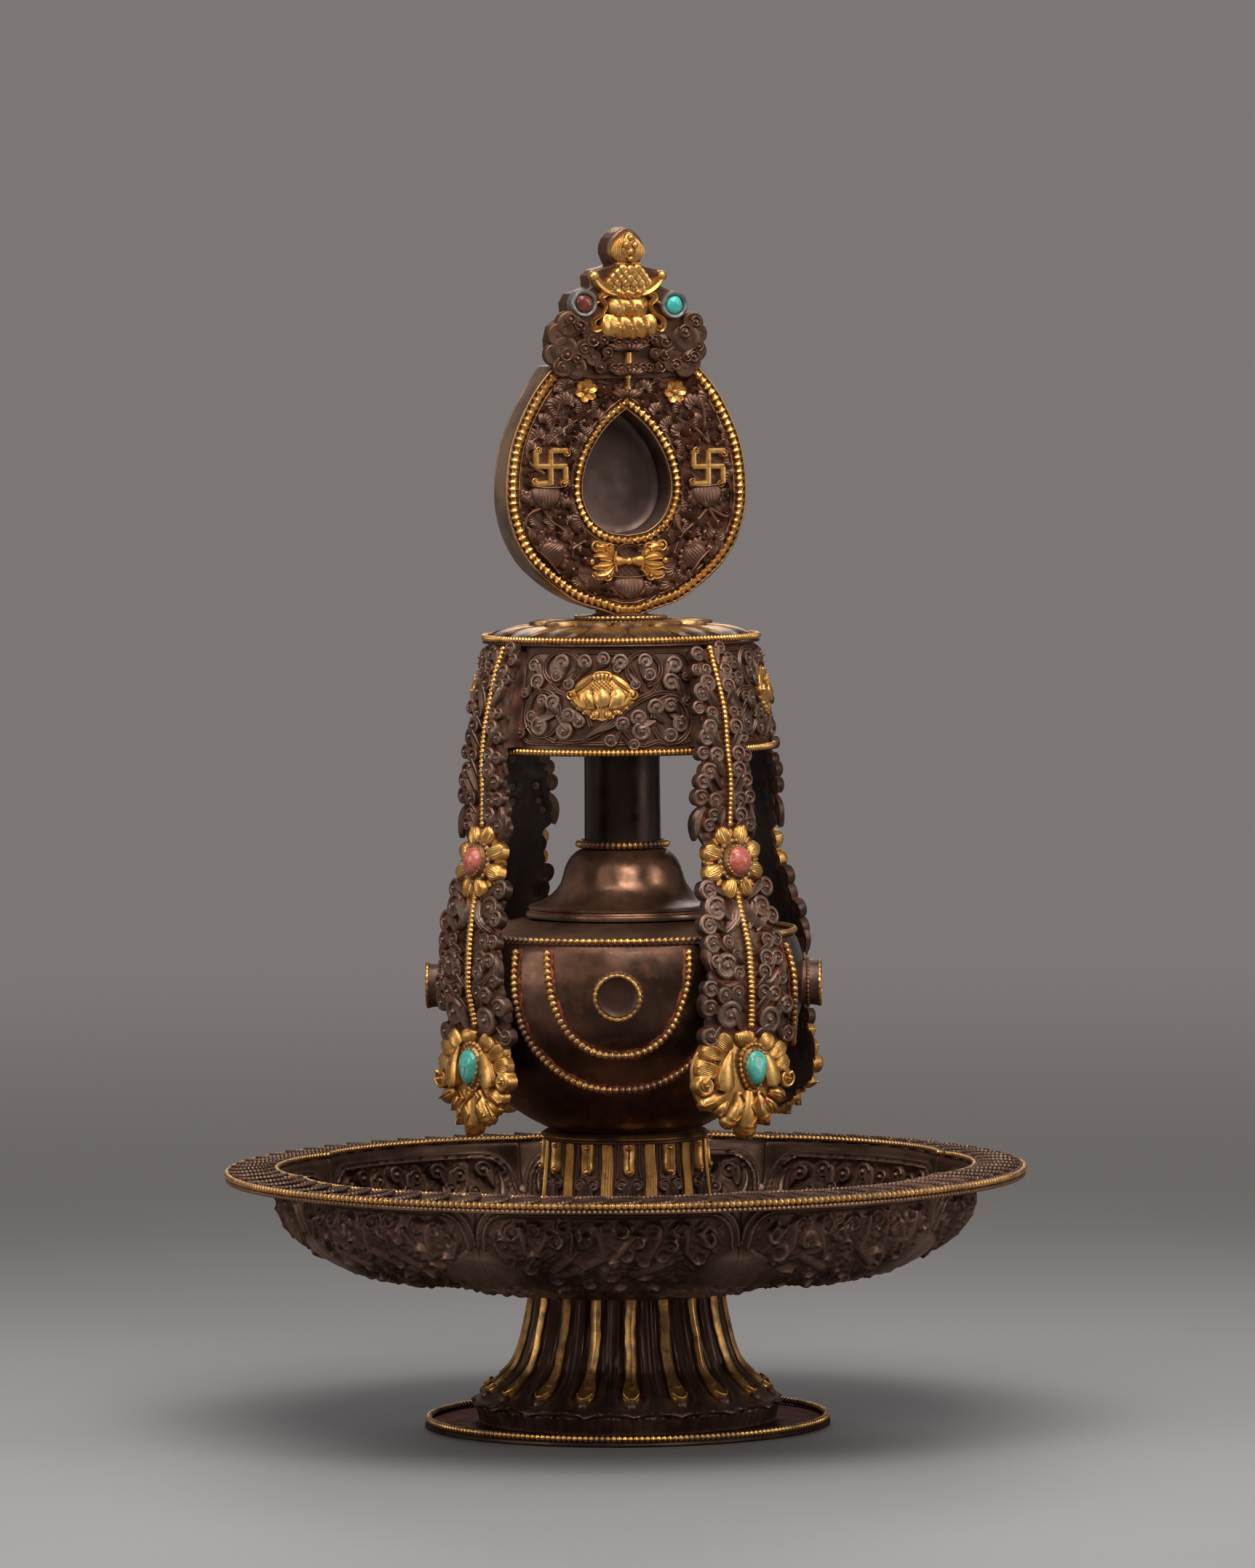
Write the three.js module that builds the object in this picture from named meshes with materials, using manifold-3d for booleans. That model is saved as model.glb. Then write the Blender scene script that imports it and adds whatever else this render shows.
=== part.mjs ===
// Long life vase: a gilded, oxidised-copper ritual vase on an offering dish.
// Units are millimetres, +Z is up, -Y is the front. The origin is the centre of
// the base plate's underside, on the surface that the vase stands on.
//
// The stand (base plate, fluted foot, dish) carries the vase (pedestal, bulb,
// shoulder cap, neck). The lid (canopy drum with four hanging streamers) sits
// over the neck on a plug, and the teardrop shrine plaque turns on a round peg
// in the middle of the drum's top.
import * as THREE from "three";
import { mergeVertices } from "three/addons/utils/BufferGeometryUtils.js";
import Module from "manifold-3d";

const wasm = await Module();
wasm.setup();

// ---------------------------------------------------------------- dimensions
const SHEET = 1.2; // thickness of the raised copper sheet
const GAP = 0.3; // clearance between neighbouring pieces
const RIBS = 18; // gilded ribs round the foot
const SEG_FOOT = 2 * RIBS; // facets round the foot
const SEG_DISH = 32; // facets round the dish, four to a lobe
const SEG_LARGE = 28; // facets round the other large turned parts
const SEG_SMALL = 20; // facets round the slender turned parts

// Turns about the vertical axis, in degrees: positive turns the front to the right.
const FOOT_TURN = 2;
const DISH_TURN = -3.2;
const VASE_TURN = -1.9;
const LID_TURN = -7.5;
const PLAQUE_TURN = 20;

// Stand
const BASE_R = 65.3;
const BASE_BEAD = 1.1;
const BASE_BEAD_R = 64.2;
const BEAD = 0.85; // radius of the ordinary beaded wire
const DISH_FLOOR_Z = 44.4; // underside of the dish
const DISH_RIM_Z = 81.2; // underside of the petal rim at the dish's wall
const DISH_R = 129.0;
const DISH_BEAD_R = 128.2;
const DISH_INNER_BEAD_R = 112.4; // at the middle of each lobe
const DISH_CUSP = 4.5; // how far the cusps between the eight lobes stand in
const BOLT_R = 3.0;
const BOLT_HEAD_R = 5.5;

// Vase
const PEDESTAL_Z = 46.0;
const COLLAR_Z = 94.2;
const COLLAR_R = 26.9;
const BODY_R = 57.85;
const BODY_MID_Z = 145.1;
const BODY_LOWER_H = 54; // height of the lower half's ellipse
const SHOULDER_R = 55.3;
const SHOULDER_Z = 157.6;
const CAP_R = 30.6;
const CAP_Z = 163.8;
const NECK_R = 12.2;
const NECK_WALL = 1.4;
const NECK_Z0 = 186.2;
const NECK_Z1 = 252.2;
const NECK_RING_Z = 187.5;
const BEZEL_Z = 142.2;
const BEZEL_R = 7.5;
const BEZEL_H = 5.3;
const BEZEL_WALL = 1.1;
const GARLAND_BEAD = 1.15;

// Lid
const DRUM_Z0 = 217.6;
const DRUM_Z1 = 252.2;
const DRUM_BEAD_Z0 = 218.9;
const DRUM_BEAD_R0 = 48.6;
const DRUM_BEAD_Z1 = 254.1;
const DRUM_BEAD_R1 = 43.9;
const PLUG_R = 10.1;
const PLUG_LENGTH = 16;
const STREAMER_T = 1.4;

// Plaque
const PLAQUE_T = 12.5;
const PLAQUE_Z = 262.6; // bottom of the teardrop
const PLAQUE_TOP = 341.0; // flat top of the teardrop, under the crest
const PEG_R = 4.0;
const PEG_SEAT_Z = 257.9; // the canopy's top, under the collar

const RAD = Math.PI / 180;

// ------------------------------------------------------------------- helpers
const COLOURS = {
  copper: { color: 0x3a241d, roughness: 0.42, metalness: 1 },
  iron: { color: 0x352a28, roughness: 0.5, metalness: 1 },
  gilt: { color: 0xc8952f, roughness: 0.3, metalness: 1 },
  coral: { color: 0xb5503f, roughness: 0.35, metalness: 0 },
  turquoise: { color: 0x2fa39b, roughness: 0.35, metalness: 0 },
  garnet: { color: 0x5a2018, roughness: 0.3, metalness: 0 },
};

function piece(name, geometry, finish, parent) {
  const mesh = new THREE.Mesh(
    geometry,
    new THREE.MeshStandardMaterial(COLOURS[finish]),
  );
  mesh.name = name;
  parent.add(mesh);
  return mesh;
}

// Turns a closed loop of [radius, height] points about +Z. The loop runs
// anticlockwise as seen with the radius to the right and the height up.
function turned(points, segments, phase = 0) {
  let area = 0;
  for (let i = 0; i < points.length; i++) {
    const [x0, y0] = points[i],
      [x1, y1] = points[(i + 1) % points.length];
    area += x0 * y1 - x1 * y0;
  }
  const ordered = area > 0 ? points.slice() : points.slice().reverse();
  // A loop that touches the axis opens there, and any other closes on itself.
  const onAxis = ordered.filter((p) => p[0] === 0).length;
  if (onAxis) {
    while (!(ordered[0][0] === 0 && ordered[ordered.length - 1][0] === 0))
      ordered.push(ordered.shift());
  } else ordered.push(ordered[0]);
  const g = new THREE.LatheGeometry(
    ordered.map(([r, z]) => new THREE.Vector2(r, z)),
    segments,
    phase,
    Math.PI * 2,
  );
  g.rotateX(Math.PI / 2);
  return g;
}

// A shell of even thickness below or inside an outer [radius, height] curve.
function shell(outer, inner) {
  return outer.concat(inner.slice().reverse());
}

function ring(R, r, z, segments, sides = 4) {
  const g = new THREE.TorusGeometry(R, r, sides, segments);
  g.rotateZ(Math.PI / 2);
  g.translate(0, 0, z);
  return g;
}

// A round-sectioned wire along a curve.
function wire(points, r, steps, closed = false, sides = 4) {
  const curve = new THREE.CatmullRomCurve3(
    points.map((p) => new THREE.Vector3(...p)),
    closed,
  );
  const section = new THREE.Shape();
  for (let i = 0; i < sides; i++) {
    const a = (i / sides) * Math.PI * 2 + Math.PI / sides;
    const p = [r * Math.cos(a), r * Math.sin(a)];
    if (i) section.lineTo(...p);
    else section.moveTo(...p);
  }
  return new THREE.ExtrudeGeometry(section, {
    steps,
    extrudePath: curve,
    bevelEnabled: false,
  });
}

function asSolid(geometry) {
  const g = geometry.clone();
  g.deleteAttribute("normal");
  g.deleteAttribute("uv");
  const m = mergeVertices(g, 1e-4);
  return new wasm.Manifold(
    new wasm.Mesh({
      numProp: 3,
      vertProperties: m.attributes.position.array,
      triVerts: new Uint32Array(m.index.array),
    }),
  );
}

function asGeometry(solid) {
  const m = solid.getMesh();
  const g = new THREE.BufferGeometry();
  g.setAttribute("position", new THREE.BufferAttribute(m.vertProperties, 3));
  g.setIndex(new THREE.BufferAttribute(m.triVerts, 1));
  g.computeVertexNormals();
  return g;
}

const at = (r, degrees, z) => [
  r * Math.sin(degrees * RAD),
  -r * Math.cos(degrees * RAD),
  z,
];

const lerpTable = (table, z) => {
  for (let i = 0; i < table.length - 1; i++) {
    const [z0, a] = table[i],
      [z1, b] = table[i + 1];
    if ((z - z0) * (z - z1) <= 0) return a + ((b - a) * (z - z0)) / (z1 - z0);
  }
  return (z > table[0][0] ? table[0] : table[table.length - 1])[1];
};

const root = new THREE.Group();
const stand = new THREE.Group();
const vase = new THREE.Group();
const lid = new THREE.Group();
const plaque = new THREE.Group();
vase.rotation.z = VASE_TURN * RAD;
lid.rotation.z = LID_TURN * RAD;
plaque.rotation.z = PLAQUE_TURN * RAD;
root.add(stand, vase, lid, plaque);

// --------------------------------------------------------------------- stand
piece(
  "base_plate",
  turned(
    [
      [0, 0],
      [BASE_R, 0],
      [BASE_R, SHEET],
      [0, SHEET],
    ],
    SEG_LARGE,
  ),
  "copper",
  stand,
);
piece(
  "base_bead_ring",
  ring(BASE_BEAD_R, BASE_BEAD, SHEET + GAP + BASE_BEAD, SEG_LARGE),
  "gilt",
  stand,
);

// The foot: a flared, fluted shell with an upstanding scalloped skirt at the
// bottom and a flat crown that the dish is bolted to. Every other facet edge
// stands out as one of the eighteen ribs.
const FOOT_TOP = DISH_FLOOR_Z - GAP;
const footOuter = [
  [47.6, SHEET + GAP],
  [50.0, 8.1],
  [48.0, 9.4],
  [44.3, 12.2],
  [40.4, 15.4],
  [37.1, 18.4],
  [34.9, 22.7],
  [32.3, 31.6],
  [30.6, 40.0],
  [30.3, FOOT_TOP],
];
const footInner = [
  [46.2, SHEET + GAP],
  [47.6, 7.6],
  [42.4, 11.2],
  [38.6, 14.4],
  [35.4, 17.6],
  [33.2, 22.2],
  [30.6, 31.4],
  [28.9, FOOT_TOP - 1.6],
  [BOLT_R + 0.4, FOOT_TOP - 1.6],
];
footOuter.push([BOLT_R + 0.4, FOOT_TOP]);
const footGeometry = turned(shell(footOuter, footInner), SEG_FOOT);
{
  const p = footGeometry.attributes.position;
  for (let i = 0; i < p.count; i++) {
    const x = p.getX(i),
      y = p.getY(i),
      z = p.getZ(i),
      r = Math.hypot(x, y);
    const turn = Math.round((Math.atan2(x, -y) / (2 * Math.PI)) * SEG_FOOT);
    const outer = footOuter.some(
      ([a, b]) => Math.abs(a - r) < 1e-3 && Math.abs(b - z) < 1e-3,
    );
    if (outer && turn % 2 && z > 8.5 && z < FOOT_TOP - 0.1)
      p.setXY(i, x * (1 - 0.9 / r), y * (1 - 0.9 / r));
  }
}
const foot = new THREE.Group();
foot.rotation.z = FOOT_TURN * RAD;
stand.add(foot);
piece("stem_foot", footGeometry, "copper", foot);

// The dish: one sheet, with a flat middle, a bellied wall of eight lobes and
// a round petal rim.
const dishOuter = [
  [BOLT_R + 0.4, DISH_FLOOR_Z],
  [64.5, DISH_FLOOR_Z],
  [76.4, 46.5],
  [88.5, 50.2],
  [97.0, 54.0],
  [104.6, 59.6],
  [109.6, 65.3],
  [112.0, 71.6],
  [113.0, DISH_RIM_Z],
  [DISH_R, DISH_RIM_Z - 1.2],
  [DISH_R, DISH_RIM_Z - 0.1],
];
const dishInner = [
  [BOLT_R + 0.4, DISH_FLOOR_Z + SHEET],
  [64.2, DISH_FLOOR_Z + SHEET],
  [75.8, 47.8],
  [87.7, 51.5],
  [96.0, 55.2],
  [103.4, 60.5],
  [108.2, 66.0],
  [110.6, 72.0],
  [111.6, DISH_RIM_Z + SHEET],
];
const lobed = (angle) =>
  -DISH_CUSP * (1 - Math.pow(Math.abs(Math.cos(4 * angle)), 0.6));
const dish = new THREE.Group();
dish.rotation.z = DISH_TURN * RAD;
stand.add(dish);
{
  const g = turned(shell(dishOuter, dishInner), SEG_DISH);
  const p = g.attributes.position;
  for (let i = 0; i < p.count; i++) {
    const x = p.getX(i),
      y = p.getY(i),
      z = p.getZ(i),
      r = Math.hypot(x, y);
    if (r < 66 || r > 120) continue;
    const full = Math.min(1, (z - 45) / 22);
    const k = (r + lobed(Math.atan2(x, -y)) * full) / r;
    p.setXY(i, x * k, y * k);
  }
  piece("dish", g, "copper", dish);
}
piece(
  "dish_outer_bead_ring",
  ring(DISH_BEAD_R, BEAD, DISH_RIM_Z + GAP + BEAD, SEG_DISH),
  "gilt",
  dish,
);
{
  // The inner beaded wire follows the eight lobes along the wall's top edge.
  const inner = ring(1, BEAD, 0, SEG_DISH);
  const p = inner.attributes.position;
  for (let i = 0; i < p.count; i++) {
    const a = Math.atan2(p.getX(i), -p.getY(i)),
      off = Math.hypot(p.getX(i), p.getY(i)) - 1;
    const r = DISH_INNER_BEAD_R + lobed(a) + off;
    p.setXYZ(
      i,
      r * Math.sin(a),
      -r * Math.cos(a),
      p.getZ(i) + DISH_RIM_Z + SHEET + GAP + BEAD,
    );
  }
  piece("dish_inner_bead_ring", inner, "gilt", dish);
}

// The bolt and nut that hold the dish to the foot's crown.
piece(
  "centre_bolt",
  turned(
    [
      [0, DISH_FLOOR_Z - 12],
      [BOLT_R, DISH_FLOOR_Z - 12],
      [BOLT_R, DISH_FLOOR_Z + SHEET + GAP],
      [BOLT_HEAD_R, DISH_FLOOR_Z + SHEET + GAP],
      [BOLT_HEAD_R - 1.5, DISH_FLOOR_Z + SHEET + GAP + 2.2],
      [0, DISH_FLOOR_Z + SHEET + GAP + 2.9],
    ],
    12,
  ),
  "iron",
  stand,
);
piece(
  "centre_nut",
  turned(
    [
      [BOLT_R + GAP, FOOT_TOP - 1.6 - GAP - 4],
      [6.4, FOOT_TOP - 1.6 - GAP - 4],
      [6.4, FOOT_TOP - 1.6 - GAP],
      [BOLT_R + GAP, FOOT_TOP - 1.6 - GAP],
    ],
    12,
  ),
  "iron",
  stand,
);

// ---------------------------------------------------------------------- vase
// The pedestal that raises the bulb over the dish, hollow under its crown.
const pedOuter = [
  [38.0, PEDESTAL_Z],
  [38.0, PEDESTAL_Z + 1.6],
  [34.0, 50.0],
  [30.6, 56.0],
  [28.2, 64.0],
  [26.6, 72.8],
  [25.4, 84.0],
  [24.9, COLLAR_Z - GAP],
  [0, COLLAR_Z - GAP],
];
const pedInner = [
  [36.6, PEDESTAL_Z],
  [32.8, 49.2],
  [29.3, 55.4],
  [26.9, 63.7],
  [25.3, 72.6],
  [24.1, 83.8],
  [23.6, COLLAR_Z - GAP - 1.6],
  [0, COLLAR_Z - GAP - 1.6],
];
const pedestal = new THREE.Group();
pedestal.rotation.z = (FOOT_TURN - VASE_TURN) * RAD;
vase.add(pedestal);
piece(
  "vase_pedestal",
  turned(shell(pedOuter, pedInner), SEG_SMALL),
  "copper",
  pedestal,
);
piece(
  "pedestal_collar",
  turned(
    [
      [0, COLLAR_Z],
      [COLLAR_R - 0.6, COLLAR_Z],
      [COLLAR_R, COLLAR_Z + 0.6],
      [COLLAR_R - 0.4, COLLAR_Z + 1.4],
      [0, COLLAR_Z + 1.4],
    ],
    SEG_SMALL,
  ),
  "gilt",
  vase,
);

// The bulb: closed at the bottom, open at the top under the shoulder cap.
const BODY_Z0 = COLLAR_Z + 1.4 + GAP;
const bulbR = (z, wall = 0) => {
  if (z <= BODY_MID_Z)
    return (
      (BODY_R - wall) *
      Math.sqrt(
        Math.max(0, 1 - Math.pow((BODY_MID_Z - z) / (BODY_LOWER_H - wall), 2)),
      )
    );
  const t = (z - BODY_MID_Z) / (SHOULDER_Z - BODY_MID_Z);
  return BODY_R - wall - (BODY_R - SHOULDER_R) * t * t;
};
const bodyOuter = [
  [0, BODY_Z0],
  [bulbR(BODY_Z0 + 1.2), BODY_Z0],
];
for (const z of [100, 106, 113, 121, 130, 140, 150])
  bodyOuter.push([bulbR(z), z]);
bodyOuter.push(
  [SHOULDER_R, SHOULDER_Z],
  [SHOULDER_R - 1.9, SHOULDER_Z + 0.8],
  [CAP_R + 1.6, CAP_Z - GAP],
  [CAP_R - 3.6, CAP_Z - GAP],
);
const bodyInner = [
  [0, BODY_Z0 + SHEET],
  [bulbR(BODY_Z0 + 1.8, SHEET), BODY_Z0 + SHEET],
];
for (const z of [101, 108, 116, 126, 138, 150])
  bodyInner.push([bulbR(z, SHEET), z]);
bodyInner.push(
  [SHOULDER_R - 1.7, SHOULDER_Z - 0.8],
  [CAP_R - 3.6, CAP_Z - 1.7],
);
piece(
  "vase_body",
  turned(shell(bodyOuter, bodyInner), SEG_LARGE),
  "copper",
  vase,
);
piece(
  "shoulder_bead_ring",
  ring(SHOULDER_R - 0.35, 0.95, SHOULDER_Z + 2.0, SEG_LARGE),
  "gilt",
  vase,
);

// Each side of the bulb wears two beaded swags and an empty stone collet.
const SIDES = [
  ["front", 0],
  ["right", 90],
  ["back", 180],
  ["left", 270],
];
// A U of beads on the bulb's front, from one half of it: [degrees round, height].
const OUTER_SWAG = [
  [35.0, SHOULDER_Z - 1.0],
  [34.4, 148.5],
  [33.6, 140.0],
  [31.8, 130.0],
  [27.8, 122.8],
  [22.2, 117.4],
  [14.6, 113.6],
  [7.2, 112.0],
];
const INNER_SWAG = [
  [23.4, SHOULDER_Z - 1.0],
  [22.4, 149.0],
  [20.4, 140.0],
  [17.0, 131.6],
  [12.0, 126.4],
  [6.0, 123.7],
];
const swag = (half, bottom, turn) => {
  const spot = (degrees, z) =>
    at(bulbR(z) + GAP + GARLAND_BEAD, degrees + turn, z);
  return half
    .map(([degrees, z]) => spot(-degrees, z))
    .concat([spot(0, bottom)])
    .concat(
      half
        .slice()
        .reverse()
        .map(([degrees, z]) => spot(degrees, z)),
    );
};
for (const [side, turn] of SIDES) {
  piece(
    `outer_swag_${side}`,
    wire(swag(OUTER_SWAG, 111.6, turn), GARLAND_BEAD, 16),
    "gilt",
    vase,
  );
  piece(
    `inner_swag_${side}`,
    wire(swag(INNER_SWAG, 123.1, turn), GARLAND_BEAD, 14),
    "gilt",
    vase,
  );
  const collet = turned(
    [
      [0, 0],
      [BEZEL_R, 0],
      [BEZEL_R, BEZEL_H],
      [BEZEL_R - BEZEL_WALL, BEZEL_H],
      [BEZEL_R - BEZEL_WALL, 0.8],
      [0, 0.8],
    ],
    12,
  );
  collet.rotateX(Math.PI / 2);
  const m = piece(`stone_collet_${side}`, collet, "gilt", vase);
  m.position.set(...at(BODY_R + GAP, turn, BEZEL_Z));
  m.rotation.z = turn * RAD;
}

// The bell-shaped cap that closes the bulb and carries the neck.
const capOuter = [
  [CAP_R, CAP_Z],
  [CAP_R, CAP_Z + 3.9],
  [28.6, CAP_Z + 4.6],
  [23.8, 171.1],
  [20.7, 174.2],
  [19.4, 178.0],
  [18.5, 181.2],
  [16.0, 184.2],
  [14.0, 185.6],
  [12.6, 185.9],
];
const capInner = [
  [CAP_R - 1.4, CAP_Z],
  [CAP_R - 1.4, CAP_Z + 2.7],
  [28.0, CAP_Z + 3.3],
  [23.0, 169.9],
  [19.6, 173.2],
  [18.1, 177.6],
  [17.2, 180.6],
  [15.2, 182.8],
  [10.8, 184.4],
  [10.8, 185.9],
];
piece(
  "shoulder_cap",
  turned(shell(capOuter, capInner), SEG_SMALL),
  "copper",
  vase,
);
piece(
  "neck_tube",
  turned(
    [
      [NECK_R, NECK_Z0],
      [NECK_R - 0.3, NECK_Z1],
      [NECK_R - NECK_WALL, NECK_Z1],
      [NECK_R - NECK_WALL, NECK_Z0],
    ],
    SEG_SMALL,
  ),
  "copper",
  vase,
);
piece(
  "neck_bead_ring",
  ring(NECK_R + GAP + 1.25, 1.2, NECK_RING_Z, SEG_SMALL),
  "gilt",
  vase,
);

// ----------------------------------------------------------------------- lid
// The canopy's band, a bellied ring that widens downwards.
const bandOuter = [
  [47.3, DRUM_Z0],
  [47.0, 221.5],
  [46.3, 229.0],
  [45.2, 238.0],
  [43.8, 246.0],
  [42.4, DRUM_Z1 - GAP],
];
const bandInner = bandOuter.map(([r, z]) => [r - SHEET, z]);
piece(
  "canopy_band",
  turned(shell(bandOuter, bandInner), SEG_LARGE),
  "copper",
  lid,
);
// The canopy's top, a low dome with a flat peg seat and a hole for the peg.
piece(
  "canopy_top",
  turned(
    [
      [PEG_R + 0.35, 256.7],
      [PEG_R + 0.35, PEG_SEAT_Z],
      [15.6, PEG_SEAT_Z],
      [28.0, 257.4],
      [37.0, 256.2],
      [41.4, 254.8],
      [42.1, 253.2],
      [44.4, DRUM_Z1 + 0.6],
      [44.4, DRUM_Z1],
      [40.6, DRUM_Z1],
      [40.0, 253.8],
      [36.0, 255.0],
      [27.0, 256.2],
      [15.6, 256.7],
    ],
    SEG_LARGE,
  ),
  "copper",
  lid,
);
piece(
  "canopy_top_bead_ring",
  ring(DRUM_BEAD_R1, BEAD, DRUM_BEAD_Z1, SEG_LARGE),
  "gilt",
  lid,
);
piece(
  "canopy_bottom_bead_ring",
  ring(DRUM_BEAD_R0, BEAD, DRUM_BEAD_Z0, SEG_LARGE),
  "gilt",
  lid,
);
// The plug under the canopy's top fits inside the neck, and its shoulder rests on the neck's rim.
piece(
  "neck_plug",
  turned(
    [
      [PLUG_R - 1.2, NECK_Z1 - PLUG_LENGTH],
      [PLUG_R, NECK_Z1 - PLUG_LENGTH + 1],
      [PLUG_R, NECK_Z1 + GAP],
      [13.4, NECK_Z1 + GAP],
      [13.4, 256.4],
      [PLUG_R - 1.2, 256.4],
    ],
    SEG_SMALL,
  ),
  "copper",
  lid,
);
for (const [side, turn] of SIDES) {
  const oval = new THREE.Shape();
  oval.absellipse(0, 0, 10.8, 8.0, 0, Math.PI * 2);
  const g = new THREE.ExtrudeGeometry(oval, {
    depth: 1.6,
    bevelEnabled: true,
    bevelThickness: 0.8,
    bevelSize: 1.4,
    bevelOffset: -1.4,
    bevelSegments: 1,
    curveSegments: 6,
  });
  // The back is dished to lie on the band, and the face looks outwards along -Y.
  g.translate(0, 0, -0.8);
  const p = g.attributes.position;
  for (let i = 0; i < p.count; i++) {
    const x = p.getX(i);
    p.setZ(i, p.getZ(i) + 1.6 - (x * x) / 92);
  }
  g.rotateX(Math.PI / 2);
  const m = piece(`lotus_medallion_${side}`, g, "gilt", lid);
  m.position.set(...at(47.1, turn, 236.4));
  m.rotation.z = turn * RAD;
}

// The streamers hang from under the canopy's top bead at the four diagonals.
// Each is one chased strap, with a flower boss at mid length and a palmette
// at the end. [height, radius of the outer face]
const STREAMER_R = [
  [251.1, 45.3],
  [242.7, 48.7],
  [229.9, 52.4],
  [220.7, 53.7],
  [212.9, 55.2],
  [194.5, 56.2],
  [183.7, 58.0],
  [172.6, 60.0],
  [157.8, 63.7],
  [144.0, 64.7],
  [131.8, 63.2],
  [119.3, 62.7],
  [97.0, 62.7],
];
// [height, half of the width]
const STREAMER_W = [
  [251.1, 8.2],
  [240, 9.8],
  [219, 11.1],
  [205, 12.6],
  [192, 14.2],
  [189.5, 10.4],
  [184, 12.4],
  [178, 12.0],
  [175, 14.6],
  [164, 15.4],
  [152, 16.4],
  [143, 17.8],
  [130, 18.2],
  [124, 18.6],
  [114, 19.8],
  [107, 17.0],
  [101, 9.5],
  [97.0, 2.6],
];
const STREAMER_ROWS = 22;
const STREAMER_TOP = 251.1;
const STREAMER_TIP = 97.0;
const strapZ = (t) => STREAMER_TOP + (STREAMER_TIP - STREAMER_TOP) * t;
const DIAGONALS = [
  ["front_right", 45],
  ["back_right", 135],
  ["back_left", 225],
  ["front_left", 315],
];
for (const [corner, turn] of DIAGONALS) {
  const holder = new THREE.Group();
  holder.rotation.z = turn * RAD;
  lid.add(holder);
  const g = new THREE.BoxGeometry(2, 1, 1, 2, 1, STREAMER_ROWS);
  const p = g.attributes.position;
  for (let i = 0; i < p.count; i++) {
    const t = p.getZ(i) + 0.5,
      z = strapZ(1 - t),
      across = p.getX(i),
      out = p.getY(i) < 0;
    const r =
      lerpTable(STREAMER_R, z) -
      (out ? 0 : STREAMER_T) +
      0.5 * (1 - Math.abs(across));
    p.setXYZ(i, across * lerpTable(STREAMER_W, z), -r, z);
  }
  piece(`streamer_${corner}`, g, "copper", holder);

  const bead = [];
  const off = (z, d) => [0, -(lerpTable(STREAMER_R, z) + d), z];
  for (const z of [250.4, 243, 232, 221, 212, 203, 196])
    bead.push(off(z, 0.5 + GAP + 0.9));
  for (const z of [190, 184, 177]) bead.push(off(z, 2.1));
  for (const z of [171, 163, 153, 143, 132]) bead.push(off(z, 0.5 + GAP + 0.9));
  piece(`streamer_bead_${corner}`, wire(bead, 0.9, 22), "gilt", holder);

  const coral = new THREE.SphereGeometry(1, 8, 6);
  coral.scale(4.2, 1.8, 5.0);
  const c = piece(`coral_${corner}`, coral, "coral", holder);
  c.position.set(...off(183.7, 5.1));

  const turquoise = new THREE.SphereGeometry(1, 8, 6);
  turquoise.scale(3.8, 1.8, 6.0);
  const q = piece(`turquoise_${corner}`, turquoise, "turquoise", holder);
  q.position.set(...off(119, 3.2));
}

// -------------------------------------------------------------------- plaque
// The teardrop outline about x = 0, from the foot round to the flat top
// where the crest stands: [half width, height above the foot].
const TEAR = [
  [8.0, 262.6],
  [16.0, 265.2],
  [23.6, 269.3],
  [30.9, 275.2],
  [35.2, 280.6],
  [38.4, 287.2],
  [40.4, 295.4],
  [40.5, 304.4],
  [39.5, 312.2],
  [37.9, 318.3],
  [35.0, 325.2],
  [31.2, 332.0],
  [27.8, 337.2],
  [25.2, PLAQUE_TOP],
].map(([x, z]) => [x, z - PLAQUE_Z]);
const TOP = PLAQUE_TOP - PLAQUE_Z;
const WINDOW = [
  [0, 286.3],
  [6.6, 287.6],
  [11.8, 291.6],
  [14.6, 297.2],
  [15.1, 303.2],
  [13.6, 310.2],
  [10.4, 316.6],
  [5.8, 322.4],
  [0, 327.2],
].map(([x, z]) => [x, z - PLAQUE_Z]);
const mirrored = (half) =>
  half.concat(
    half
      .slice()
      .reverse()
      .filter(([x]) => x !== 0)
      .map(([x, z]) => [-x, z]),
  );
const grown = (half, d) =>
  half.map(([x, z], i) => {
    const a = half[Math.max(0, i - 1)],
      b = half[Math.min(half.length - 1, i + 1)];
    let nx = b[1] - a[1],
      nz = a[0] - b[0];
    const n = Math.hypot(nx, nz);
    if (x === 0) {
      nx = 0;
      nz = i ? n : -n;
    }
    return [x + (nx / n) * d, z + (nz / n) * d];
  });
const shapeOf = (points) => {
  const s = new THREE.Shape();
  points.forEach(([x, z], i) => (i ? s.lineTo(x, z) : s.moveTo(x, z)));
  s.closePath();
  return s;
};
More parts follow.
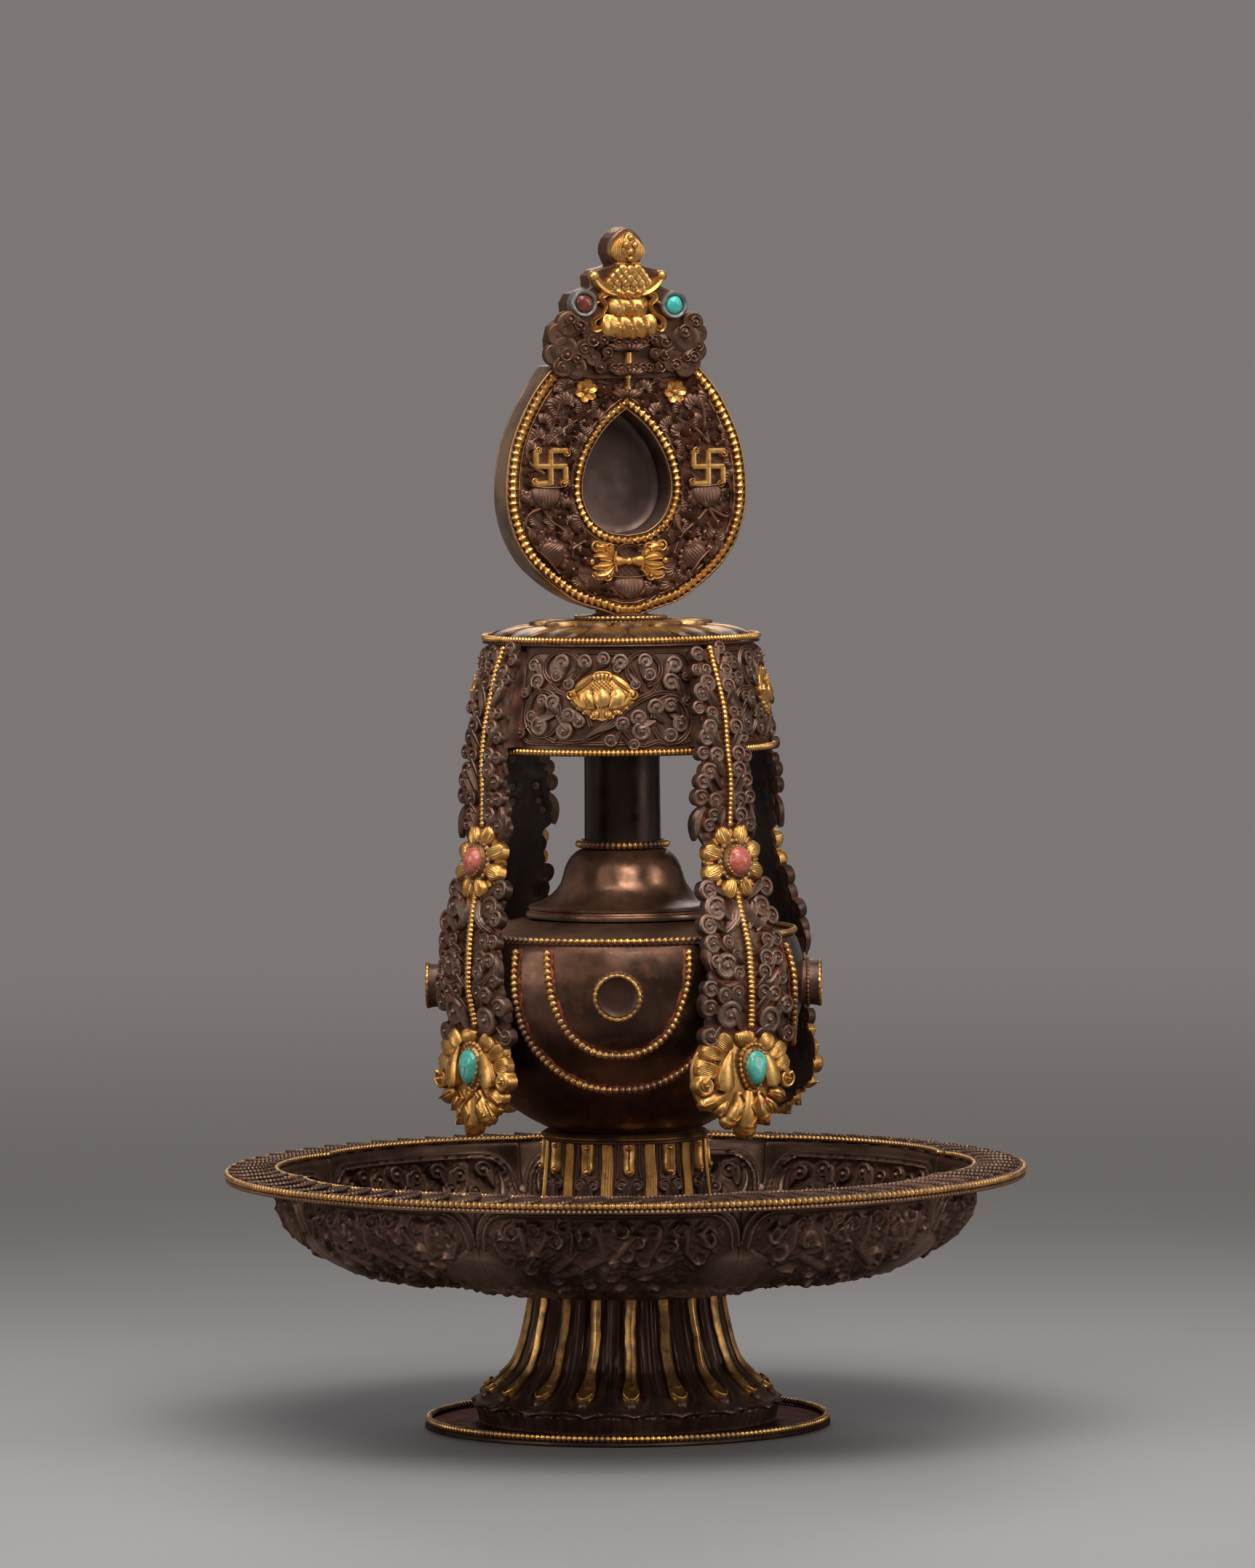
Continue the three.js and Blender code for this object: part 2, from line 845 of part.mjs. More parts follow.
// A slab standing in the XZ plane, its front face at y = front and its back at y = front + depth.
const slab = (shape, front, depth) => {
  const g = new THREE.ExtrudeGeometry(shape, {
    depth,
    bevelEnabled: false,
    curveSegments: 6,
  });
  g.rotateX(Math.PI / 2); // +Z of the sketch now runs along -Y
  g.translate(0, front + depth, 0);
  return g;
};
const FRONT_Y = -PLAQUE_T / 2;
const SHELL_Y = FRONT_Y + SHEET + GAP;
const SHELL_D = PLAQUE_T - SHEET - GAP;
const WELL = grown(WINDOW, 0.3);
const tearInset = grown(TEAR, -SHEET).map(([x, z], i) => [
  x,
  i === 0 ? SHEET : i === TEAR.length - 1 ? TOP - SHEET : z,
]);
{
  // The box: side wall, back, and the lining of the window's recess.
  const outer = asSolid(slab(shapeOf(mirrored(TEAR)), SHELL_Y, SHELL_D));
  const cavity = shapeOf(mirrored(tearInset));
  const lining = new THREE.Path();
  mirrored(grown(WINDOW, SHEET + 0.4)).forEach(([x, z], i) =>
    i ? lining.lineTo(x, z) : lining.moveTo(x, z),
  );
  lining.closePath();
  cavity.holes.push(lining);
  const cavityCut = asSolid(slab(cavity, SHELL_Y - 1, SHELL_D - SHEET + 1));
  const wellCut = asSolid(
    slab(shapeOf(mirrored(WELL)), SHELL_Y - 1, SHELL_D - SHEET + 1),
  );
  const m = piece(
    "plaque_box",
    asGeometry(outer.subtract(cavityCut).subtract(wellCut)),
    "copper",
    plaque,
  );
  m.position.z = PLAQUE_Z;
}
{
  const front = shapeOf(mirrored(TEAR));
  const hole = new THREE.Path();
  mirrored(WINDOW).forEach(([x, z], i) =>
    i ? hole.lineTo(x, z) : hole.moveTo(x, z),
  );
  hole.closePath();
  front.holes.push(hole);
  const m = piece("plaque_front", slab(front, FRONT_Y, SHEET), "copper", plaque);
  m.position.z = PLAQUE_Z;
}
{
  // The border wire runs up both sides from the foot to the crest.
  const y = FRONT_Y - GAP - 1.3;
  const half = grown(TEAR, -1.9)
    .map(([x, z], i) => [x, i === 0 ? 2.6 : z])
    .slice(0, -1);
  half.push([25.0, 337.4 - PLAQUE_Z]);
  const path = half
    .slice()
    .reverse()
    .map(([x, z]) => [-x, y, z])
    .concat([[0, y, 2.2]])
    .concat(half.map(([x, z]) => [x, y, z]));
  const m = piece("plaque_rim_bead", wire(path, 1.25, 36), "gilt", plaque);
  m.position.z = PLAQUE_Z;

  const ringShape = shapeOf(mirrored(grown(WINDOW, 3.2)));
  const ringHole = new THREE.Path();
  mirrored(grown(WINDOW, 0.9)).forEach(([x, z], i) =>
    i ? ringHole.lineTo(x, z) : ringHole.moveTo(x, z),
  );
  ringHole.closePath();
  ringShape.holes.push(ringHole);
  const w = piece(
    "plaque_window_bead",
    slab(ringShape, FRONT_Y - GAP - 1.8, 1.8),
    "gilt",
    plaque,
  );
  w.position.z = PLAQUE_Z;
}
{
  // The crest over the teardrop: clouds, parasol and jewel, in one slab.
  const half = [
    [11.0, 337.6],
    [18.5, 336.6],
    [22.4, 339.8],
    [25.4, 344.4],
    [25.8, 349.4],
    [24.2, 354.2],
    [20.6, 356.6],
    [20.2, 361.0],
    [18.2, 364.4],
    [12.8, 365.6],
    [12.9, 370.0],
    [10.0, 372.2],
    [5.2, 372.8],
    [6.7, 376.8],
    [5.8, 381.2],
    [3.0, 384.0],
    [0, 385.2],
  ].map(([x, z]) => [x, z - PLAQUE_TOP - GAP]);
  const g = slab(shapeOf(mirrored(half)), FRONT_Y - 1.6, 10.4);
  // Its lower lobes hang in front of the teardrop, whose box is cut out of it.
  const box = asSolid(
    slab(
      shapeOf(mirrored(grown(TEAR, 0.3)).map(([x, z]) => [x, z - TOP - GAP])),
      FRONT_Y - GAP,
      40,
    ),
  );
  const crest = asSolid(g).subtract(box);
  const m = piece("plaque_crest", asGeometry(crest), "copper", plaque);
  m.position.z = PLAQUE_Z + TOP + GAP;
  for (const [name, x, z, finish] of [
    ["crest_garnet", -15.0, 360.8, "garnet"],
    ["crest_turquoise", 15.6, 360.0, "turquoise"],
  ]) {
    const stone = new THREE.SphereGeometry(1, 8, 6);
    stone.scale(2.9, 1.3, 3.1);
    const s = piece(name, stone, finish, plaque);
    s.position.set(x, FRONT_Y - 1.6 - GAP - 1.4, z);
  }
}
// The turned foot of the plaque, with its collar on the canopy and its peg in the seat.
piece(
  "plaque_peg",
  turned(
    [
      [0, 247.6],
      [PEG_R - 0.8, 247.6],
      [PEG_R, 248.6],
      [PEG_R, PEG_SEAT_Z + GAP],
      [13.6, PEG_SEAT_Z + GAP],
      [14.8, 259.5],
      [13.6, 260.8],
      [10.4, 261.2],
      [8.6, PLAQUE_Z - GAP],
      [0, PLAQUE_Z - GAP],
    ],
    SEG_SMALL,
  ),
  "gilt",
  plaque,
);

export default root;
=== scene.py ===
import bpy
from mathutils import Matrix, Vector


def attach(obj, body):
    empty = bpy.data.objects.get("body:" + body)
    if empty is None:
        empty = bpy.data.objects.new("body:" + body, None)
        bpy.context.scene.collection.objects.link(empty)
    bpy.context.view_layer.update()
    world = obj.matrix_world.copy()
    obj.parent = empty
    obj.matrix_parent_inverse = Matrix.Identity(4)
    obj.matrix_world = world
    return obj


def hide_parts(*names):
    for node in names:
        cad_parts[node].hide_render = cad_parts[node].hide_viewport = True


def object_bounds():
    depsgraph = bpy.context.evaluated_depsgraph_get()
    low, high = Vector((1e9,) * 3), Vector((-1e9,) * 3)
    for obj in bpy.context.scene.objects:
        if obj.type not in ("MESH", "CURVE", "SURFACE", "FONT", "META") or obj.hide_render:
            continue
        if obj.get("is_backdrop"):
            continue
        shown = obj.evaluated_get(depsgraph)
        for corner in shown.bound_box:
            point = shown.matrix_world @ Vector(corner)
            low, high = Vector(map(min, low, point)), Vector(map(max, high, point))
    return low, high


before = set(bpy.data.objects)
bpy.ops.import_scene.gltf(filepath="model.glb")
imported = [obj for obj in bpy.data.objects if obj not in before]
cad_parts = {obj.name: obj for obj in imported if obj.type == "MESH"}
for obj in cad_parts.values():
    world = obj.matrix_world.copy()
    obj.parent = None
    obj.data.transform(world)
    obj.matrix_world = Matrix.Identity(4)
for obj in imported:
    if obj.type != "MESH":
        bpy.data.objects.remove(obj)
CAD_BOX = [list(v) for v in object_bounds()]

import math

import bpy
import numpy as np
from mathutils import Matrix, Vector

MM = 0.001
RAD = math.pi / 180
PI = math.pi

FOOT_TURN = 2.0
DISH_TURN = -3.2
VASE_TURN = -1.9
LID_TURN = -7.5
PLAQUE_TURN = 20.0


# ------------------------------------------------------------------ mesh tools
class Bag:
    """Collects points (mm), faces and three values a point: gilding, height in the relief, tone."""

    def __init__(self):
        self.v, self.q, self.t, self.a, self.n = [], [], [], [], 0

    def put(self, P, quads=None, tris=None, gold=0.0, h=0.5, tone=0.5, closed=True):
        P = np.asarray(P, float).reshape(-1, 3)
        k = len(P)
        if quads is not None:
            quads = np.asarray(quads, np.int64).reshape(-1, 4)
        if tris is not None:
            tris = np.asarray(tris, np.int64).reshape(-1, 3)
        if closed:
            vol = 0.0
            c = P.mean(0)
            if quads is not None:
                A, B, C, D = (P[quads[:, i]] - c for i in range(4))
                vol += np.einsum("ij,ij->", A, np.cross(B, C)) + np.einsum("ij,ij->", A, np.cross(C, D))
            if tris is not None:
                A, B, C = (P[tris[:, i]] - c for i in range(3))
                vol += np.einsum("ij,ij->", A, np.cross(B, C))
            if vol < 0:
                if quads is not None:
                    quads = quads[:, ::-1]
                if tris is not None:
                    tris = tris[:, ::-1]
        self.v.append(P)
        if quads is not None and len(quads):
            self.q.append(quads + self.n)
        if tris is not None and len(tris):
            self.t.append(tris + self.n)
        A = np.empty((k, 3))
        for i, x in enumerate((gold, h, tone)):
            if np.ndim(x):
                x = np.asarray(x, float).reshape(-1)
                x = np.concatenate([x, np.full(k - len(x), x[-1])])
            A[:, i] = x
        self.a.append(A)
        self.n += k

    def turned(self, degrees):
        """The same bag turned about the vertical axis."""
        b = Bag()
        R = rotz(degrees)
        b.v = [P @ R.T for P in self.v]
        b.q, b.t, b.a, b.n = list(self.q), list(self.t), list(self.a), self.n
        return b

    def join(self, other):
        for P, A in zip(other.v, other.a):
            self.v.append(P)
            self.a.append(A)
        self.q += [x + self.n for x in other.q]
        self.t += [x + self.n for x in other.t]
        self.n += other.n
        return self


def rotz(degrees):
    c, s = math.cos(degrees * RAD), math.sin(degrees * RAD)
    return np.array([[c, -s, 0], [s, c, 0], [0, 0, 1.0]])


def faces_of(nu, nv, cu=False, cv=False):
    i = np.arange(nu if cu else nu - 1)
    j = np.arange(nv if cv else nv - 1)
    I, J = np.meshgrid(i, j, indexing="ij")
    I2, J2 = (I + 1) % nu, (J + 1) % nv
    return np.stack([I * nv + J, I2 * nv + J, I2 * nv + J2, I * nv + J2], -1).reshape(-1, 4)


PIECES = {}


def build(name, bag, mat, body, replaces=(), sharp=38):
    V = np.concatenate(bag.v).astype(np.float32) * MM
    A = np.concatenate(bag.a)
    q = np.concatenate(bag.q) if bag.q else np.zeros((0, 4), np.int64)
    t = np.concatenate(bag.t) if bag.t else np.zeros((0, 3), np.int64)
    me = bpy.data.meshes.new(name)
    me.vertices.add(len(V))
    me.vertices.foreach_set("co", V.ravel())
    me.loops.add(q.size + t.size)
    me.loops.foreach_set("vertex_index", np.concatenate([q.ravel(), t.ravel()]).astype(np.int32))
    me.polygons.add(len(q) + len(t))
    starts = np.concatenate([np.arange(len(q)) * 4, q.size + np.arange(len(t)) * 3]).astype(np.int32)
    me.polygons.foreach_set("loop_start", starts)
    me.update(calc_edges=True)
    me.polygons.foreach_set("use_smooth", np.ones(len(me.polygons), bool))
    col = me.attributes.new("relief", "FLOAT_COLOR", "POINT")
    col.data.foreach_set("color", np.concatenate([A, np.ones((len(A), 1))], 1).astype(np.float32).ravel())
    me.validate()
    me.set_sharp_from_angle(angle=sharp * RAD)
    me.materials.append(mat)
    o = bpy.data.objects.new(name, me)
    bpy.context.scene.collection.objects.link(o)
    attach(o, body)
    if replaces:
        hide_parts(*replaces)
    PIECES[name] = (len(q), len(t))
    return o


def smooth_table(points, step=0.25, blur=2.0):
    """A smoothed function through [(key, value), ...]."""
    pts = sorted(points)
    k = np.array([p[0] for p in pts], float)
    v = np.array([p[1] for p in pts], float)
    x = np.arange(k[0] - 4 * blur, k[-1] + 4 * blur, step)
    y = np.interp(x, k, v)
    left = (v[1] - v[0]) / (k[1] - k[0])
    right = (v[-1] - v[-2]) / (k[-1] - k[-2])
    y = np.where(x < k[0], v[0] + left * (x - k[0]), y)
    y = np.where(x > k[-1], v[-1] + right * (x - k[-1]), y)
    if blur > 0:
        g = np.exp(-0.5 * (np.arange(-3 * blur, 3 * blur + step / 2, step) / blur) ** 2)
        g /= g.sum()
        pad = len(g) // 2
        y = np.convolve(np.pad(y, pad, mode="edge"), g, "valid")[: len(x)]
    return lambda z: np.interp(z, x, y)


def spline(points, n, closed=False):
    """A Catmull-Rom curve through the points, n samples a span."""
    P = np.asarray(points, float)
    if closed:
        Q = np.concatenate([P[-1:], P, P[:2]])
    else:
        Q = np.concatenate([2 * P[:1] - P[1:2], P, 2 * P[-1:] - P[-2:-1]])
    out = []
    t = np.linspace(0, 1, n, endpoint=False)[:, None]
    for i in range(len(Q) - 3):
        a, b, c, d = Q[i : i + 4]
        out.append(0.5 * (2 * b + (c - a) * t + (2 * a - 5 * b + 4 * c - d) * t**2 + (3 * b - a - 3 * c + d) * t**3))
    out = np.concatenate(out)
    return out if closed else np.concatenate([out, P[-1:]])


def even(P, n, closed=False):
    """The polyline resampled at n even steps of its length."""
    P = np.asarray(P, float)
    Q = np.concatenate([P, P[:1]]) if closed else P
    L = np.concatenate([[0], np.cumsum(np.linalg.norm(np.diff(Q, axis=0), axis=1))])
    s = np.linspace(0, L[-1], n, endpoint=not closed)
    return np.stack([np.interp(s, L, Q[:, i]) for i in range(Q.shape[1])], -1)


def length_of(P, closed=False):
    Q = np.concatenate([P, P[:1]]) if closed else P
    return float(np.linalg.norm(np.diff(Q, axis=0), axis=1).sum())


def hash01(*keys):
    x = math.sin(sum(k * m for k, m in zip(keys, (12.9898, 78.233, 37.719, 4.581)))) * 43758.5453
    return x - math.floor(x)


# ----------------------------------------------------------------- relief parts
def ribbon(bag, mp, path, width, height, prof, base=-0.6, gold=0.0, tone=0.5, href=None):
    """A raised band along a flat path. prof is [(across -.5..5, share of the height 0..1), ...]."""
    path = np.asarray(path, float)
    n = len(path)
    T = np.gradient(path, axis=0)
    T /= np.maximum(np.linalg.norm(T, axis=1), 1e-9)[:, None]
    N = np.stack([-T[:, 1], T[:, 0]], -1)
    prof = np.asarray(prof, float)
    width = np.broadcast_to(np.asarray(width, float), (n,))
    height = np.broadcast_to(np.asarray(height, float), (n,))
    S = path[:, None, :] + N[:, None, :] * (prof[None, :, 0] * width[:, None])[..., None]
    share = np.broadcast_to(prof[None, :, 1], S.shape[:2])
    H = np.where(share <= 0, base, share * height[:, None])
    P = mp(S[..., 0], S[..., 1], H)
    m = len(prof)
    quads = faces_of(n, m, False, True)
    P = P.reshape(-1, 3)
    ends = np.stack([P[:m].mean(0), P[-m:].mean(0)])
    k = n * m
    j = np.arange(m)
    tris = np.concatenate(
        [
            np.stack([np.full(m, k), (j + 1) % m, j], -1),
            np.stack([np.full(m, k + 1), (n - 1) * m + j, (n - 1) * m + (j + 1) % m], -1),
        ]
    )
    ref = href if href else max(float(height.max()), 1e-6)
    hh = np.clip(H / ref, 0, 1).reshape(-1)
    bag.put(np.concatenate([P, ends]), quads, tris, gold=gold, h=np.concatenate([hh, [0.3, 0.3]]), tone=tone)


def dome(bag, mp, c, r, h0, h1, n=9, ry=None, turn=0.0, steps=((1, 0.0), (1, 0.45), (0.88, 0.75), (0.6, 0.93), (0.28, 1.0)), gold=0.0, tone=0.5, href=None):
    """A rounded boss standing on the relief at c, from height h0 up to h1."""
    ry = ry or r
    a = np.arange(n) / n * 2 * PI
    rings = []
    hs = []
    ct, st = math.cos(turn), math.sin(turn)
    for s, t in steps:
        x, y = np.cos(a) * r * s, np.sin(a) * ry * s
        rings.append(np.stack([c[0] + x * ct - y * st, c[1] + x * st + y * ct, np.full(n, h0 + (h1 - h0) * t)], -1))
        hs.append(np.full(n, h0 + (h1 - h0) * t))
    R = np.concatenate(rings)
    pts = np.concatenate([R, [[c[0], c[1], h0], [c[0], c[1], h1]]])
    P = mp(pts[:, 0], pts[:, 1], pts[:, 2])
    m = len(steps)
    quads = faces_of(m, n, False, True)
    j = np.arange(n)
    tris = np.concatenate(
        [
            np.stack([np.full(n, m * n), (j + 1) % n, j], -1),
            np.stack([np.full(n, m * n + 1), (m - 1) * n + j, (m - 1) * n + (j + 1) % n], -1),
        ]
    )
    ref = href or max(h1, 1e-6)
    bag.put(P, quads, tris, gold=gold, h=np.clip(pts[:, 2] / ref, 0, 1), tone=tone)


SHELL = [(-0.5, 0), (-0.5, 0.62), (-0.45, 0.88), (-0.36, 1.0), (-0.24, 0.97), (-0.05, 0.86), (0.18, 0.78), (0.36, 0.66), (0.46, 0.5), (0.5, 0)]


def curl(bag, mp, c, R, tail, d, H=1.8, base=-0.6, gold=0.0, tone=0.5, knob=0.19, knob_h=1.3, bow=0.0, wide=1.0, fine=1.0, href=None, knob_gold=None):
    """A snail-like scroll: a comma-shaped tail that rolls up into a disc with a spiral groove and a raised pin."""
    c = np.asarray(c, float)
    tail = np.asarray(tail, float)
    r0 = 0.62 * R
    v = tail - c
    dist = max(float(np.hypot(*v)), 1e-6)
    th = math.atan2(v[1], v[0])
    al = math.acos(min(1.0, r0 / dist)) if dist > r0 else 0.0
    ph0 = th + d * al
    P0 = c + r0 * np.array([math.cos(ph0), math.sin(ph0)])
    Td = d * np.array([-math.sin(ph0), math.cos(ph0)])
    L = float(np.linalg.norm(P0 - tail))
    perp = np.array([-(P0 - tail)[1], (P0 - tail)[0]])
    b0, b3 = tail, P0
    b1 = b0 + (b3 - b0) * 0.35 + perp * bow
    b2 = b3 - Td * L * 0.45
    nt = max(6, int(10 * fine))
    s = np.linspace(0, 1, nt)[:, None]
    tailp = (1 - s) ** 3 * b0 + 3 * (1 - s) ** 2 * s * b1 + 3 * (1 - s) * s**2 * b2 + s**3 * b3
    st = s[:, 0]
    q = np.array([0.35, 0.75])
    ph = ph0 + d * q
    more = c + R * (0.62 - 0.03 * q)[:, None] * np.stack([np.cos(ph), np.sin(ph)], -1)
    path = np.concatenate([tailp, more])
    w = np.concatenate([R * (0.22 + 0.62 * np.sin(st * PI / 2) ** 0.8), [0.66 * R, 0.5 * R]]) * wide
    hh = np.concatenate([0.66 + 0.32 * st, [0.92, 0.8]])
    prof = [(-a * d, b) for a, b in SHELL]
    if d > 0:
        prof = prof[::-1]
    ribbon(bag, mp, path, w, hh * H, prof, base=base, gold=gold, tone=tone, href=href or H)
    # the disc: outer lip, floor sloping inwards, spiral groove
    n = 28 if fine > 0.8 else 20
    t = np.arange(n) / n
    a = ph0 + d * 2 * PI * t
    Ro = R * (1.02 - 0.24 * t)
    Rg = R * (0.60 - 0.23 * t)
    fade = np.clip((t - 0.04) / 0.52, 0, 1)
    rows = [
        (Ro, np.zeros(n)), (Ro, 0.60 + 0 * t), (Ro * 0.965, 0.84 - 0.06 * t), (Ro * 0.88, 0.96 - 0.14 * t),
        (Ro * 0.5 + Rg * 0.5, 1.0 - 0.19 * t), (Rg + 0.08 * R, 0.94 - 0.14 * t), (Rg + 0.01 * R, 0.42 + 0.38 * fade), (Rg - 0.07 * R, 0.40 + 0.40 * fade),
        (np.maximum(Rg - 0.14 * R, 0.21 * R), 0.78 + 0 * t), (0.16 * R + 0 * t, 0.84 + 0 * t),
    ]
    X = np.concatenate([c[0] + r * np.cos(a) for r, _ in rows] + [c[:1], c[:1]])
    Y = np.concatenate([c[1] + r * np.sin(a) for r, _ in rows] + [c[1:], c[1:]])
    Hh = np.concatenate([base + (h * H - base) * (np.arange(n) * 0 + (1.0 if k else 0.0)) for k, (_, h) in enumerate(rows)] + [[base], [0.7 * H]])
    m = len(rows)
    quads = faces_of(m, n, False, True)
    jj = np.arange(n)
    tris = np.concatenate([np.stack([np.full(n, m * n), (jj + 1) % n, jj], -1), np.stack([np.full(n, m * n + 1), (m - 1) * n + jj, (m - 1) * n + (jj + 1) % n], -1)])
    if d < 0:
        quads, tris = quads[:, ::-1], tris[:, ::-1]
    bag.put(mp(X, Y, Hh), quads, tris, gold=gold, h=np.clip(Hh / (href or H), 0, 1), tone=tone)
    dome(bag, mp, c, knob * R, base, H * knob_h, n=9, steps=((1.3, 0), (1.15, 0.62), (0.9, 0.86), (0.55, 0.97), (0.2, 1.0)), gold=gold if knob_gold is None else knob_gold, tone=tone * 0.5, href=href or H)


def striped(n_ribs, amp=0.14, dome_h=1.0, edge=0.45, m=None):
    """A rounded cross-section with n fine ribs along it."""
    m = m or (4 * n_ribs + 1)
    a = np.linspace(-0.5, 0.5, m)
    b = edge + (dome_h - edge) * np.sqrt(np.clip(1 - (2 * a) ** 2, 0, 1)) - amp * 0.5 * (1 - np.cos((a + 0.5) * 2 * PI * n_ribs))
    return [(-0.5, 0)] + list(zip(a, b)) + [(0.5, 0)]


ROUND = [(-0.5, 0), (-0.5, 0.35), (-0.4, 0.72), (-0.22, 0.94), (0, 1.0), (0.22, 0.94), (0.4, 0.72), (0.5, 0.35), (0.5, 0)]
DOUBLE = [(-0.5, 0), (-0.5, 0.5), (-0.4, 0.85), (-0.27, 1.0), (-0.12, 0.8), (0.0, 0.45), (0.12, 0.8), (0.27, 1.0), (0.4, 0.85), (0.5, 0.5), (0.5, 0)]


def leaf(bag, mp, path, w, H, ribs=3, n=14, base=-0.6, gold=0.0, tone=0.5, tip=0.6, root=0.35, amp=0.16, href=None, belly=0.45):
    """A long leaf along a path, fine ribs on its back, pointed at both ends."""
    P = even(spline(path, 8), n)
    u = np.linspace(0, 1, n)
    k = np.where(u < belly, root + (1 - root) * np.sin(u / belly * PI / 2), np.clip(np.cos((u - belly) / (1 - belly) * PI / 2), 0, 1) ** tip)
    k = np.maximum(k, 0.03)
    ribbon(bag, mp, P, w * k, H * (0.55 + 0.45 * k), striped(ribs, amp), base=base, gold=gold, tone=tone, href=href or H)


def curl_path(c, R, tail, d, turns=1.2, nt=8, ns=30, bow=0.0):
    """The centre line, widths and heights of a band that rolls up round c."""
    c = np.asarray(c, float)
    r0 = 0.76 * R
    v = np.asarray(tail, float) - c
    dist = max(float(np.hypot(*v)), 1e-6)
    th = math.atan2(v[1], v[0])
    al = math.acos(min(1.0, r0 / dist)) if dist > r0 else 0.0
    ph0 = th + d * al
    P0 = c + r0 * np.array([math.cos(ph0), math.sin(ph0)])
    Td = d * np.array([-math.sin(ph0), math.cos(ph0)])
    L = float(np.linalg.norm(P0 - tail))
    perp = np.array([-(P0 - tail)[1], (P0 - tail)[0]])
    b0, b3 = np.asarray(tail, float), P0
    b1 = b0 + (b3 - b0) * 0.35 + perp * bow
    b2 = b3 - Td * L * 0.42
    s = np.linspace(0, 1, nt, endpoint=False)[:, None]
    tailp = (1 - s) ** 3 * b0 + 3 * (1 - s) ** 2 * s * b1 + 3 * (1 - s) * s**2 * b2 + s**3 * b3
    tau = np.linspace(0, 1, ns)
    r = R * (0.76 - 0.5 * tau)
    ph = ph0 + d * 2 * PI * turns * tau
    sp = c + np.stack([r * np.cos(ph), r * np.sin(ph)], -1)
    w = np.full(nt + ns, 0.4 * R)
    return np.concatenate([tailp, sp]), w, np.ones(nt + ns)


def beads(bag, path, normal, pitch, ra, rb, closed=False, sides=8, neck=0.5, gold=0.9, tone=None, seed=1.0, xs=(0.0, 0.1, 0.27, 0.5, 0.73, 0.9), power=2.2):
    """Beaded wire: ra is the half width across the surface, rb the half height off it."""
    L = length_of(path, closed)
    n = max(2, int(round(L / pitch)))
    xs = np.asarray(xs)
    s = (np.arange(n)[:, None] + xs[None, :]).reshape(-1) / n
    f = np.tile(np.maximum(neck, (1 - np.abs(2 * xs - 1) ** power) ** (1 / power)), n)
    k = np.repeat(np.arange(n), len(xs))
    if not closed:
        s = np.append(s, 1.0)
        f = np.append(f, neck)
        k = np.append(k, n - 1)
    jit = np.array([1 + 0.07 * (hash01(i, seed) - 0.5) for i in range(n)])
    f = f * jit[k]
    Q = np.concatenate([path, path[:1]]) if closed else path
    NN = np.concatenate([normal, normal[:1]]) if closed else normal
    D = np.concatenate([[0], np.cumsum(np.linalg.norm(np.diff(Q, axis=0), axis=1))])
    D /= D[-1]
    C = np.stack([np.interp(s, D, Q[:, i]) for i in range(3)], -1)
    Nn = np.stack([np.interp(s, D, NN[:, i]) for i in range(3)], -1)
    e = 1e-3
    C2 = np.stack([np.interp(np.clip(s + e, 0, 1), D, Q[:, i]) for i in range(3)], -1)
    C1 = np.stack([np.interp(np.clip(s - e, 0, 1), D, Q[:, i]) for i in range(3)], -1)
    T = C2 - C1
    T /= np.maximum(np.linalg.norm(T, axis=1), 1e-12)[:, None]
    Nn = Nn - T * np.sum(Nn * T, 1)[:, None]
    Nn /= np.maximum(np.linalg.norm(Nn, axis=1), 1e-12)[:, None]
    B = np.cross(T, Nn)
    a = np.arange(sides) / sides * 2 * PI
    P = C[:, None, :] + f[:, None, None] * (
        np.cos(a)[None, :, None] * ra * B[:, None, :] + np.sin(a)[None, :, None] * rb * Nn[:, None, :]
    )
    m = len(s)
    quads = faces_of(m, sides, closed, True)
    if callable(gold):
        gold = np.concatenate([np.repeat(gold(s), sides), [0.5, 0.5]])
    hh = np.repeat((f - neck * 0.9) / (1.05 - neck * 0.9), sides)
    toneA = np.repeat(np.array([hash01(i, seed, 3) for i in range(n)])[k], sides)
    if closed:
        bag.put(P.reshape(-1, 3), quads, gold=gold if np.isscalar(gold) else gold[: m * sides], h=np.clip(hh, 0, 1), tone=toneA)
    else:
        ends = np.stack([P[0].mean(0), P[-1].mean(0)])
        j = np.arange(sides)
        kk = m * sides
        tris = np.concatenate(
            [
                np.stack([np.full(sides, kk), (j + 1) % sides, j], -1),
                np.stack([np.full(sides, kk + 1), (m - 1) * sides + j, (m - 1) * sides + (j + 1) % sides], -1),
            ]
        )
        bag.put(
            np.concatenate([P.reshape(-1, 3), ends]), quads, tris, gold=gold,
            h=np.concatenate([np.clip(hh, 0, 1), [0.5, 0.5]]), tone=np.concatenate([toneA, [0.5, 0.5]]),
        )


def ring_beads(bag, R, z, pitch, ra, rb, wobble=0.0, gold=0.9, seed=1.0, sides=8, rfun=None, zfun=None):
    a = np.linspace(0, 2 * PI, 721)[:-1]
    r = (rfun(a) if rfun else np.full_like(a, R)) + wobble * np.sin(3 * a + seed) * 0.5 + wobble * np.sin(7 * a + 2 * seed) * 0.3
    zz = z + (zfun(a) if zfun else 0) + wobble * 0.6 * np.sin(2 * a + 1.7 * seed)
    P = np.stack([r * np.sin(a), -r * np.cos(a), zz], -1)
    N = np.stack([np.sin(a), -np.cos(a), np.zeros_like(a)], -1)
    up = np.array([0, 0, 1.0])
    beads(bag, P, N * 0.7 + up * 0.7, pitch, ra, rb, closed=True, gold=gold, seed=seed, sides=sides)


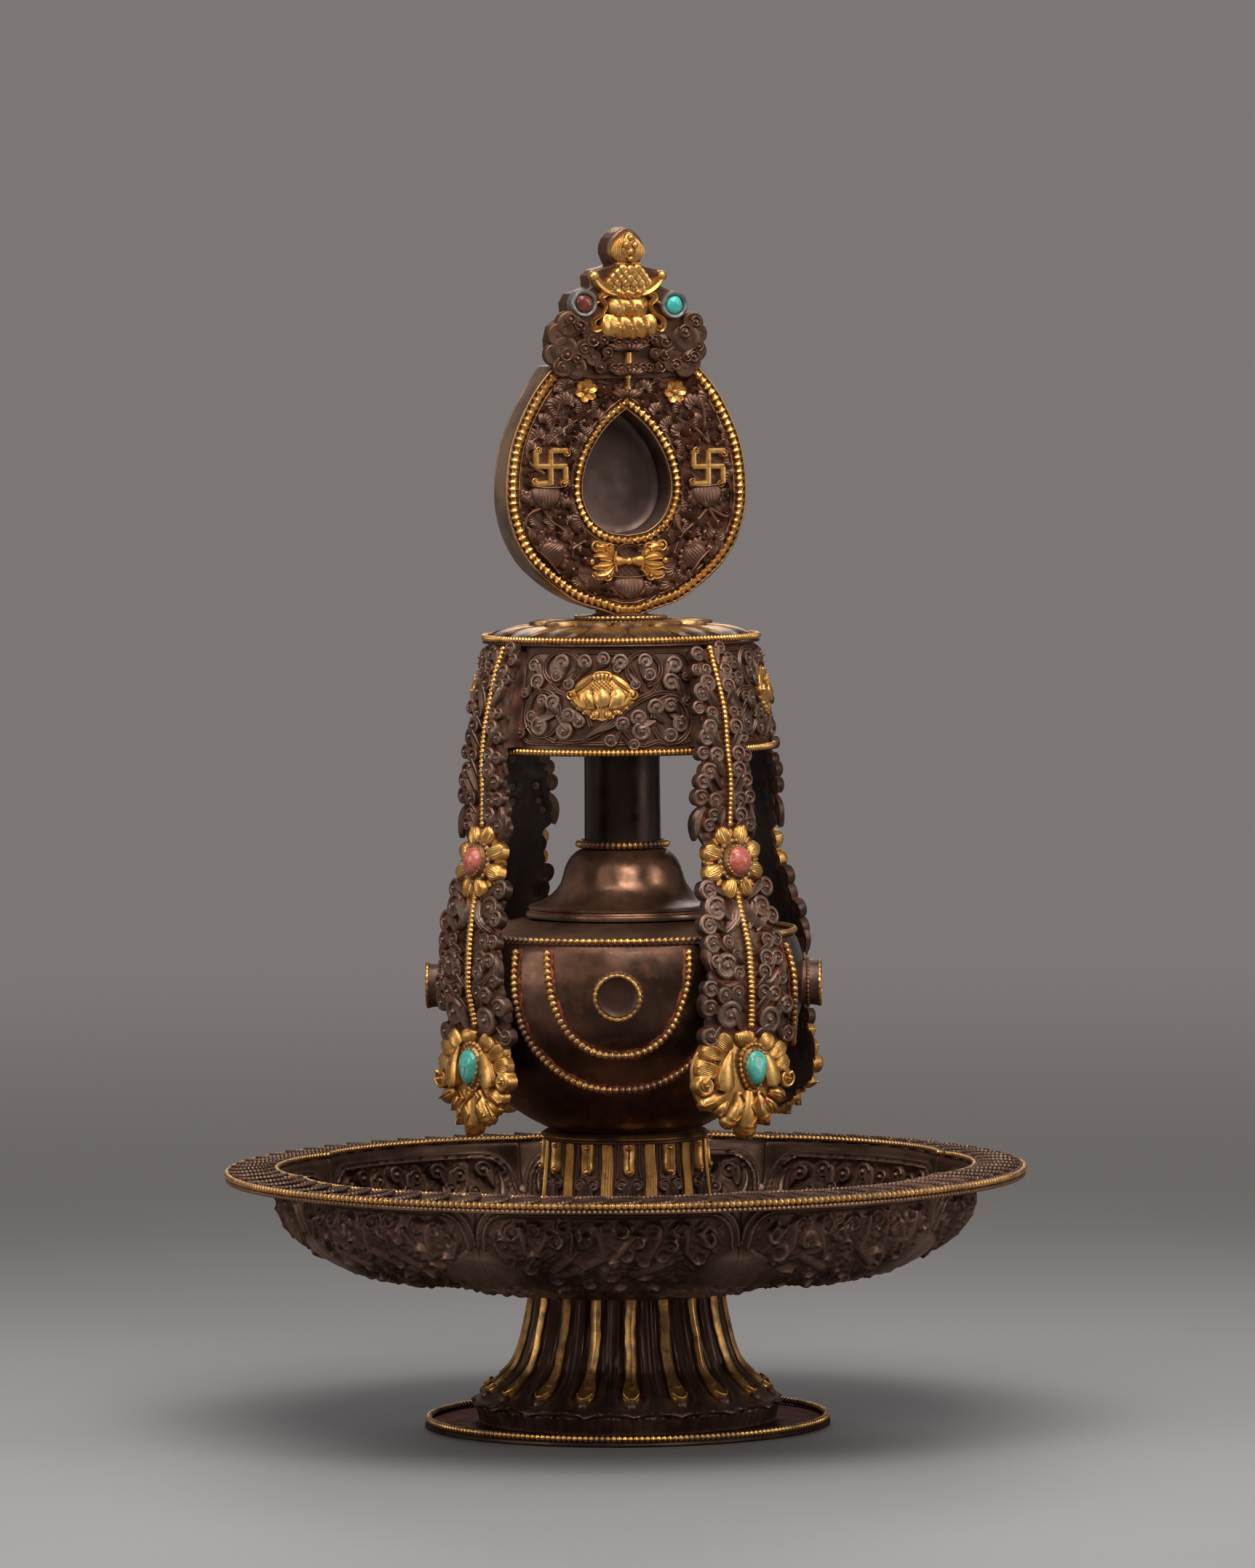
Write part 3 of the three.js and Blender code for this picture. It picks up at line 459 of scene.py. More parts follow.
def lathe(bag, prof, seg=144, closed=True, gold=0.0, h=0.6, tone=0.5, bump=None, phase=0.0):
    """Turns a profile of (r, z). bump(angle, r, z) adds to the radius."""
    prof = np.asarray(prof, float)
    a = (np.arange(seg) / seg) * 2 * PI + phase
    A, I = np.meshgrid(a, np.arange(len(prof)), indexing="ij")
    r = prof[I, 0]
    z = prof[I, 1]
    if bump is not None:
        r = r + bump(A, r, z)
    P = np.stack([r * np.sin(A), -r * np.cos(A), z], -1)
    hh = np.broadcast_to(h(A, r, z) if callable(h) else h, A.shape).reshape(-1)
    gg = np.broadcast_to(gold(A, r, z) if callable(gold) else gold, A.shape).reshape(-1)
    bag.put(P.reshape(-1, 3), faces_of(seg, len(prof), True, closed), gold=gg, h=hh, tone=tone)


def disc_lathe(bag, prof, seg=144, gold=0.0, h=0.6, tone=0.5, bump=None):
    """Turns an open profile that starts and ends on the axis."""
    prof = np.asarray(prof, float)
    inner = prof[1:-1]
    a = (np.arange(seg) / seg) * 2 * PI
    A, I = np.meshgrid(a, np.arange(len(inner)), indexing="ij")
    r, z = inner[I, 0], inner[I, 1]
    if bump is not None:
        r = r + bump(A, r, z)
    P = np.stack([r * np.sin(A), -r * np.cos(A), z], -1).reshape(-1, 3)
    m = len(inner)
    k = seg * m
    i = np.arange(seg)
    i2 = (i + 1) % seg
    tris = np.concatenate(
        [np.stack([np.full(seg, k), i * m, i2 * m], -1), np.stack([np.full(seg, k + 1), i2 * m + m - 1, i * m + m - 1], -1)]
    )
    P = np.concatenate([P, [[0, 0, prof[0, 1]], [0, 0, prof[-1, 1]]]])
    gg = np.broadcast_to(gold(A, r, z) if callable(gold) else gold, A.shape).reshape(-1)
    hh = np.broadcast_to(h(A, r, z) if callable(h) else h, A.shape).reshape(-1)
    g0 = gg[0] if len(gg) else 0
    bag.put(P, faces_of(seg, m, True, False), tris, gold=np.concatenate([gg, [g0, g0]]), h=np.concatenate([hh, [0.6, 0.6]]), tone=tone)


def wavy(seed, amp, k=(3, 5, 8, 13)):
    """A smooth unevenness of hand-raised metal: a function of angle and height."""
    ph = [hash01(seed, i) * 2 * PI for i in range(12)]

    def f(a, r, z):
        out = 0
        for i, n in enumerate(k):
            out = out + np.sin(n * a + ph[i] + 0.11 * (i + 1) * z) * math.cos(ph[i + 4]) / (i + 1)
            out = out + np.sin(n * a * 1.0 - 0.19 * (i + 1) * z + ph[i + 6]) / (i + 2)
        return amp * out

    return f


def grid_solid(bag, top, low, gold=0.0, h=0.5, tone=0.5):
    """The solid between two equal grids of points."""
    nu, nv = top.shape[:2]
    P = np.concatenate([top.reshape(-1, 3), low.reshape(-1, 3)])
    q1 = faces_of(nu, nv)
    k = nu * nv
    idx = np.arange(k).reshape(nu, nv)
    edge = np.concatenate([idx[:, 0], idx[-1, 1:], idx[-2::-1, -1], idx[0, -2:0:-1]])
    e2 = np.roll(edge, -1)
    side = np.stack([edge, edge + k, e2 + k, e2], -1)
    hh = np.broadcast_to(h, (nu, nv)).reshape(-1)
    bag.put(P, np.concatenate([q1, q1[:, ::-1] + k, side[:, ::-1]]), gold=gold, h=np.concatenate([hh, hh * 0]), tone=tone)


def closed_rings(bag, rings, gold=0.0, h=0.5, tone=0.5, cap=False):
    """Joins loops of equal length: round again to the first one, or with both ends filled."""
    n = len(rings[0])
    m = len(rings)
    P = np.concatenate(rings)
    quads = faces_of(m, n, not cap, True)
    if not cap:
        bag.put(P, quads, gold=gold, h=h, tone=tone)
        return
    P = np.concatenate([P, [rings[0].mean(0), rings[-1].mean(0)]])
    j = np.arange(n)
    tris = np.concatenate([np.stack([np.full(n, m * n), (j + 1) % n, j], -1), np.stack([np.full(n, m * n + 1), (m - 1) * n + j, (m - 1) * n + (j + 1) % n], -1)])
    bag.put(P, quads, tris, gold=gold, h=h, tone=tone)


def cab(bag, mp, c, rx, rz, h0, h1, seed=0, tear=0.0, n=44):
    """A polished stone with a slightly uneven dome."""
    q = np.arange(n) / n * 2 * PI
    rings = []
    for f, t in ((0.96, -0.2), (1.0, 0.0), (1.0, 0.18), (0.965, 0.42), (0.88, 0.64), (0.74, 0.81), (0.56, 0.92), (0.36, 0.98), (0.16, 1.0)):
        wob = 1 + 0.03 * np.sin(2 * q + seed) + 0.02 * np.sin(3 * q + 2 * seed) + 0.012 * np.sin(5 * q + seed * 3)
        x = c[0] + rx * f * wob * np.cos(q) * (1 + tear * np.sin(q))
        z = c[1] + rz * f * wob * np.sin(q)
        lump = 0.12 * np.sin(2.3 * (x - c[0]) / rx + seed) * np.sin(1.9 * (z - c[1]) / rz + 2 * seed) * t
        rings.append(mp(x, z, h0 + (h1 - h0) * (t + lump)))
    closed_rings(bag, rings, h=0.5, tone=0.5, cap=True)



# -------------------------------------------------------------------- materials
def nt_new(name):
    m = bpy.data.materials.new(name)
    m.use_nodes = True
    nt = m.node_tree
    for n in list(nt.nodes):
        nt.nodes.remove(n)
    out = nt.nodes.new("ShaderNodeOutputMaterial")
    bsdf = nt.nodes.new("ShaderNodeBsdfPrincipled")
    nt.links.new(bsdf.outputs[0], out.inputs[0])
    return m, nt, bsdf


class NT:
    """Small helpers for wiring nodes."""

    def __init__(self, nt):
        self.nt = nt
        self.tc = nt.nodes.new("ShaderNodeTexCoord")
        self.obj = self.tc.outputs["Object"]

    def link(self, a, b):
        self.nt.links.new(a, b)

    def _in(self, sock, val):
        if hasattr(val, "is_output"):
            self.link(val, sock)
        else:
            sock.default_value = val

    def noise(self, scale, detail=3.0, rough=0.5, vec=None, distort=0.0, w=None):
        n = self.nt.nodes.new("ShaderNodeTexNoise")
        self.link(vec or self.obj, n.inputs["Vector"])
        n.inputs["Scale"].default_value = scale
        n.inputs["Detail"].default_value = detail
        n.inputs["Roughness"].default_value = rough
        n.inputs["Distortion"].default_value = distort
        return n.outputs["Fac"]

    def voronoi(self, scale, feature="F1", vec=None, out="Distance"):
        n = self.nt.nodes.new("ShaderNodeTexVoronoi")
        n.feature = feature
        self.link(vec or self.obj, n.inputs["Vector"])
        n.inputs["Scale"].default_value = scale
        return n.outputs[out]

    def ramp(self, fac, a, b, lo=0.0, hi=1.0, smooth=True):
        n = self.nt.nodes.new("ShaderNodeMapRange")
        n.interpolation_type = "SMOOTHSTEP" if smooth else "LINEAR"
        self._in(n.inputs["Value"], fac)
        n.inputs["From Min"].default_value = a
        n.inputs["From Max"].default_value = b
        n.inputs["To Min"].default_value = lo
        n.inputs["To Max"].default_value = hi
        n.clamp = True
        return n.outputs["Result"]

    def math(self, op, a, b=0.0, clamp=False):
        n = self.nt.nodes.new("ShaderNodeMath")
        n.operation = op
        n.use_clamp = clamp
        self._in(n.inputs[0], a)
        self._in(n.inputs[1], b)
        return n.outputs[0]

    def mix(self, fac, a, b):
        n = self.nt.nodes.new("ShaderNodeMix")
        n.data_type = "RGBA"
        self._in(n.inputs[0], fac)
        for sock, val in ((n.inputs[6], a), (n.inputs[7], b)):
            if hasattr(val, "is_output"):
                self.link(val, sock)
            else:
                sock.default_value = (*val, 1.0)
        return n.outputs[2]

    def attr(self):
        n = self.nt.nodes.new("ShaderNodeAttribute")
        n.attribute_name = "relief"
        s = self.nt.nodes.new("ShaderNodeSeparateColor")
        self.link(n.outputs["Color"], s.inputs[0])
        return s.outputs[0], s.outputs[1], s.outputs[2]

    def ao(self, dist, samples=5):
        n = self.nt.nodes.new("ShaderNodeAmbientOcclusion")
        n.samples = samples
        n.only_local = False
        n.inputs["Distance"].default_value = dist
        return n.outputs["AO"]

    def stretch(self, x, y, z):
        n = self.nt.nodes.new("ShaderNodeMapping")
        self.link(self.obj, n.inputs["Vector"])
        n.inputs["Scale"].default_value = (x, y, z)
        return n.outputs[0]

    def bump(self, height, strength, dist, prev=None):
        n = self.nt.nodes.new("ShaderNodeBump")
        n.inputs["Strength"].default_value = strength
        n.inputs["Distance"].default_value = dist
        self.link(height, n.inputs["Height"])
        if prev is not None:
            self.link(prev, n.inputs["Normal"])
        return n.outputs[0]


GOLD = (0.585, 0.305, 0.078)
GOLD_PALE = (0.74, 0.445, 0.150)
GOLD_OLD = (0.36, 0.165, 0.045)
RED_COPPER = (0.36, 0.105, 0.045)


def metal(name, dark, mid, top, seam, seam_amount=0.6, rough=0.36, rough_var=0.18, ao_dist=2.2, gold_wear=0.35, fine=1.0, hammered=0.0, brushed=0.0, gold_rough=0.34, metallic=0.72, edge=(1.0, 1.0, 1.0)):
    """Patinated copper with optional gilding where the relief value says so; raised tops go to a lighter colour, partly
    rubbed polish and partly a painted highlight, and the gilding darkens in its hollows, partly grime and partly
    painted shade.
    """
    m, nt, bsdf = nt_new(name)
    bsdf.inputs["Specular Tint"].default_value = (*edge, 1.0)
    k = NT(nt)
    gold, h, tone = k.attr()
    big = k.noise(38, 4.0, 0.6)
    medium = k.noise(210, 4.0, 0.6)
    small = k.noise(1300, 3.0, 0.6)
    grain = k.noise(5200, 2.0, 0.5)
    ao = k.ao(ao_dist * MM)
    crev = k.ramp(ao, 0.78, 0.28)
    # copper
    c = k.mix(k.ramp(big, 0.38, 0.66), dark, mid)
    c = k.mix(k.ramp(medium, 0.54, 0.76, 0.0, 0.42), c, seam)
    # raised relief tops turn to the lighter top colour: partly rubbed polish, partly a painted highlight
    polish_and_highlight = k.math("MULTIPLY", k.ramp(h, 0.55, 1.0), k.ramp(small, 0.3, 0.75, 0.45, 1.0))
    c = k.mix(polish_and_highlight, c, top)
    c = k.mix(k.math("MULTIPLY", k.ramp(tone, 0.0, 1.0, 0.0, 0.35), 1.0), c, dark)
    red = k.mix(k.ramp(medium, 0.35, 0.65), tuple(x * 0.45 for x in seam), seam)
    c = k.mix(k.math("MULTIPLY", crev, seam_amount), c, red)
    # gilding
    g = k.mix(k.ramp(medium, 0.35, 0.68), GOLD, GOLD_PALE)
    g = k.mix(k.ramp(small, 0.5, 0.8, 0.0, 0.45), g, GOLD_OLD)
    wear = k.math("MULTIPLY", k.ramp(k.noise(320, 5.0, 0.65), 0.56, 0.66), gold_wear, True)
    g = k.mix(wear, g, RED_COPPER)
    # the gilding's hollows, found by AO, turn dark brown: painted shade, with grime that also makes them rougher and
    # less metallic
    grime_and_painted_shade = k.math("MULTIPLY", k.ramp(ao, 0.72, 0.22), 0.85)
    g = k.mix(grime_and_painted_shade, g, (0.16, 0.055, 0.02))
    col = k.mix(gold, c, g)
    k.link(col, bsdf.inputs["Base Color"])
    # metalness: pigment in the hollows is not metallic
    cm = k.math("SUBTRACT", metallic, k.math("MULTIPLY", crev, 0.6 * seam_amount))
    gm = k.math("SUBTRACT", 1.0, k.math("MULTIPLY", grime_and_painted_shade, 0.45))
    mm_ = k.nt.nodes.new("ShaderNodeMix")
    mm_.data_type = "FLOAT"
    k.link(gold, mm_.inputs[0])
    k.link(cm, mm_.inputs[2])
    k.link(gm, mm_.inputs[3])
    k.link(mm_.outputs[0], bsdf.inputs["Metallic"])
    # roughness
    r1 = k.math("ADD", k.ramp(medium, 0.25, 0.8, rough - rough_var * 0.5, rough + rough_var), k.math("MULTIPLY", crev, 0.28))
    r2 = k.math("ADD", k.ramp(small, 0.25, 0.8, gold_rough - 0.06, gold_rough + 0.14), k.math("MULTIPLY", grime_and_painted_shade, 0.3))
    rr = k.nt.nodes.new("ShaderNodeMix")
    rr.data_type = "FLOAT"
    k.link(gold, rr.inputs[0])
    k.link(r1, rr.inputs[2])
    k.link(r2, rr.inputs[3])
    k.link(rr.outputs[0], bsdf.inputs["Roughness"])
    # surface
    n = None
    if hammered:
        v = k.voronoi(150, "SMOOTH_F1")
        n = k.bump(v, hammered, 0.0012, n)
    if brushed:
        s = k.noise(900, 3.0, 0.7, vec=k.stretch(1.0, 1.0, 0.06))
        n = k.bump(s, brushed, 0.0001, n)
    n = k.bump(small, 0.16 * fine, 0.00014, n)
    n = k.bump(grain, 0.14 * fine, 0.00004, n)
    k.link(n, bsdf.inputs["Normal"])
    return m


def stone(name, base, light, dark, vein, scale=300, rough=0.22, vein_w=0.03):
    m, nt, bsdf = nt_new(name)
    k = NT(nt)
    a = k.noise(scale, 5.0, 0.6, distort=0.6)
    b = k.noise(scale * 3.2, 3.0, 0.5)
    c = k.mix(k.ramp(a, 0.35, 0.68), base, light)
    c = k.mix(k.ramp(b, 0.56, 0.8, 0, 0.6), c, dark)
    v = k.voronoi(scale * 0.55, "DISTANCE_TO_EDGE")
    vm = k.math("MULTIPLY", k.ramp(v, vein_w, 0.0), k.ramp(k.noise(scale * 0.8, 2.0), 0.46, 0.62))
    c = k.mix(vm, c, vein)
    k.link(c, bsdf.inputs["Base Color"])
    k.link(k.ramp(b, 0.3, 0.8, rough - 0.05, rough + 0.2), bsdf.inputs["Roughness"])
    bsdf.inputs["Metallic"].default_value = 0.0
    bsdf.inputs["Coat Weight"].default_value = 0.25
    bsdf.inputs["Coat Roughness"].default_value = 0.12
    n = k.bump(a, 0.25, 0.0002)
    n = k.bump(vm, -0.4, 0.0001, n)
    k.link(n, bsdf.inputs["Normal"])
    return m


M_CHASED = metal("chased_copper", (0.052, 0.029, 0.020), (0.110, 0.064, 0.045), (0.245, 0.160, 0.122), (0.25, 0.075, 0.034), seam_amount=0.7, rough=0.40, ao_dist=1.8, edge=(0.74, 0.64, 0.56))
M_PLAIN = metal("raised_copper", (0.042, 0.023, 0.015), (0.105, 0.050, 0.030), (0.15, 0.082, 0.052), (0.19, 0.062, 0.03), seam_amount=0.5, rough=0.27, rough_var=0.16, ao_dist=3.0, fine=0.5, brushed=0.25)
M_PLAQUE = metal("plaque_copper", (0.105, 0.055, 0.036), (0.235, 0.127, 0.084), (0.44, 0.265, 0.18), (0.20, 0.06, 0.03), seam_amount=0.7, rough=0.36, ao_dist=2.0, metallic=0.82, edge=(0.8, 0.7, 0.62))
M_DISH = metal("dish_copper", (0.064, 0.035, 0.024), (0.172, 0.099, 0.070), (0.44, 0.275, 0.195), (0.17, 0.065, 0.038), seam_amount=0.55, rough=0.42, ao_dist=3.0, metallic=0.84, edge=(0.8, 0.7, 0.62))
M_BASE = metal("base_copper", (0.040, 0.026, 0.020), (0.105, 0.066, 0.050), (0.20, 0.13, 0.096), (0.10, 0.045, 0.028), seam_amount=0.4, rough=0.40, ao_dist=3.0, metallic=0.9, edge=(0.40, 0.33, 0.28))
M_GILT = metal("gilding", (0.075, 0.04, 0.028), (0.15, 0.075, 0.045), (0.26, 0.16, 0.12), (0.26, 0.085, 0.04), ao_dist=2.0, gold_wear=0.72, gold_rough=0.37, hammered=0.07)
M_WIRE = metal("beaded_gilding", (0.075, 0.04, 0.028), (0.17, 0.08, 0.045), (0.30, 0.16, 0.10), (0.26, 0.085, 0.04), ao_dist=1.1, gold_wear=0.5, gold_rough=0.3)
M_IRON = metal("dark_iron", (0.05, 0.045, 0.042), (0.09, 0.08, 0.075), (0.16, 0.15, 0.14), (0.12, 0.05, 0.03), rough=0.45)
M_CORAL = stone("coral_stone", (0.39, 0.070, 0.042), (0.49, 0.135, 0.092), (0.22, 0.036, 0.022), (0.52, 0.23, 0.165), 420)
M_TURQ = stone("turquoise_stone", (0.05, 0.33, 0.25), (0.11, 0.44, 0.35), (0.03, 0.20, 0.15), (0.10, 0.075, 0.03), 330)
M_TURQ_BRIGHT = stone("bright_turquoise_stone", (0.03, 0.42, 0.38), (0.07, 0.52, 0.47), (0.02, 0.27, 0.25), (0.10, 0.075, 0.03), 330)
M_GARNET = stone("dark_red_stone", (0.12, 0.022, 0.014), (0.22, 0.05, 0.03), (0.05, 0.01, 0.008), (0.03, 0.01, 0.01), 300)


M_BULB = metal("bulb_copper", (0.055, 0.029, 0.018), (0.16, 0.078, 0.048), (0.20, 0.11, 0.075), (0.26, 0.075, 0.036), seam_amount=0.45, rough=0.32, rough_var=0.14, ao_dist=3.5, fine=0.4, brushed=0.12, hammered=0.10, metallic=0.86)
M_CAP = metal("cap_copper", (0.125, 0.060, 0.034), (0.345, 0.172, 0.102), (0.41, 0.25, 0.175), (0.26, 0.10, 0.05), seam_amount=0.45, rough=0.31, rough_var=0.14, ao_dist=3.0, fine=0.5, brushed=0.15, hammered=0.24, metallic=0.8)
M_NECK = metal("neck_copper", (0.035, 0.02, 0.014), (0.075, 0.045, 0.033), (0.10, 0.07, 0.055), (0.16, 0.06, 0.03), seam_amount=0.3, rough=0.34, ao_dist=3.0, fine=0.6)
M_SWAG = metal("swag_beads", (0.07, 0.035, 0.024), (0.19, 0.09, 0.05), (0.34, 0.18, 0.11), (0.32, 0.09, 0.04), seam_amount=0.8, rough=0.3, ao_dist=1.3, gold_wear=0.95)


def pigment():
    m, nt, bsdf = nt_new("vermilion_pigment")
    k = NT(nt)
    a = k.noise(420, 5.0, 0.65)
    b = k.noise(1700, 3.0, 0.6)
    c = k.mix(k.ramp(a, 0.4, 0.62), (0.11, 0.028, 0.014), (0.33, 0.065, 0.028))
    c = k.mix(k.ramp(b, 0.5, 0.72, 0, 0.7), c, (0.07, 0.03, 0.02))
    k.link(c, bsdf.inputs["Base Color"])
    k.link(k.ramp(a, 0.42, 0.62, 0.5, 0.05), bsdf.inputs["Metallic"])
    k.link(k.ramp(b, 0.3, 0.7, 0.5, 0.85), bsdf.inputs["Roughness"])
    k.link(k.bump(b, 0.5, 0.0003), bsdf.inputs["Normal"])
    return m


M_PIGMENT = pigment()


def resin():
    m, nt, bsdf = nt_new("setting_resin")
    k = NT(nt)
    a = k.noise(500, 5.0, 0.65)
    c = k.mix(k.ramp(a, 0.38, 0.66), (0.014, 0.009, 0.007), (0.05, 0.026, 0.018))
    k.link(c, bsdf.inputs["Base Color"])
    k.link(k.ramp(a, 0.3, 0.7, 0.35, 0.8), bsdf.inputs["Roughness"])
    k.link(k.bump(a, 0.8, 0.0008), bsdf.inputs["Normal"])
    return m


M_RESIN = resin()
M_STREAMER = metal("streamer_copper", (0.052, 0.030, 0.021), (0.112, 0.066, 0.047), (0.25, 0.165, 0.125), (0.33, 0.088, 0.038), seam_amount=0.85, rough=0.34, ao_dist=1.8, edge=(0.8, 0.7, 0.62))
M_CASE = metal("case_copper", (0.145, 0.088, 0.054), (0.365, 0.225, 0.132), (0.47, 0.31, 0.185), (0.27, 0.11, 0.055), seam_amount=0.5, rough=0.34, rough_var=0.16, ao_dist=3.0, fine=0.6, brushed=0.3)
M_BEZEL = metal("grey_setting", (0.10, 0.095, 0.085), (0.17, 0.16, 0.145), (0.26, 0.25, 0.23), (0.16, 0.09, 0.05), seam_amount=0.5, rough=0.42, ao_dist=1.5)
M_PED = metal("pedestal_gilding", (0.060, 0.033, 0.024), (0.105, 0.060, 0.044), (0.20, 0.125, 0.094), (0.26, 0.085, 0.042), seam_amount=0.7, rough=0.36, ao_dist=1.6, gold_wear=0.9)
# the window lining's copper, darker than the case's as painted shade in the recess
M_WINDOW_SHADE = metal("window_copper_painted_shade", (0.075, 0.048, 0.039), (0.175, 0.110, 0.088), (0.19, 0.125, 0.10), (0.10, 0.05, 0.032), seam_amount=0.3, rough=0.42, rough_var=0.1, ao_dist=3.0, fine=0.6, brushed=0.15, hammered=0.05)
M_SHOULDER = metal("shoulder_copper", (0.085, 0.043, 0.028), (0.17, 0.092, 0.062), (0.22, 0.13, 0.09), (0.24, 0.08, 0.04), seam_amount=0.5, rough=0.52, rough_var=0.10, ao_dist=3.0, fine=0.5, brushed=0.15, metallic=0.8, edge=(0.5, 0.40, 0.33))
# darker copper for the straps' backs: painted shade
M_SHADED_BACK = metal("strap_back_painted_shade", (0.030, 0.020, 0.016), (0.075, 0.050, 0.039), (0.12, 0.082, 0.064), (0.06, 0.028, 0.018), seam_amount=0.4, rough=0.5, ao_dist=3.0)
M_PAD = metal("soldered_copper", (0.075, 0.038, 0.026), (0.155, 0.078, 0.050), (0.22, 0.12, 0.08), (0.33, 0.09, 0.038), seam_amount=0.8, rough=0.42, ao_dist=2.5)


# ------------------------------------------------------------------ camera first
def camera():
    cam = bpy.data.cameras.new("camera")
    o = bpy.data.objects.new("camera", cam)
    bpy.context.scene.collection.objects.link(o)
    cam.sensor_fit = "AUTO"
    cam.sensor_width = 36.0
    cam.lens = 13450.0 / 2156.0 * 36.0
    cam.clip_start = 0.1
    cam.clip_end = 60.0
    roll = -0.5 * RAD
    o.matrix_world = (
        Matrix.Translation(Vector((0.0017, -3.138, 0.3709)))
        @ Matrix.Rotation((90 - 3.0) * RAD, 4, "X")
        @ Matrix.Rotation(roll, 4, "Z")
    )
    bpy.context.scene.camera = o


camera()

class Turned:
    """Flat coordinates on a turned surface: s round it (mm), t up its profile (mm), h off it.
    With ref given, s counts at that radius everywhere, so that upright lines stay upright."""

    def __init__(self, prof, turn=0.0, side=1, ref=None, radial=None):
        P = np.asarray(prof, float)
        d = np.diff(P, axis=0)
        L = np.concatenate([[0], np.cumsum(np.hypot(d[:, 0], d[:, 1]))])
        self.L = np.linspace(0, L[-1], 400)
        self.r = np.interp(self.L, L, P[:, 0])
        self.z = np.interp(self.L, L, P[:, 1])
        dr, dz = np.gradient(self.r), np.gradient(self.z)
        g = np.exp(-0.5 * (np.arange(-8, 9) / 3.5) ** 2)
        g /= g.sum()
        dr = np.convolve(np.pad(dr, 8, mode="edge"), g, "valid")
        dz = np.convolve(np.pad(dz, 8, mode="edge"), g, "valid")
        n = np.hypot(dr, dz)
        self.nr, self.nz = side * dz / n, -side * dr / n
        self.turn, self.ref, self.radial = turn, ref, radial

    def t(self, z):
        return np.interp(z, self.z, self.L)

    def at(self, s, t, h):
        s, t, h = np.broadcast_arrays(s, t, h)
        r, z = np.interp(t, self.L, self.r), np.interp(t, self.L, self.z)
        nr, nz = np.interp(t, self.L, self.nr), np.interp(t, self.L, self.nz)
        a = self.turn * RAD + s / (self.ref or r)
        if self.radial is not None:
            r = r + self.radial(a, r, z)
        R = r + h * nr
        return np.stack([R * np.sin(a), -R * np.cos(a), z + h * nz], -1)

    def __call__(self, s, z, h):
        return self.at(s, self.t(z), h)

    def facing(self, turn):
        m = Turned.__new__(Turned)
        m.__dict__ = dict(self.__dict__)
        m.turn = turn
        return m


def closed_shell(bag, outer, inner, A, full, gold=0.0, h=0.6, tone=0.5):
    """A sheet between two grids of points (nA, n, 3), full turn or a sector with capped sides."""
    nA, n = outer.shape[:2]
    loop = np.concatenate([outer, inner[:, ::-1]], 1)
    quads = faces_of(nA, 2 * n, full, True)
    if not full:
        i = np.arange(n - 1)
        cap0 = np.stack([i, i + 1, 2 * n - 2 - i, 2 * n - 1 - i], -1)
        k = (nA - 1) * 2 * n
        quads = np.concatenate([quads, cap0[:, ::-1], cap0 + k])
    bag.put(loop.reshape(-1, 3), quads, gold=gold, h=h, tone=tone)


def lumps(S, T, rings, strands, H=1.0):
    """Heights of rounded rings [(s, t, R, height)] with a pit in the middle and of strands between them."""
    out = np.zeros_like(S)
    for s, t, R, h in rings:
        d = np.hypot(S - s, T - t) / R
        way = np.cos(np.arctan2(T - t, S - s) - 2 * PI * hash01(round(s, 3), round(t, 3)))
        up = np.exp(-(((d - 0.68) / 0.40) ** 2)) * h * (0.74 + 0.36 * way) - 1.25 * h * np.exp(-((d / 0.42) ** 2))
        m = 1 / (1 + np.exp(np.clip((d - 1.15) / 0.08, -40, 40)))
        out = out * (1 - m) + up * m
    for (s0, t0), (s1, t1), w, h in strands:
        v = np.array([s1 - s0, t1 - t0])
        L2 = float(v @ v) + 1e-9
        u = np.clip(((S - s0) * v[0] + (T - t0) * v[1]) / L2, 0, 1)
        d = np.hypot(S - s0 - u * v[0], T - t0 - u * v[1]) / (w * 0.5)
        out = np.maximum(out, h * np.clip(1 - d**2, 0, 1) ** 0.7)
    return out


# ------------------------------------------------------------------- base plate
b = Bag()
BASE_R = 65.3
u = np.linspace(0, 1, 26)
top = [(r, 1.45 + 0.1 * math.sin(r * 0.5)) for r in np.linspace(0, 60, 24)]
edge = [(61.5, 1.5), (63.0, 1.55), (64.6, 1.5), (65.1, 1.2), (65.3, 0.75), (65.1, 0.3), (64.7, 0.06)]
low = [(r, 0.0) for r in (63, 50, 36, 20, 0)]
rnd = wavy(4, 0.16, (2, 3, 5, 9))
disc_lathe(b, top + edge + low, 240, h=0.45, tone=0.8, bump=lambda a, r, z: rnd(a, r, z) * np.clip((r - 45) / 20, 0, 1) * (r < 65.2))
build("base_disc", b, M_BASE, "stand", ["base_plate"])

b = Bag()
ring_beads(b, 64.1, 2.6, 1.78, 1.1, 1.12, wobble=0.12, gold=lambda s_: np.clip(0.72 + 0.3 * np.sin(2 * PI * 11 * s_) + 0.25 * np.sin(2 * PI * 29 * s_ + 2), 0.1, 1), seed=2.0)
build("base_beaded_wire", b, M_WIRE, "stand", ["base_bead_ring"])

# ------------------------------------------------------------------------- foot
FOOT = [(47.6, 1.75), (48.0, 4.6), (48.2, 7.0), (49.4, 7.6), (49.9, 8.1), (49.2, 8.8), (48, 9.5), (46.3, 10.7), (44.3, 12.2), (42.2, 13.8), (40.4, 15.4), (38.6, 16.9), (37.1, 18.6), (35.8, 20.6), (34.9, 22.7), (33.4, 27), (32.3, 31.6), (31.3, 36), (30.6, 40), (30.3, 43.95)]
fr = smooth_table([(z, r) for r, z in FOOT[6:]], 0.1, 0.8)


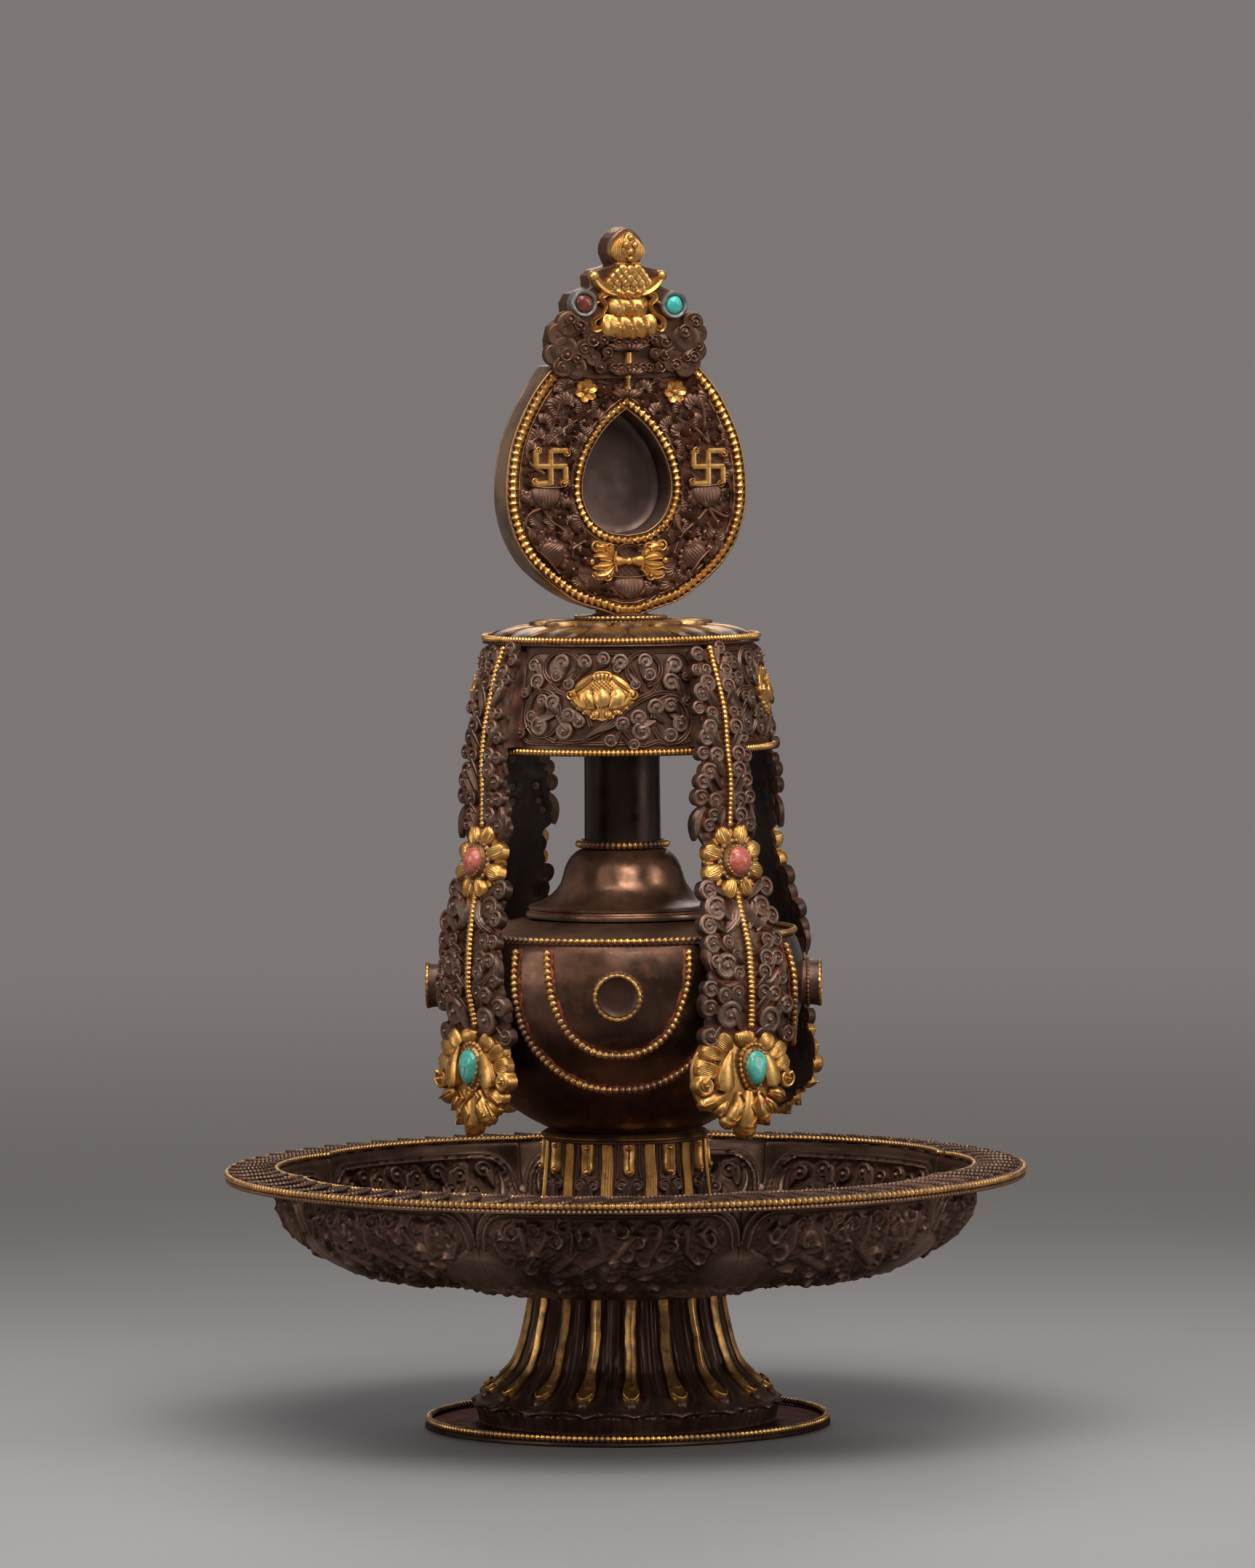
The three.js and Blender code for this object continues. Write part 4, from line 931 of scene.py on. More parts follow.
def foot_profile():
    pts = []
    for z in np.linspace(1.75, 7.0, 7):
        pts.append((47.4 + 0.28 * (z - 1.75), z))
    for r, z in ((48.9, 7.25), (49.6, 7.6), (49.95, 8.05), (49.9, 8.5), (49.45, 8.9)):
        pts.append((r, z))
    for z in np.concatenate([np.linspace(9.4, 20, 30), np.linspace(20.6, 43.95, 30)]):
        pts.append((float(fr(z)), z))
    return np.array(pts)


FP = foot_profile()
nA = 690
a = np.arange(nA) / nA * 2 * PI
A, I = np.meshgrid(a, np.arange(len(FP)), indexing="ij")
R, Z = FP[I, 0], FP[I, 1]
cell = (A / RAD / 20.0 + 0.5) % 1.0  # 0.5 on a rib
k = np.floor(A / RAD / 20.0 + 0.5)
x = (cell - 0.5) * 20 * RAD * R  # mm from the rib
away = (20 * RAD * R) * 0.5
upper = np.clip((Z - 9.0) / 4, 0, 1)
jit = 0.5 + 0.5 * np.sin(k * 12.9)
edge_of = away - np.abs(x)  # mm from the middle between two ribs
fl = 0.62 * np.exp(-((edge_of / 0.55) ** 2)) + 0.75 * np.exp(-(((edge_of - 1.75) / 0.5) ** 2)) + 0.5 * np.exp(-(((edge_of - 3.1) / 0.42) ** 2)) * (np.abs(x) > 2.2)
fl += 0.25 * np.sin(A * 143 + 2 * np.sin(A * 5)) * np.clip((Z - 14) / 10, 0, 1) * 0.6
fl *= np.where(Z > 15, 1.0, np.clip((Z - 10) / 5, 0.15, 1))
gulf = -0.8 * np.exp(-(((np.abs(x) - 2.4) / 0.7) ** 2)) * upper
# a rounded fold that runs down beside each toe and under it
dx = np.maximum(np.abs(x) - 0.6, 0)
toe = np.hypot(dx, np.minimum(Z - 13.5, 0) * 1.15)
fold = 1.15 * np.exp(-(((toe - 3.9) / 0.95) ** 2)) * np.clip((22 - Z) / 5, 0, 1) * (Z > 9.2)
hollow = -0.9 * np.exp(-((toe / 2.6) ** 2)) * (Z < 21) * (Z > 9.6)
skirt = (Z < 7.1)
pleat = 0.75 * np.abs(np.sin(A * 36 + 0.9 * np.sin(A * 7) + 0.5 * np.sin(A * 13))) - 0.5
lip = np.exp(-(((Z - 8.1) / 0.9) ** 2))
tip9 = 1 - np.abs(np.sin(A * 9 + 0.35 * np.sin(A * 5)))
scal = 1.35 * tip9 ** 0.8 + 0.75 * (1 - np.abs(np.sin(A * 27 + 1.2 * np.sin(A * 4)))) + 0.3 * np.sin(A * 31 + 1.3 * np.sin(A * 4)) + 0.25 * np.sin(A * 57 + 1.5 * np.sin(A * 6))
disp = np.where(skirt, pleat, (fl + gulf + fold + hollow) * upper + lip * (scal - 1.2))
dz = np.where((Z > 7.05) & (Z < 9.3), lip * (0.45 - 1.15 * tip9 + 0.45 * (1 - np.abs(np.sin(A * 20.5 + 1.6 * np.sin(A * 8)))) * np.sin(A * 7 + 1)), 0)
gn = wavy(9, 0.10, (3, 7, 11, 17))
Rr = R + disp + gn(A, R, Z)
outer = np.stack([Rr * np.sin(A), -Rr * np.cos(A), Z + dz], -1)
rin = np.where(Z < 9, 46.0, R - 1.5)
rin = np.minimum(rin, 46.0)
inner = np.stack([rin * np.sin(A), -rin * np.cos(A), Z], -1)
# the lip band from z 7.1 to 11.5 gets a raised relief value, which paints it lighter as a highlight
hh = np.where(skirt, 0.15 + 0.5 * np.clip(pleat, 0, 1), np.clip(0.25 + 0.5 * disp, 0, 0.62)) + np.where((Z > 7.1) & (Z < 11.5), 0.15, 0)
hh = np.concatenate([hh, np.full_like(hh, 0.3)], 1)
bag = Bag()
closed_shell(bag, outer, inner, a, True, h=np.clip(hh, 0, 1), tone=0.75)
build("fluted_foot", bag.turned(FOOT_TURN), M_CHASED, "stand", ["stem_foot"])

FM = Turned([(float(fr(z)), z) for z in np.linspace(9.6, 44, 120)])
rib = Bag()
dark = Bag()
for i in range(18):
    m = FM.facing(i * 20.0)
    lean = (hash01(i, 5) - 0.5) * 0.5
    n = 34
    z = np.linspace(43.8, 15.2, n)
    px = lean * np.sin((z - 10) * 0.13) + 0.22 * np.sin(z * 0.33 + i * 2.1)
    w = np.interp(z, [15, 17.5, 22, 44], [4.6, 3.1, 2.75, 3.0]) * (1 + 0.07 * np.sin(z * 0.9 + i))
    cr = 0.08 + 0.22 * math.sin(i * 2.4)
    prof = [(-0.5, 0), (-0.5, 0.42), (-0.42, 0.55), (cr - 0.05, 0.97), (cr + 0.05, 1.0), (0.42, 0.6), (0.5, 0.42), (0.5, 0)]
    along = np.clip(0.92 + 0.35 * np.sin(z * 0.41 + i * 2.7) + 0.22 * np.sin(z * 1.3 + i * 5.1), 0.25, 1.0)
    across = np.array([0.0, 0.15, 0.55, 1.0, 1.0, 0.7 - 0.3 * math.sin(i * 1.9), 0.2, 0.0])
    ribbon(rib, m, np.stack([px, z], -1), w * 1.12, 1.75, prof, base=-1.2, gold=(along[:, None] * across[None, :]).reshape(-1), tone=hash01(i, 2))
    # the spoon-shaped toe
    zt = np.linspace(18.2, 11.3, 15)
    ut = (18.2 - zt) / 6.9
    wt = 3.0 + 2.7 * np.sin(np.clip(ut * 1.25, 0, 1) * PI / 2) * np.sqrt(np.clip(1.04 - ut**4, 0, 1))
    wt = np.where(ut > 0.86, wt * np.sqrt(np.clip(1.03 - ((ut - 0.86) / 0.15) ** 2, 0.02, 1)), wt)
    ribbon(rib, m, np.stack([px[-1] * np.ones(15), zt], -1), wt, 1.35 + 0.5 * ut, [(-0.5, 0), (-0.5, 0.5), (-0.38, 0.8), (-0.15, 0.72), (0.1, 0.7), (0.38, 0.82), (0.5, 0.5), (0.5, 0)], base=-1.2, gold=0.85, tone=0.8)
    q = np.linspace(-1, 1, 11)
    lipp = np.stack([px[-1] + q * 2.45, 11.5 + 1.5 * np.abs(q) ** 2.2], -1)
    ribbon(rib, m, lipp, 0.5 + 0.35 * (1 - q**2), 2.35, ROUND, base=-0.8, gold=1.0, tone=0.1)
    dome(dark, m, (px[-1], 10.9), 1.8, -1.0, 1.5, n=10, ry=1.35, tone=0.9)
build("foot_gilded_ribs", rib.turned(FOOT_TURN), M_GILT, "stand", (), sharp=30)
build("foot_toe_tips", dark.turned(FOOT_TURN), M_CHASED, "stand", ())

# ------------------------------------------------------------------------- dish
LOBE_PROF = [(64.4, 48.9), (76.4, 51.0), (88.5, 53.4), (97, 56.2), (104.6, 60.8), (109.6, 66.0), (112, 71.8), (112.7, 77.5), (113.0, 80.3), (113.9, 81.1), (115.5, 81.1), (122, 80.6), (128.5, 80.1)]
LOBE_IN = [(64.4, 50.1), (75.8, 52.3), (87.7, 54.8), (96, 57.6), (103.3, 61.9), (108.0, 66.7), (110.4, 72.1), (111.1, 77.8), (111.5, 81.0), (112.3, 82.25), (114.2, 82.4), (121, 81.8), (128.5, 81.2)]


def lobed(a):
    return -4.5 * (1 - np.abs(np.cos(4 * a)) ** 0.6)


def lobe_add(a, r, z):
    return lobed(a) * np.clip((z - 45) / 22, 0, 1) * np.clip((128.3 - r) / 14.5, 0, 1)


def prof_even(P, n):
    P = spline(P, 12)
    return even(P, n)


def split_prof(P, n_wall, n_rim, at=9):
    """Even points up the wall, then even points out along the rim."""
    w = even(spline(P[: at + 1], 12), n_wall)
    r = even(P[at:], n_rim)[1:]
    return np.concatenate([w, r])


NW, NR = 128, 12
PO = split_prof(LOBE_PROF, NW, NR)
PI_ = split_prof(LOBE_IN, NW, NR)
to = np.concatenate([[0], np.cumsum(np.hypot(*np.diff(PO, axis=0).T))])
tz = lambda z: float(np.interp(z, PO[:NW, 1], to[:NW]))
KN = lambda c, w: ((c - 768) / 22.0 * RAD * 112, tz(80 - (w - 64) / 32.0))
RINGS_PX = [(425, 300, 2.9), (505, 285, 2.2), (620, 235, 2.5), (700, 262, 2.8), (825, 290, 2.5), (935, 290, 2.9), (1035, 275, 2.6), (380, 415, 2.3), (595, 400, 2.6), (690, 405, 2.2), (880, 400, 2.4), (1000, 440, 2.6), (1135, 390, 2.6), (400, 620, 2.4), (505, 570, 3.2), (835, 520, 2.5), (970, 530, 2.6), (650, 665, 3.2), (1110, 570, 2.8), (795, 620, 1.9), (900, 590, 2.1), (1050, 790, 3.4), (480, 690, 2.3), (560, 800, 2.5), (780, 760, 2.4), (900, 800, 2.5), (690, 850, 2.4), (430, 800, 2.2), (820, 900, 2.3), (560, 920, 2.2), (960, 900, 2.2), (1120, 700, 2.3)]
STRANDS_PX = [((1060, 250), (1060, 520), 2.0), ((1060, 520), (1110, 640), 2.2), ((460, 260), (470, 520), 2.2), ((740, 240), (760, 560), 2.4), ((760, 560), (600, 760), 3.0), ((870, 330), (800, 560), 1.8), ((960, 350), (910, 620), 1.9), ((560, 330), (480, 620), 2.2), ((1100, 320), (1170, 520), 2.0), ((1000, 620), (870, 760), 3.0), ((640, 560), (560, 720), 2.6), ((350, 430), (400, 700), 2.0), ((450, 700), (520, 900), 2.6), ((760, 700), (740, 900), 2.8), ((1130, 640), (1060, 900), 3.0), ((650, 300), (640, 520), 1.5)]
for lobe in range(8):
    c0 = lobe * 45.0 * RAD
    n = 170
    phi = np.linspace(-22.5, 22.5, n) * RAD
    # finer near the creases
    phi = np.sign(phi) * (22.5 * RAD) * (1 - (1 - np.abs(phi) / (22.5 * RAD)) ** 1.15)
    A, I = np.meshgrid(c0 + phi, np.arange(len(PO)), indexing="ij")
    R, Z, T = PO[I, 0], PO[I, 1], to[I]
    S = (A - c0) * np.minimum(R, 112)
    flip = -1 if lobe % 2 else 1
    rg, st = [], []
    for i, (cx, cy, rr) in enumerate(RINGS_PX):
        s, t = KN(cx, cy)
        j1, j2 = hash01(lobe, i, 1) - 0.5, hash01(lobe, i, 2) - 0.5
        rg.append((flip * s * (min(112, np.interp(t, to, PO[:, 0])) / 112) + 0.8 * j1, t + 0.9 * j2, rr * (1.08 + 0.14 * j1), 1.85 + 0.5 * j2))
    for p0, p1, w in STRANDS_PX:
        s0, t0 = KN(*p0)
        s1, t1 = KN(*p1)
        f0 = np.interp(t0, to, PO[:, 0]) / 112
        f1 = np.interp(t1, to, PO[:, 0]) / 112
        st.append(((flip * s0 * f0, t0), (flip * s1 * f1, t1), w * 1.15, 1.35))
    L = lumps(S, T, rg, st)
    L = L + 0.55 * np.clip(np.sin(S * 1.25 + 2.0 * np.sin(T * 0.6 + lobe)) * np.sin(T * 1.35 + 1.6 * np.sin(S * 0.5 + lobe)), 0, 1) * (L < 0.9) * (L > -0.2)
    # the arched frame, two lines with a recess inside
    tt, tb = tz(78.0), tz(58.0)
    half = 40.6
    qx = np.abs(S) - (half - 8.5)
    qz = T - (tt - 8.0)
    d = np.where((qx > 0) & (qz > 0), np.hypot(qx / 8.5, qz / 8.0) - 1, np.maximum(qx / 8.5, qz / 8.0) - 1) * 8.2
    rim_zone = np.clip((T - tb) / 6, 0, 1) * (T <= tz(80.4))
    frame_h = 1.35 * np.exp(-(((d - 0.1) / 0.8) ** 2)) + 1.1 * np.exp(-(((d - 2.35) / 0.75) ** 2)) + 0.25 * (d > 2.4)
    recess = np.where(d < -0.5, -1.1 * np.clip((-d - 0.5) / 1.2, 0, 1) * np.clip((T - tz(69)) / 8, 0.35, 1), 0)
    inside = d < -1.0
    wall = T < to[NW - 1] - 0.3
    Hf = np.where(inside, L + recess, frame_h * rim_zone + recess)
    # smooth spandrels over the creases
    edge_s = 44 * np.minimum(R, 112) / 112 - np.abs(S)
    zc = np.interp(T, to, PO[:, 1])
    wsp = np.interp(zc, [45, 50, 54, 58, 62, 66, 67.2], [13, 17, 18.0, 16.5, 11, 4, 0.1])
    sp = np.clip(1 - (edge_s / np.maximum(wsp, 0.1)) ** 2, 0, 1) ** 0.55
    sp_h = 1.45 * sp * np.clip((68 - zc) / 4, 0, 1) + 0.35 * np.sin(edge_s * 1.1) * (sp > 0) * np.clip((58 - zc) / 6, 0, 1)
    Hf = np.where(sp_h > 0.02, np.maximum(Hf * np.clip(1 - sp * 2, 0, 1), sp_h), Hf)
    # lumps of the underside
    un = np.clip((tz(56) - T) / 8, 0, 1)
    lump = 1.2 * np.abs(np.sin(S * 0.62 + 1.3 * np.sin(T * 0.5 + lobe))) * np.abs(np.sin(T * 0.55 + 1.2 * np.sin(S * 0.37 + lobe * 2)))
    Hf = Hf + un * lump * 0.9
    Hf = np.where(wall, Hf, 0) * np.clip((to[NW - 1] - T) / 1.0, 0, 1) * np.clip((T - 0.5) / 4, 0, 1)
    edge_fade = np.clip((44 * np.minimum(R, 112) / 112 - np.abs(S)) / 0.9, 0, 1)
    rad = lobe_add(A, R, Z)
    dr, dzz = np.gradient(PO[:, 0]), np.gradient(PO[:, 1])
    nn = np.hypot(dr, dzz)
    nr, nz = (dzz / nn)[I], (-dr / nn)[I]
    Ro = R + rad + Hf * nr
    outer = np.stack([Ro * np.sin(A), -Ro * np.cos(A), Z + Hf * nz], -1)
    # inner side: frame of two lines and soft spandrels
    Ri, Zi = PI_[I, 0], PI_[I, 1]
    zi = Zi
    qx = np.abs(S) - (39.4 - 9)
    qz = zi - (77.2 - 8)
    d = np.where((qx > 0) & (qz > 0), np.hypot(qx / 9, qz / 8) - 1, np.maximum(qx / 9, qz / 8) - 1) * 8.5
    zone = np.clip((zi - 60) / 4, 0, 1) * (zi < 80.5)
    Hi = (0.9 * np.exp(-(((d - 0.2) / 0.5) ** 2)) + 0.75 * np.exp(-(((d - 1.7) / 0.5) ** 2))) * zone
    wsp = np.interp(zi, [45, 50, 56, 60, 64, 67.2], [10, 15, 14.5, 11, 4, 0.1])
    sp = np.clip(1 - (edge_s / np.maximum(wsp, 0.1)) ** 2, 0, 1) ** 0.55
    Hi = np.maximum(Hi * np.clip(1 - sp * 2, 0, 1), 1.6 * sp * np.clip((68 - zi) / 4, 0, 1))
    Hi = Hi * (T < to[NW - 1] - 0.3) * np.clip((T - 0.5) / 4, 0, 1) + 1.05 * np.maximum(-Hf - 0.1, 0)
    din, dzn = np.gradient(PI_[:, 0]), np.gradient(PI_[:, 1])
    nn = np.hypot(din, dzn)
    nri, nzi = (-dzn / nn)[I], (din / nn)[I]
    radi = lobe_add(A, Ri, Zi)
    Rii = Ri + radi + Hi * nri
    inner = np.stack([Rii * np.sin(A), -Rii * np.cos(A), Zi + Hi * nzi], -1)
    inner_h = np.clip(0.35 + 0.3 * Hi, 0, 1)
    outer_h = np.clip(0.44 + 0.24 * Hf, 0, 1)
    deep = np.clip(0.30 - 0.75 * Hf, 0, 1) ** 0.7
    bag = Bag()
    closed_shell(bag, outer, inner, None, False, h=np.concatenate([outer_h, inner_h[:, ::-1]], 1), tone=np.concatenate([deep, np.full_like(inner_h, 0.35)], 1))
    build(f"dish_lobe_{lobe + 1}", bag.turned(DISH_TURN), M_DISH, "stand", ["dish"] if lobe == 0 else (), sharp=50)

b = Bag()
fl_top = [(64.45, 49.6), (64.4, 50.1), (60, 49.7), (54, 48.9), (48, 47.5), (44.6, 46.2), (42.4, 45.6), (36, 45.4), (28, 45.4), (20, 45.4), (12, 45.4), (6, 45.4), (3.5, 45.35)]
fl_low = [(3.5, 44.45), (12, 44.4), (30, 44.4), (42.8, 44.4), (45, 45.0), (48.5, 46.3), (54, 47.7), (60, 48.5), (64.4, 48.95)]
A_ = 160


def floor_h(a, r, z):
    return 0.45 + 0.2 * np.sin(r * 0.9) * (r < 40)


lathe(b, fl_top + fl_low, A_, h=floor_h, tone=0.5)
for rr, zr in ((40.5, 45.3), (42.0, 45.4), (62.5, 49.7)):
    P = [(rr + 0.75 * math.cos(q), zr + 0.65 * math.sin(q)) for q in np.linspace(0, 2 * PI, 9)[:-1]]
    lathe(b, P, 180, h=0.8, tone=0.5)
build("dish_floor", b.turned(DISH_TURN), M_DISH, "stand", ())

# chased scrolls round the inside of the wall
IN = Turned([(r, z) for r, z in PI_[:NW]], side=-1, radial=lobe_add, ref=111.0)
inner_relief = Bag()
for lobe in range(8):
    m = IN.facing(lobe * 45.0)
    flip = -1 if lobe % 2 else 1
    for i in range(8):
        x = (i - 3.5) * 8.6
        up = 72.6 + (0.9 if i % 2 else -0.6)
        d = 1 if (i % 2) else -1
        curl(inner_relief, m, (flip * x, up), 3.05 + 0.3 * hash01(lobe, i), (flip * (x + 3.6 * d), 67.2), d * flip, H=2.4, tone=0.9, fine=0.7, wide=1.5, knob=0.32, href=4.0)
        if i < 7:
            curl(inner_relief, m, (flip * (x + 4.4), 66.3 + (0.8 if i % 2 else -0.5)), 2.7, (flip * (x + 0.6), 60.8), -d * flip, H=2.2, tone=0.9, fine=0.7, wide=1.5, knob=0.34, href=4.0)
    for i in range(6):
        x = (i - 2.5) * 8.8
        d = 1 if (i % 2) else -1
        curl(inner_relief, m, (flip * x, 59.6 - 0.5 * (i % 2)), 2.5, (flip * (x - 3.4 * d), 56.6), d * flip, H=1.9, tone=0.9, fine=0.6, wide=1.4, knob=0.32, href=4.0)
    for i in range(7):
        x = (i - 3) * 9.0
        leaf(inner_relief, m, [(flip * x, 52.6), (flip * (x + 1.8), 54.4), (flip * (x - 1.2), 56.6)], 3.4, 1.3, ribs=3, n=12, tone=0.4)
    for e in (-1, 1):
        leaf(inner_relief, m, [(e * 37.5, 53), (e * 35.5, 60), (e * 37, 68), (e * 36.0, 73)], 2.6, 1.5, ribs=2, n=12, tone=0.5)
for lobe in range(8):
    m = IN.facing(lobe * 45.0 + 22.5)
    dome(inner_relief, m, (0, 66.4), 1.9, -0.5, 1.9, n=12, tone=0.3)
    for e in (-1, 1):
        leaf(inner_relief, m, [(e * 1.2, 66), (e * 3.4, 61), (e * 7.6, 57.5)], 3.0, 1.6, ribs=2, n=12, tone=0.4)
build("dish_inner_chasing", inner_relief.turned(DISH_TURN), M_DISH, "stand", ())

# the rim's overlapping petals, each a shallow oval cup with a twisted edge
pet = Bag()
rope = Bag()
NP = 72
for i in range(NP):
    a0 = (i + 0.5) * 2 * PI / NP
    r_in = 113.4 + float(lobed(np.array(a0)))
    rc, hl = (r_in + 127.4) / 2, (127.4 - r_in) / 2
    hw = 6.1
    slant = 0.22
    ca, sa = math.cos(a0), math.sin(a0)
    er = np.array([sa, -ca, 0])
    et = np.array([ca, sa, 0])

    def cup(s, t, h):
        base = 81.55 + 0.095 * (s + hw) * 0.9 - 0.05 * (t)
        p = er * (rc + t)[..., None] + et * (s + slant * t)[..., None]
        p[..., 2] = base + h
        return p

    ns, nt_ = 20, 7
    ang = np.arange(ns) / ns * 2 * PI
    rad = np.linspace(0, 1, nt_)[1:]
    G, Q = np.meshgrid(ang, rad, indexing="ij")
    s = hw * Q * np.sign(np.cos(G)) * np.abs(np.cos(G)) ** 0.9
    t = hl * Q * np.sign(np.sin(G)) * np.abs(np.sin(G)) ** 0.9
    hcup = 0.1 + 1.25 * Q**3 + 0.10 * np.cos(G * 8) * Q
    topP = cup(s, t, hcup)
    lowP = cup(s, t, hcup - 0.55)
    loop = np.concatenate([topP, lowP[:, ::-1]], 1)
    n2 = 2 * (nt_ - 1)
    quads = faces_of(ns, n2, True, False)
    c0 = cup(np.zeros(1), np.zeros(1), np.full(1, 0.1))
    c1 = cup(np.zeros(1), np.zeros(1), np.full(1, -0.45))
    P = np.concatenate([loop.reshape(-1, 3), c0, c1])
    k0 = ns * n2
    j = np.arange(ns)
    tris = np.concatenate([np.stack([np.full(ns, k0), j * n2, ((j + 1) % ns) * n2], -1), np.stack([np.full(ns, k0 + 1), ((j + 1) % ns) * n2 + n2 - 1, j * n2 + n2 - 1], -1)])
    pet.put(P, quads, tris, h=0.55, tone=hash01(i, 7))
    g = np.arange(64) / 64 * 2 * PI
    s = hw * np.sign(np.cos(g)) * np.abs(np.cos(g)) ** 0.9
    t = hl * np.sign(np.sin(g)) * np.abs(np.sin(g)) ** 0.9
    path = cup(s, t, np.full(64, 1.35))
    nrm = np.tile(np.array([0, 0, 1.0]), (64, 1))
    beads(rope, path, nrm, 1.35, 0.62, 0.72, closed=True, sides=6, neck=0.62, gold=0.0, seed=i + 3.0, xs=(0.0, 0.25, 0.5, 0.75))
build("dish_rim_petals", pet.turned(DISH_TURN), M_DISH, "stand", ())
build("dish_rim_petal_edges", rope.turned(DISH_TURN), M_CHASED, "stand", ())

b = Bag()
ring_beads(b, 128.0, 82.35, 1.98, 0.98, 1.18, wobble=0.10, gold=lambda s_: np.clip(0.8 + 0.25 * np.sin(2 * PI * 17 * s_) + 0.2 * np.sin(2 * PI * 41 * s_ + 1), 0.1, 1), seed=4.0)
ring_beads(b, 128.1, 80.75, 1.62, 0.72, 0.62, wobble=0.08, gold=0.12, seed=5.0, sides=8)
build("dish_rim_beaded_wire", b.turned(DISH_TURN), M_WIRE, "stand", ["dish_outer_bead_ring"])
b = Bag()
ring_beads(b, 112.4, 83.5, 1.62, 0.85, 0.85, wobble=0.05, gold=0.85, seed=6.0, rfun=lambda a: 112.4 + lobed(a))
build("dish_wall_beaded_wire", b.turned(DISH_TURN), M_WIRE, "stand", ["dish_inner_bead_ring"])
for name in ("centre_bolt", "centre_nut"):
    o = bpy.data.objects[name]
    o.data.materials.clear()
    o.data.materials.append(M_IRON)

# --------------------------------------------------------------------- pedestal
PED = [(38.3, 45.95), (38.3, 47.3), (37.2, 48.2), (34, 50.2), (32.2, 52.6), (30.6, 56), (29.2, 60), (28.2, 64), (27.3, 68.4), (26.6, 72.8), (26.0, 78), (25.4, 84), (25.0, 90), (24.9, 92.4), (25.6, 93.0), (25.7, 93.95)]
pm = Turned(spline(PED[2:14], 6), ref=27.0)
b = Bag()
pg = wavy(21, 0.12, (4, 6, 11, 18))
prof = [tuple(p) for p in spline(PED, 5)] + [(24.2, 93.95), (23.9, 84), (25.1, 72.8), (26.7, 64), (29.1, 56), (32.4, 50.6), (35.5, 48.4), (36.6, 46.0)]
lathe(b, prof, 240, h=lambda a, r, z: np.clip(0.18 + 0.1 * np.sin(a * 36), 0, 1), tone=0.6, bump=lambda a, r, z: pg(a, r, z) + 0.28 * np.abs(np.sin(a * 18)) * ((z > 49) & (z < 92)) * (r > 24.6))
for z, r, w in ((92.9, 25.3, 0.8), (49.4, 35.6, 0.9)):
    lathe(b, [(r + w * math.cos(q), z + w * math.sin(q)) for q in np.linspace(0, 2 * PI, 11)[:-1]], 160, h=0.1, tone=1.0)
build("pedestal_wall", b.turned(FOOT_TURN), M_CHASED, "vase", ["vase_pedestal"])
b = Bag()
for i in range(12):
    m = pm.facing(0.5 + 30 * i)
    j = hash01(i, 11) - 0.5
    z = np.linspace(92.3, 82.3, 15)
    u = (92.3 - z) / 10
    w = 5.1 * np.sqrt(np.clip(1 - np.clip((u - 0.72) / 0.28, 0, 1) ** 2, 0.02, 1)) * (1 - 0.12 * np.sin(u * PI))
    ribbon(b, m, np.stack([0.1 * np.sin(z), z], -1), w, 2.1, [(-0.5, 0), (-0.5, 0.5), (-0.36, 0.95), (-0.12, 0.8), (0, 0.5), (0.12, 0.8), (0.36, 0.95), (0.5, 0.5), (0.5, 0)], tone=0.35, gold=0.85)
    dome(b, m, (0, 83.6), 1.0, 0.2, 2.7, n=9, tone=0.0, gold=1.0)
    dome(b, m, (0, 91.2), 0.8, 0.2, 2.6, n=9, tone=0.0, gold=1.0)
    for e in (-1, 1):
        line = [(e * 3.45, 92.4), (e * 3.5, 88), (e * 3.35, 84.5), (e * 3.9, 81.6)]
        ribbon(b, m, even(spline(line, 6), 16), 0.95, 1.05, ROUND, tone=1.0, href=2.6)
        line = [(e * 4.3, 92.4), (e * 4.4, 88), (e * 4.6, 82), (e * 4.9, 74), (e * 5.6, 60), (e * 6.2, 51)]
        ribbon(b, m, even(spline(line, 6), 30), 0.8, 0.85, ROUND, tone=1.0, href=2.6)
        curl(b, m, (e * 2.45, 79.3 + 0.3 * j), 2.3, (e * 1.2, 71), -e, H=1.9, tone=0.8, wide=1.4, knob=0.24, href=2.6)
        leaf(b, m, [(e * 0.9, 75), (e * 2.6, 68), (e * 2.2, 60), (e * 3.4, 51)], 2.6, 1.5, ribs=3, n=20, tone=0.5)
    leaf(b, m, [(0, 77.5), (0.2, 70), (0, 60), (0, 50.5)], 2.2, 1.7, ribs=2, n=20, tone=0.5)
    m = pm.facing(15.5 + 30 * i)
    z = np.linspace(92.4, 50.5, 34)
    w = np.interp(z, [50, 60, 74, 92.4], [5.0, 4.2, 3.8, 3.3])
    ribbon(b, m, np.stack([0.15 * np.sin(z * 0.4 + i), z], -1), w, 2.0, striped(4, 0.13, 0.62, 0.7), tone=0.3, gold=0.86)
build("pedestal_lappets", b.turned(FOOT_TURN), M_PED, "vase", ())
b = Bag()
cz = [(25.2, 93.75), (26.5, 93.6), (27.05, 93.8), (27.1, 94.25), (26.5, 94.8), (25.9, 95.3), (25, 95.62), (4.2, 95.6), (4.2, 94.25), (25.0, 94.2)]
lathe(b, cz, 200, gold=lambda a, r, z: np.where((r > 26.2) & (z < 95.4), np.clip(0.55 + 0.5 * np.sin(a * 5) + 0.35 * np.sin(a * 13 + 1), 0, 1), 0), h=0.1, tone=0.9, bump=lambda a, r, z: 0.1 * np.sin(a * 60) * (r > 26))
build("pedestal_collar_moulding", b, M_CHASED, "vase", ["pedestal_collar"])


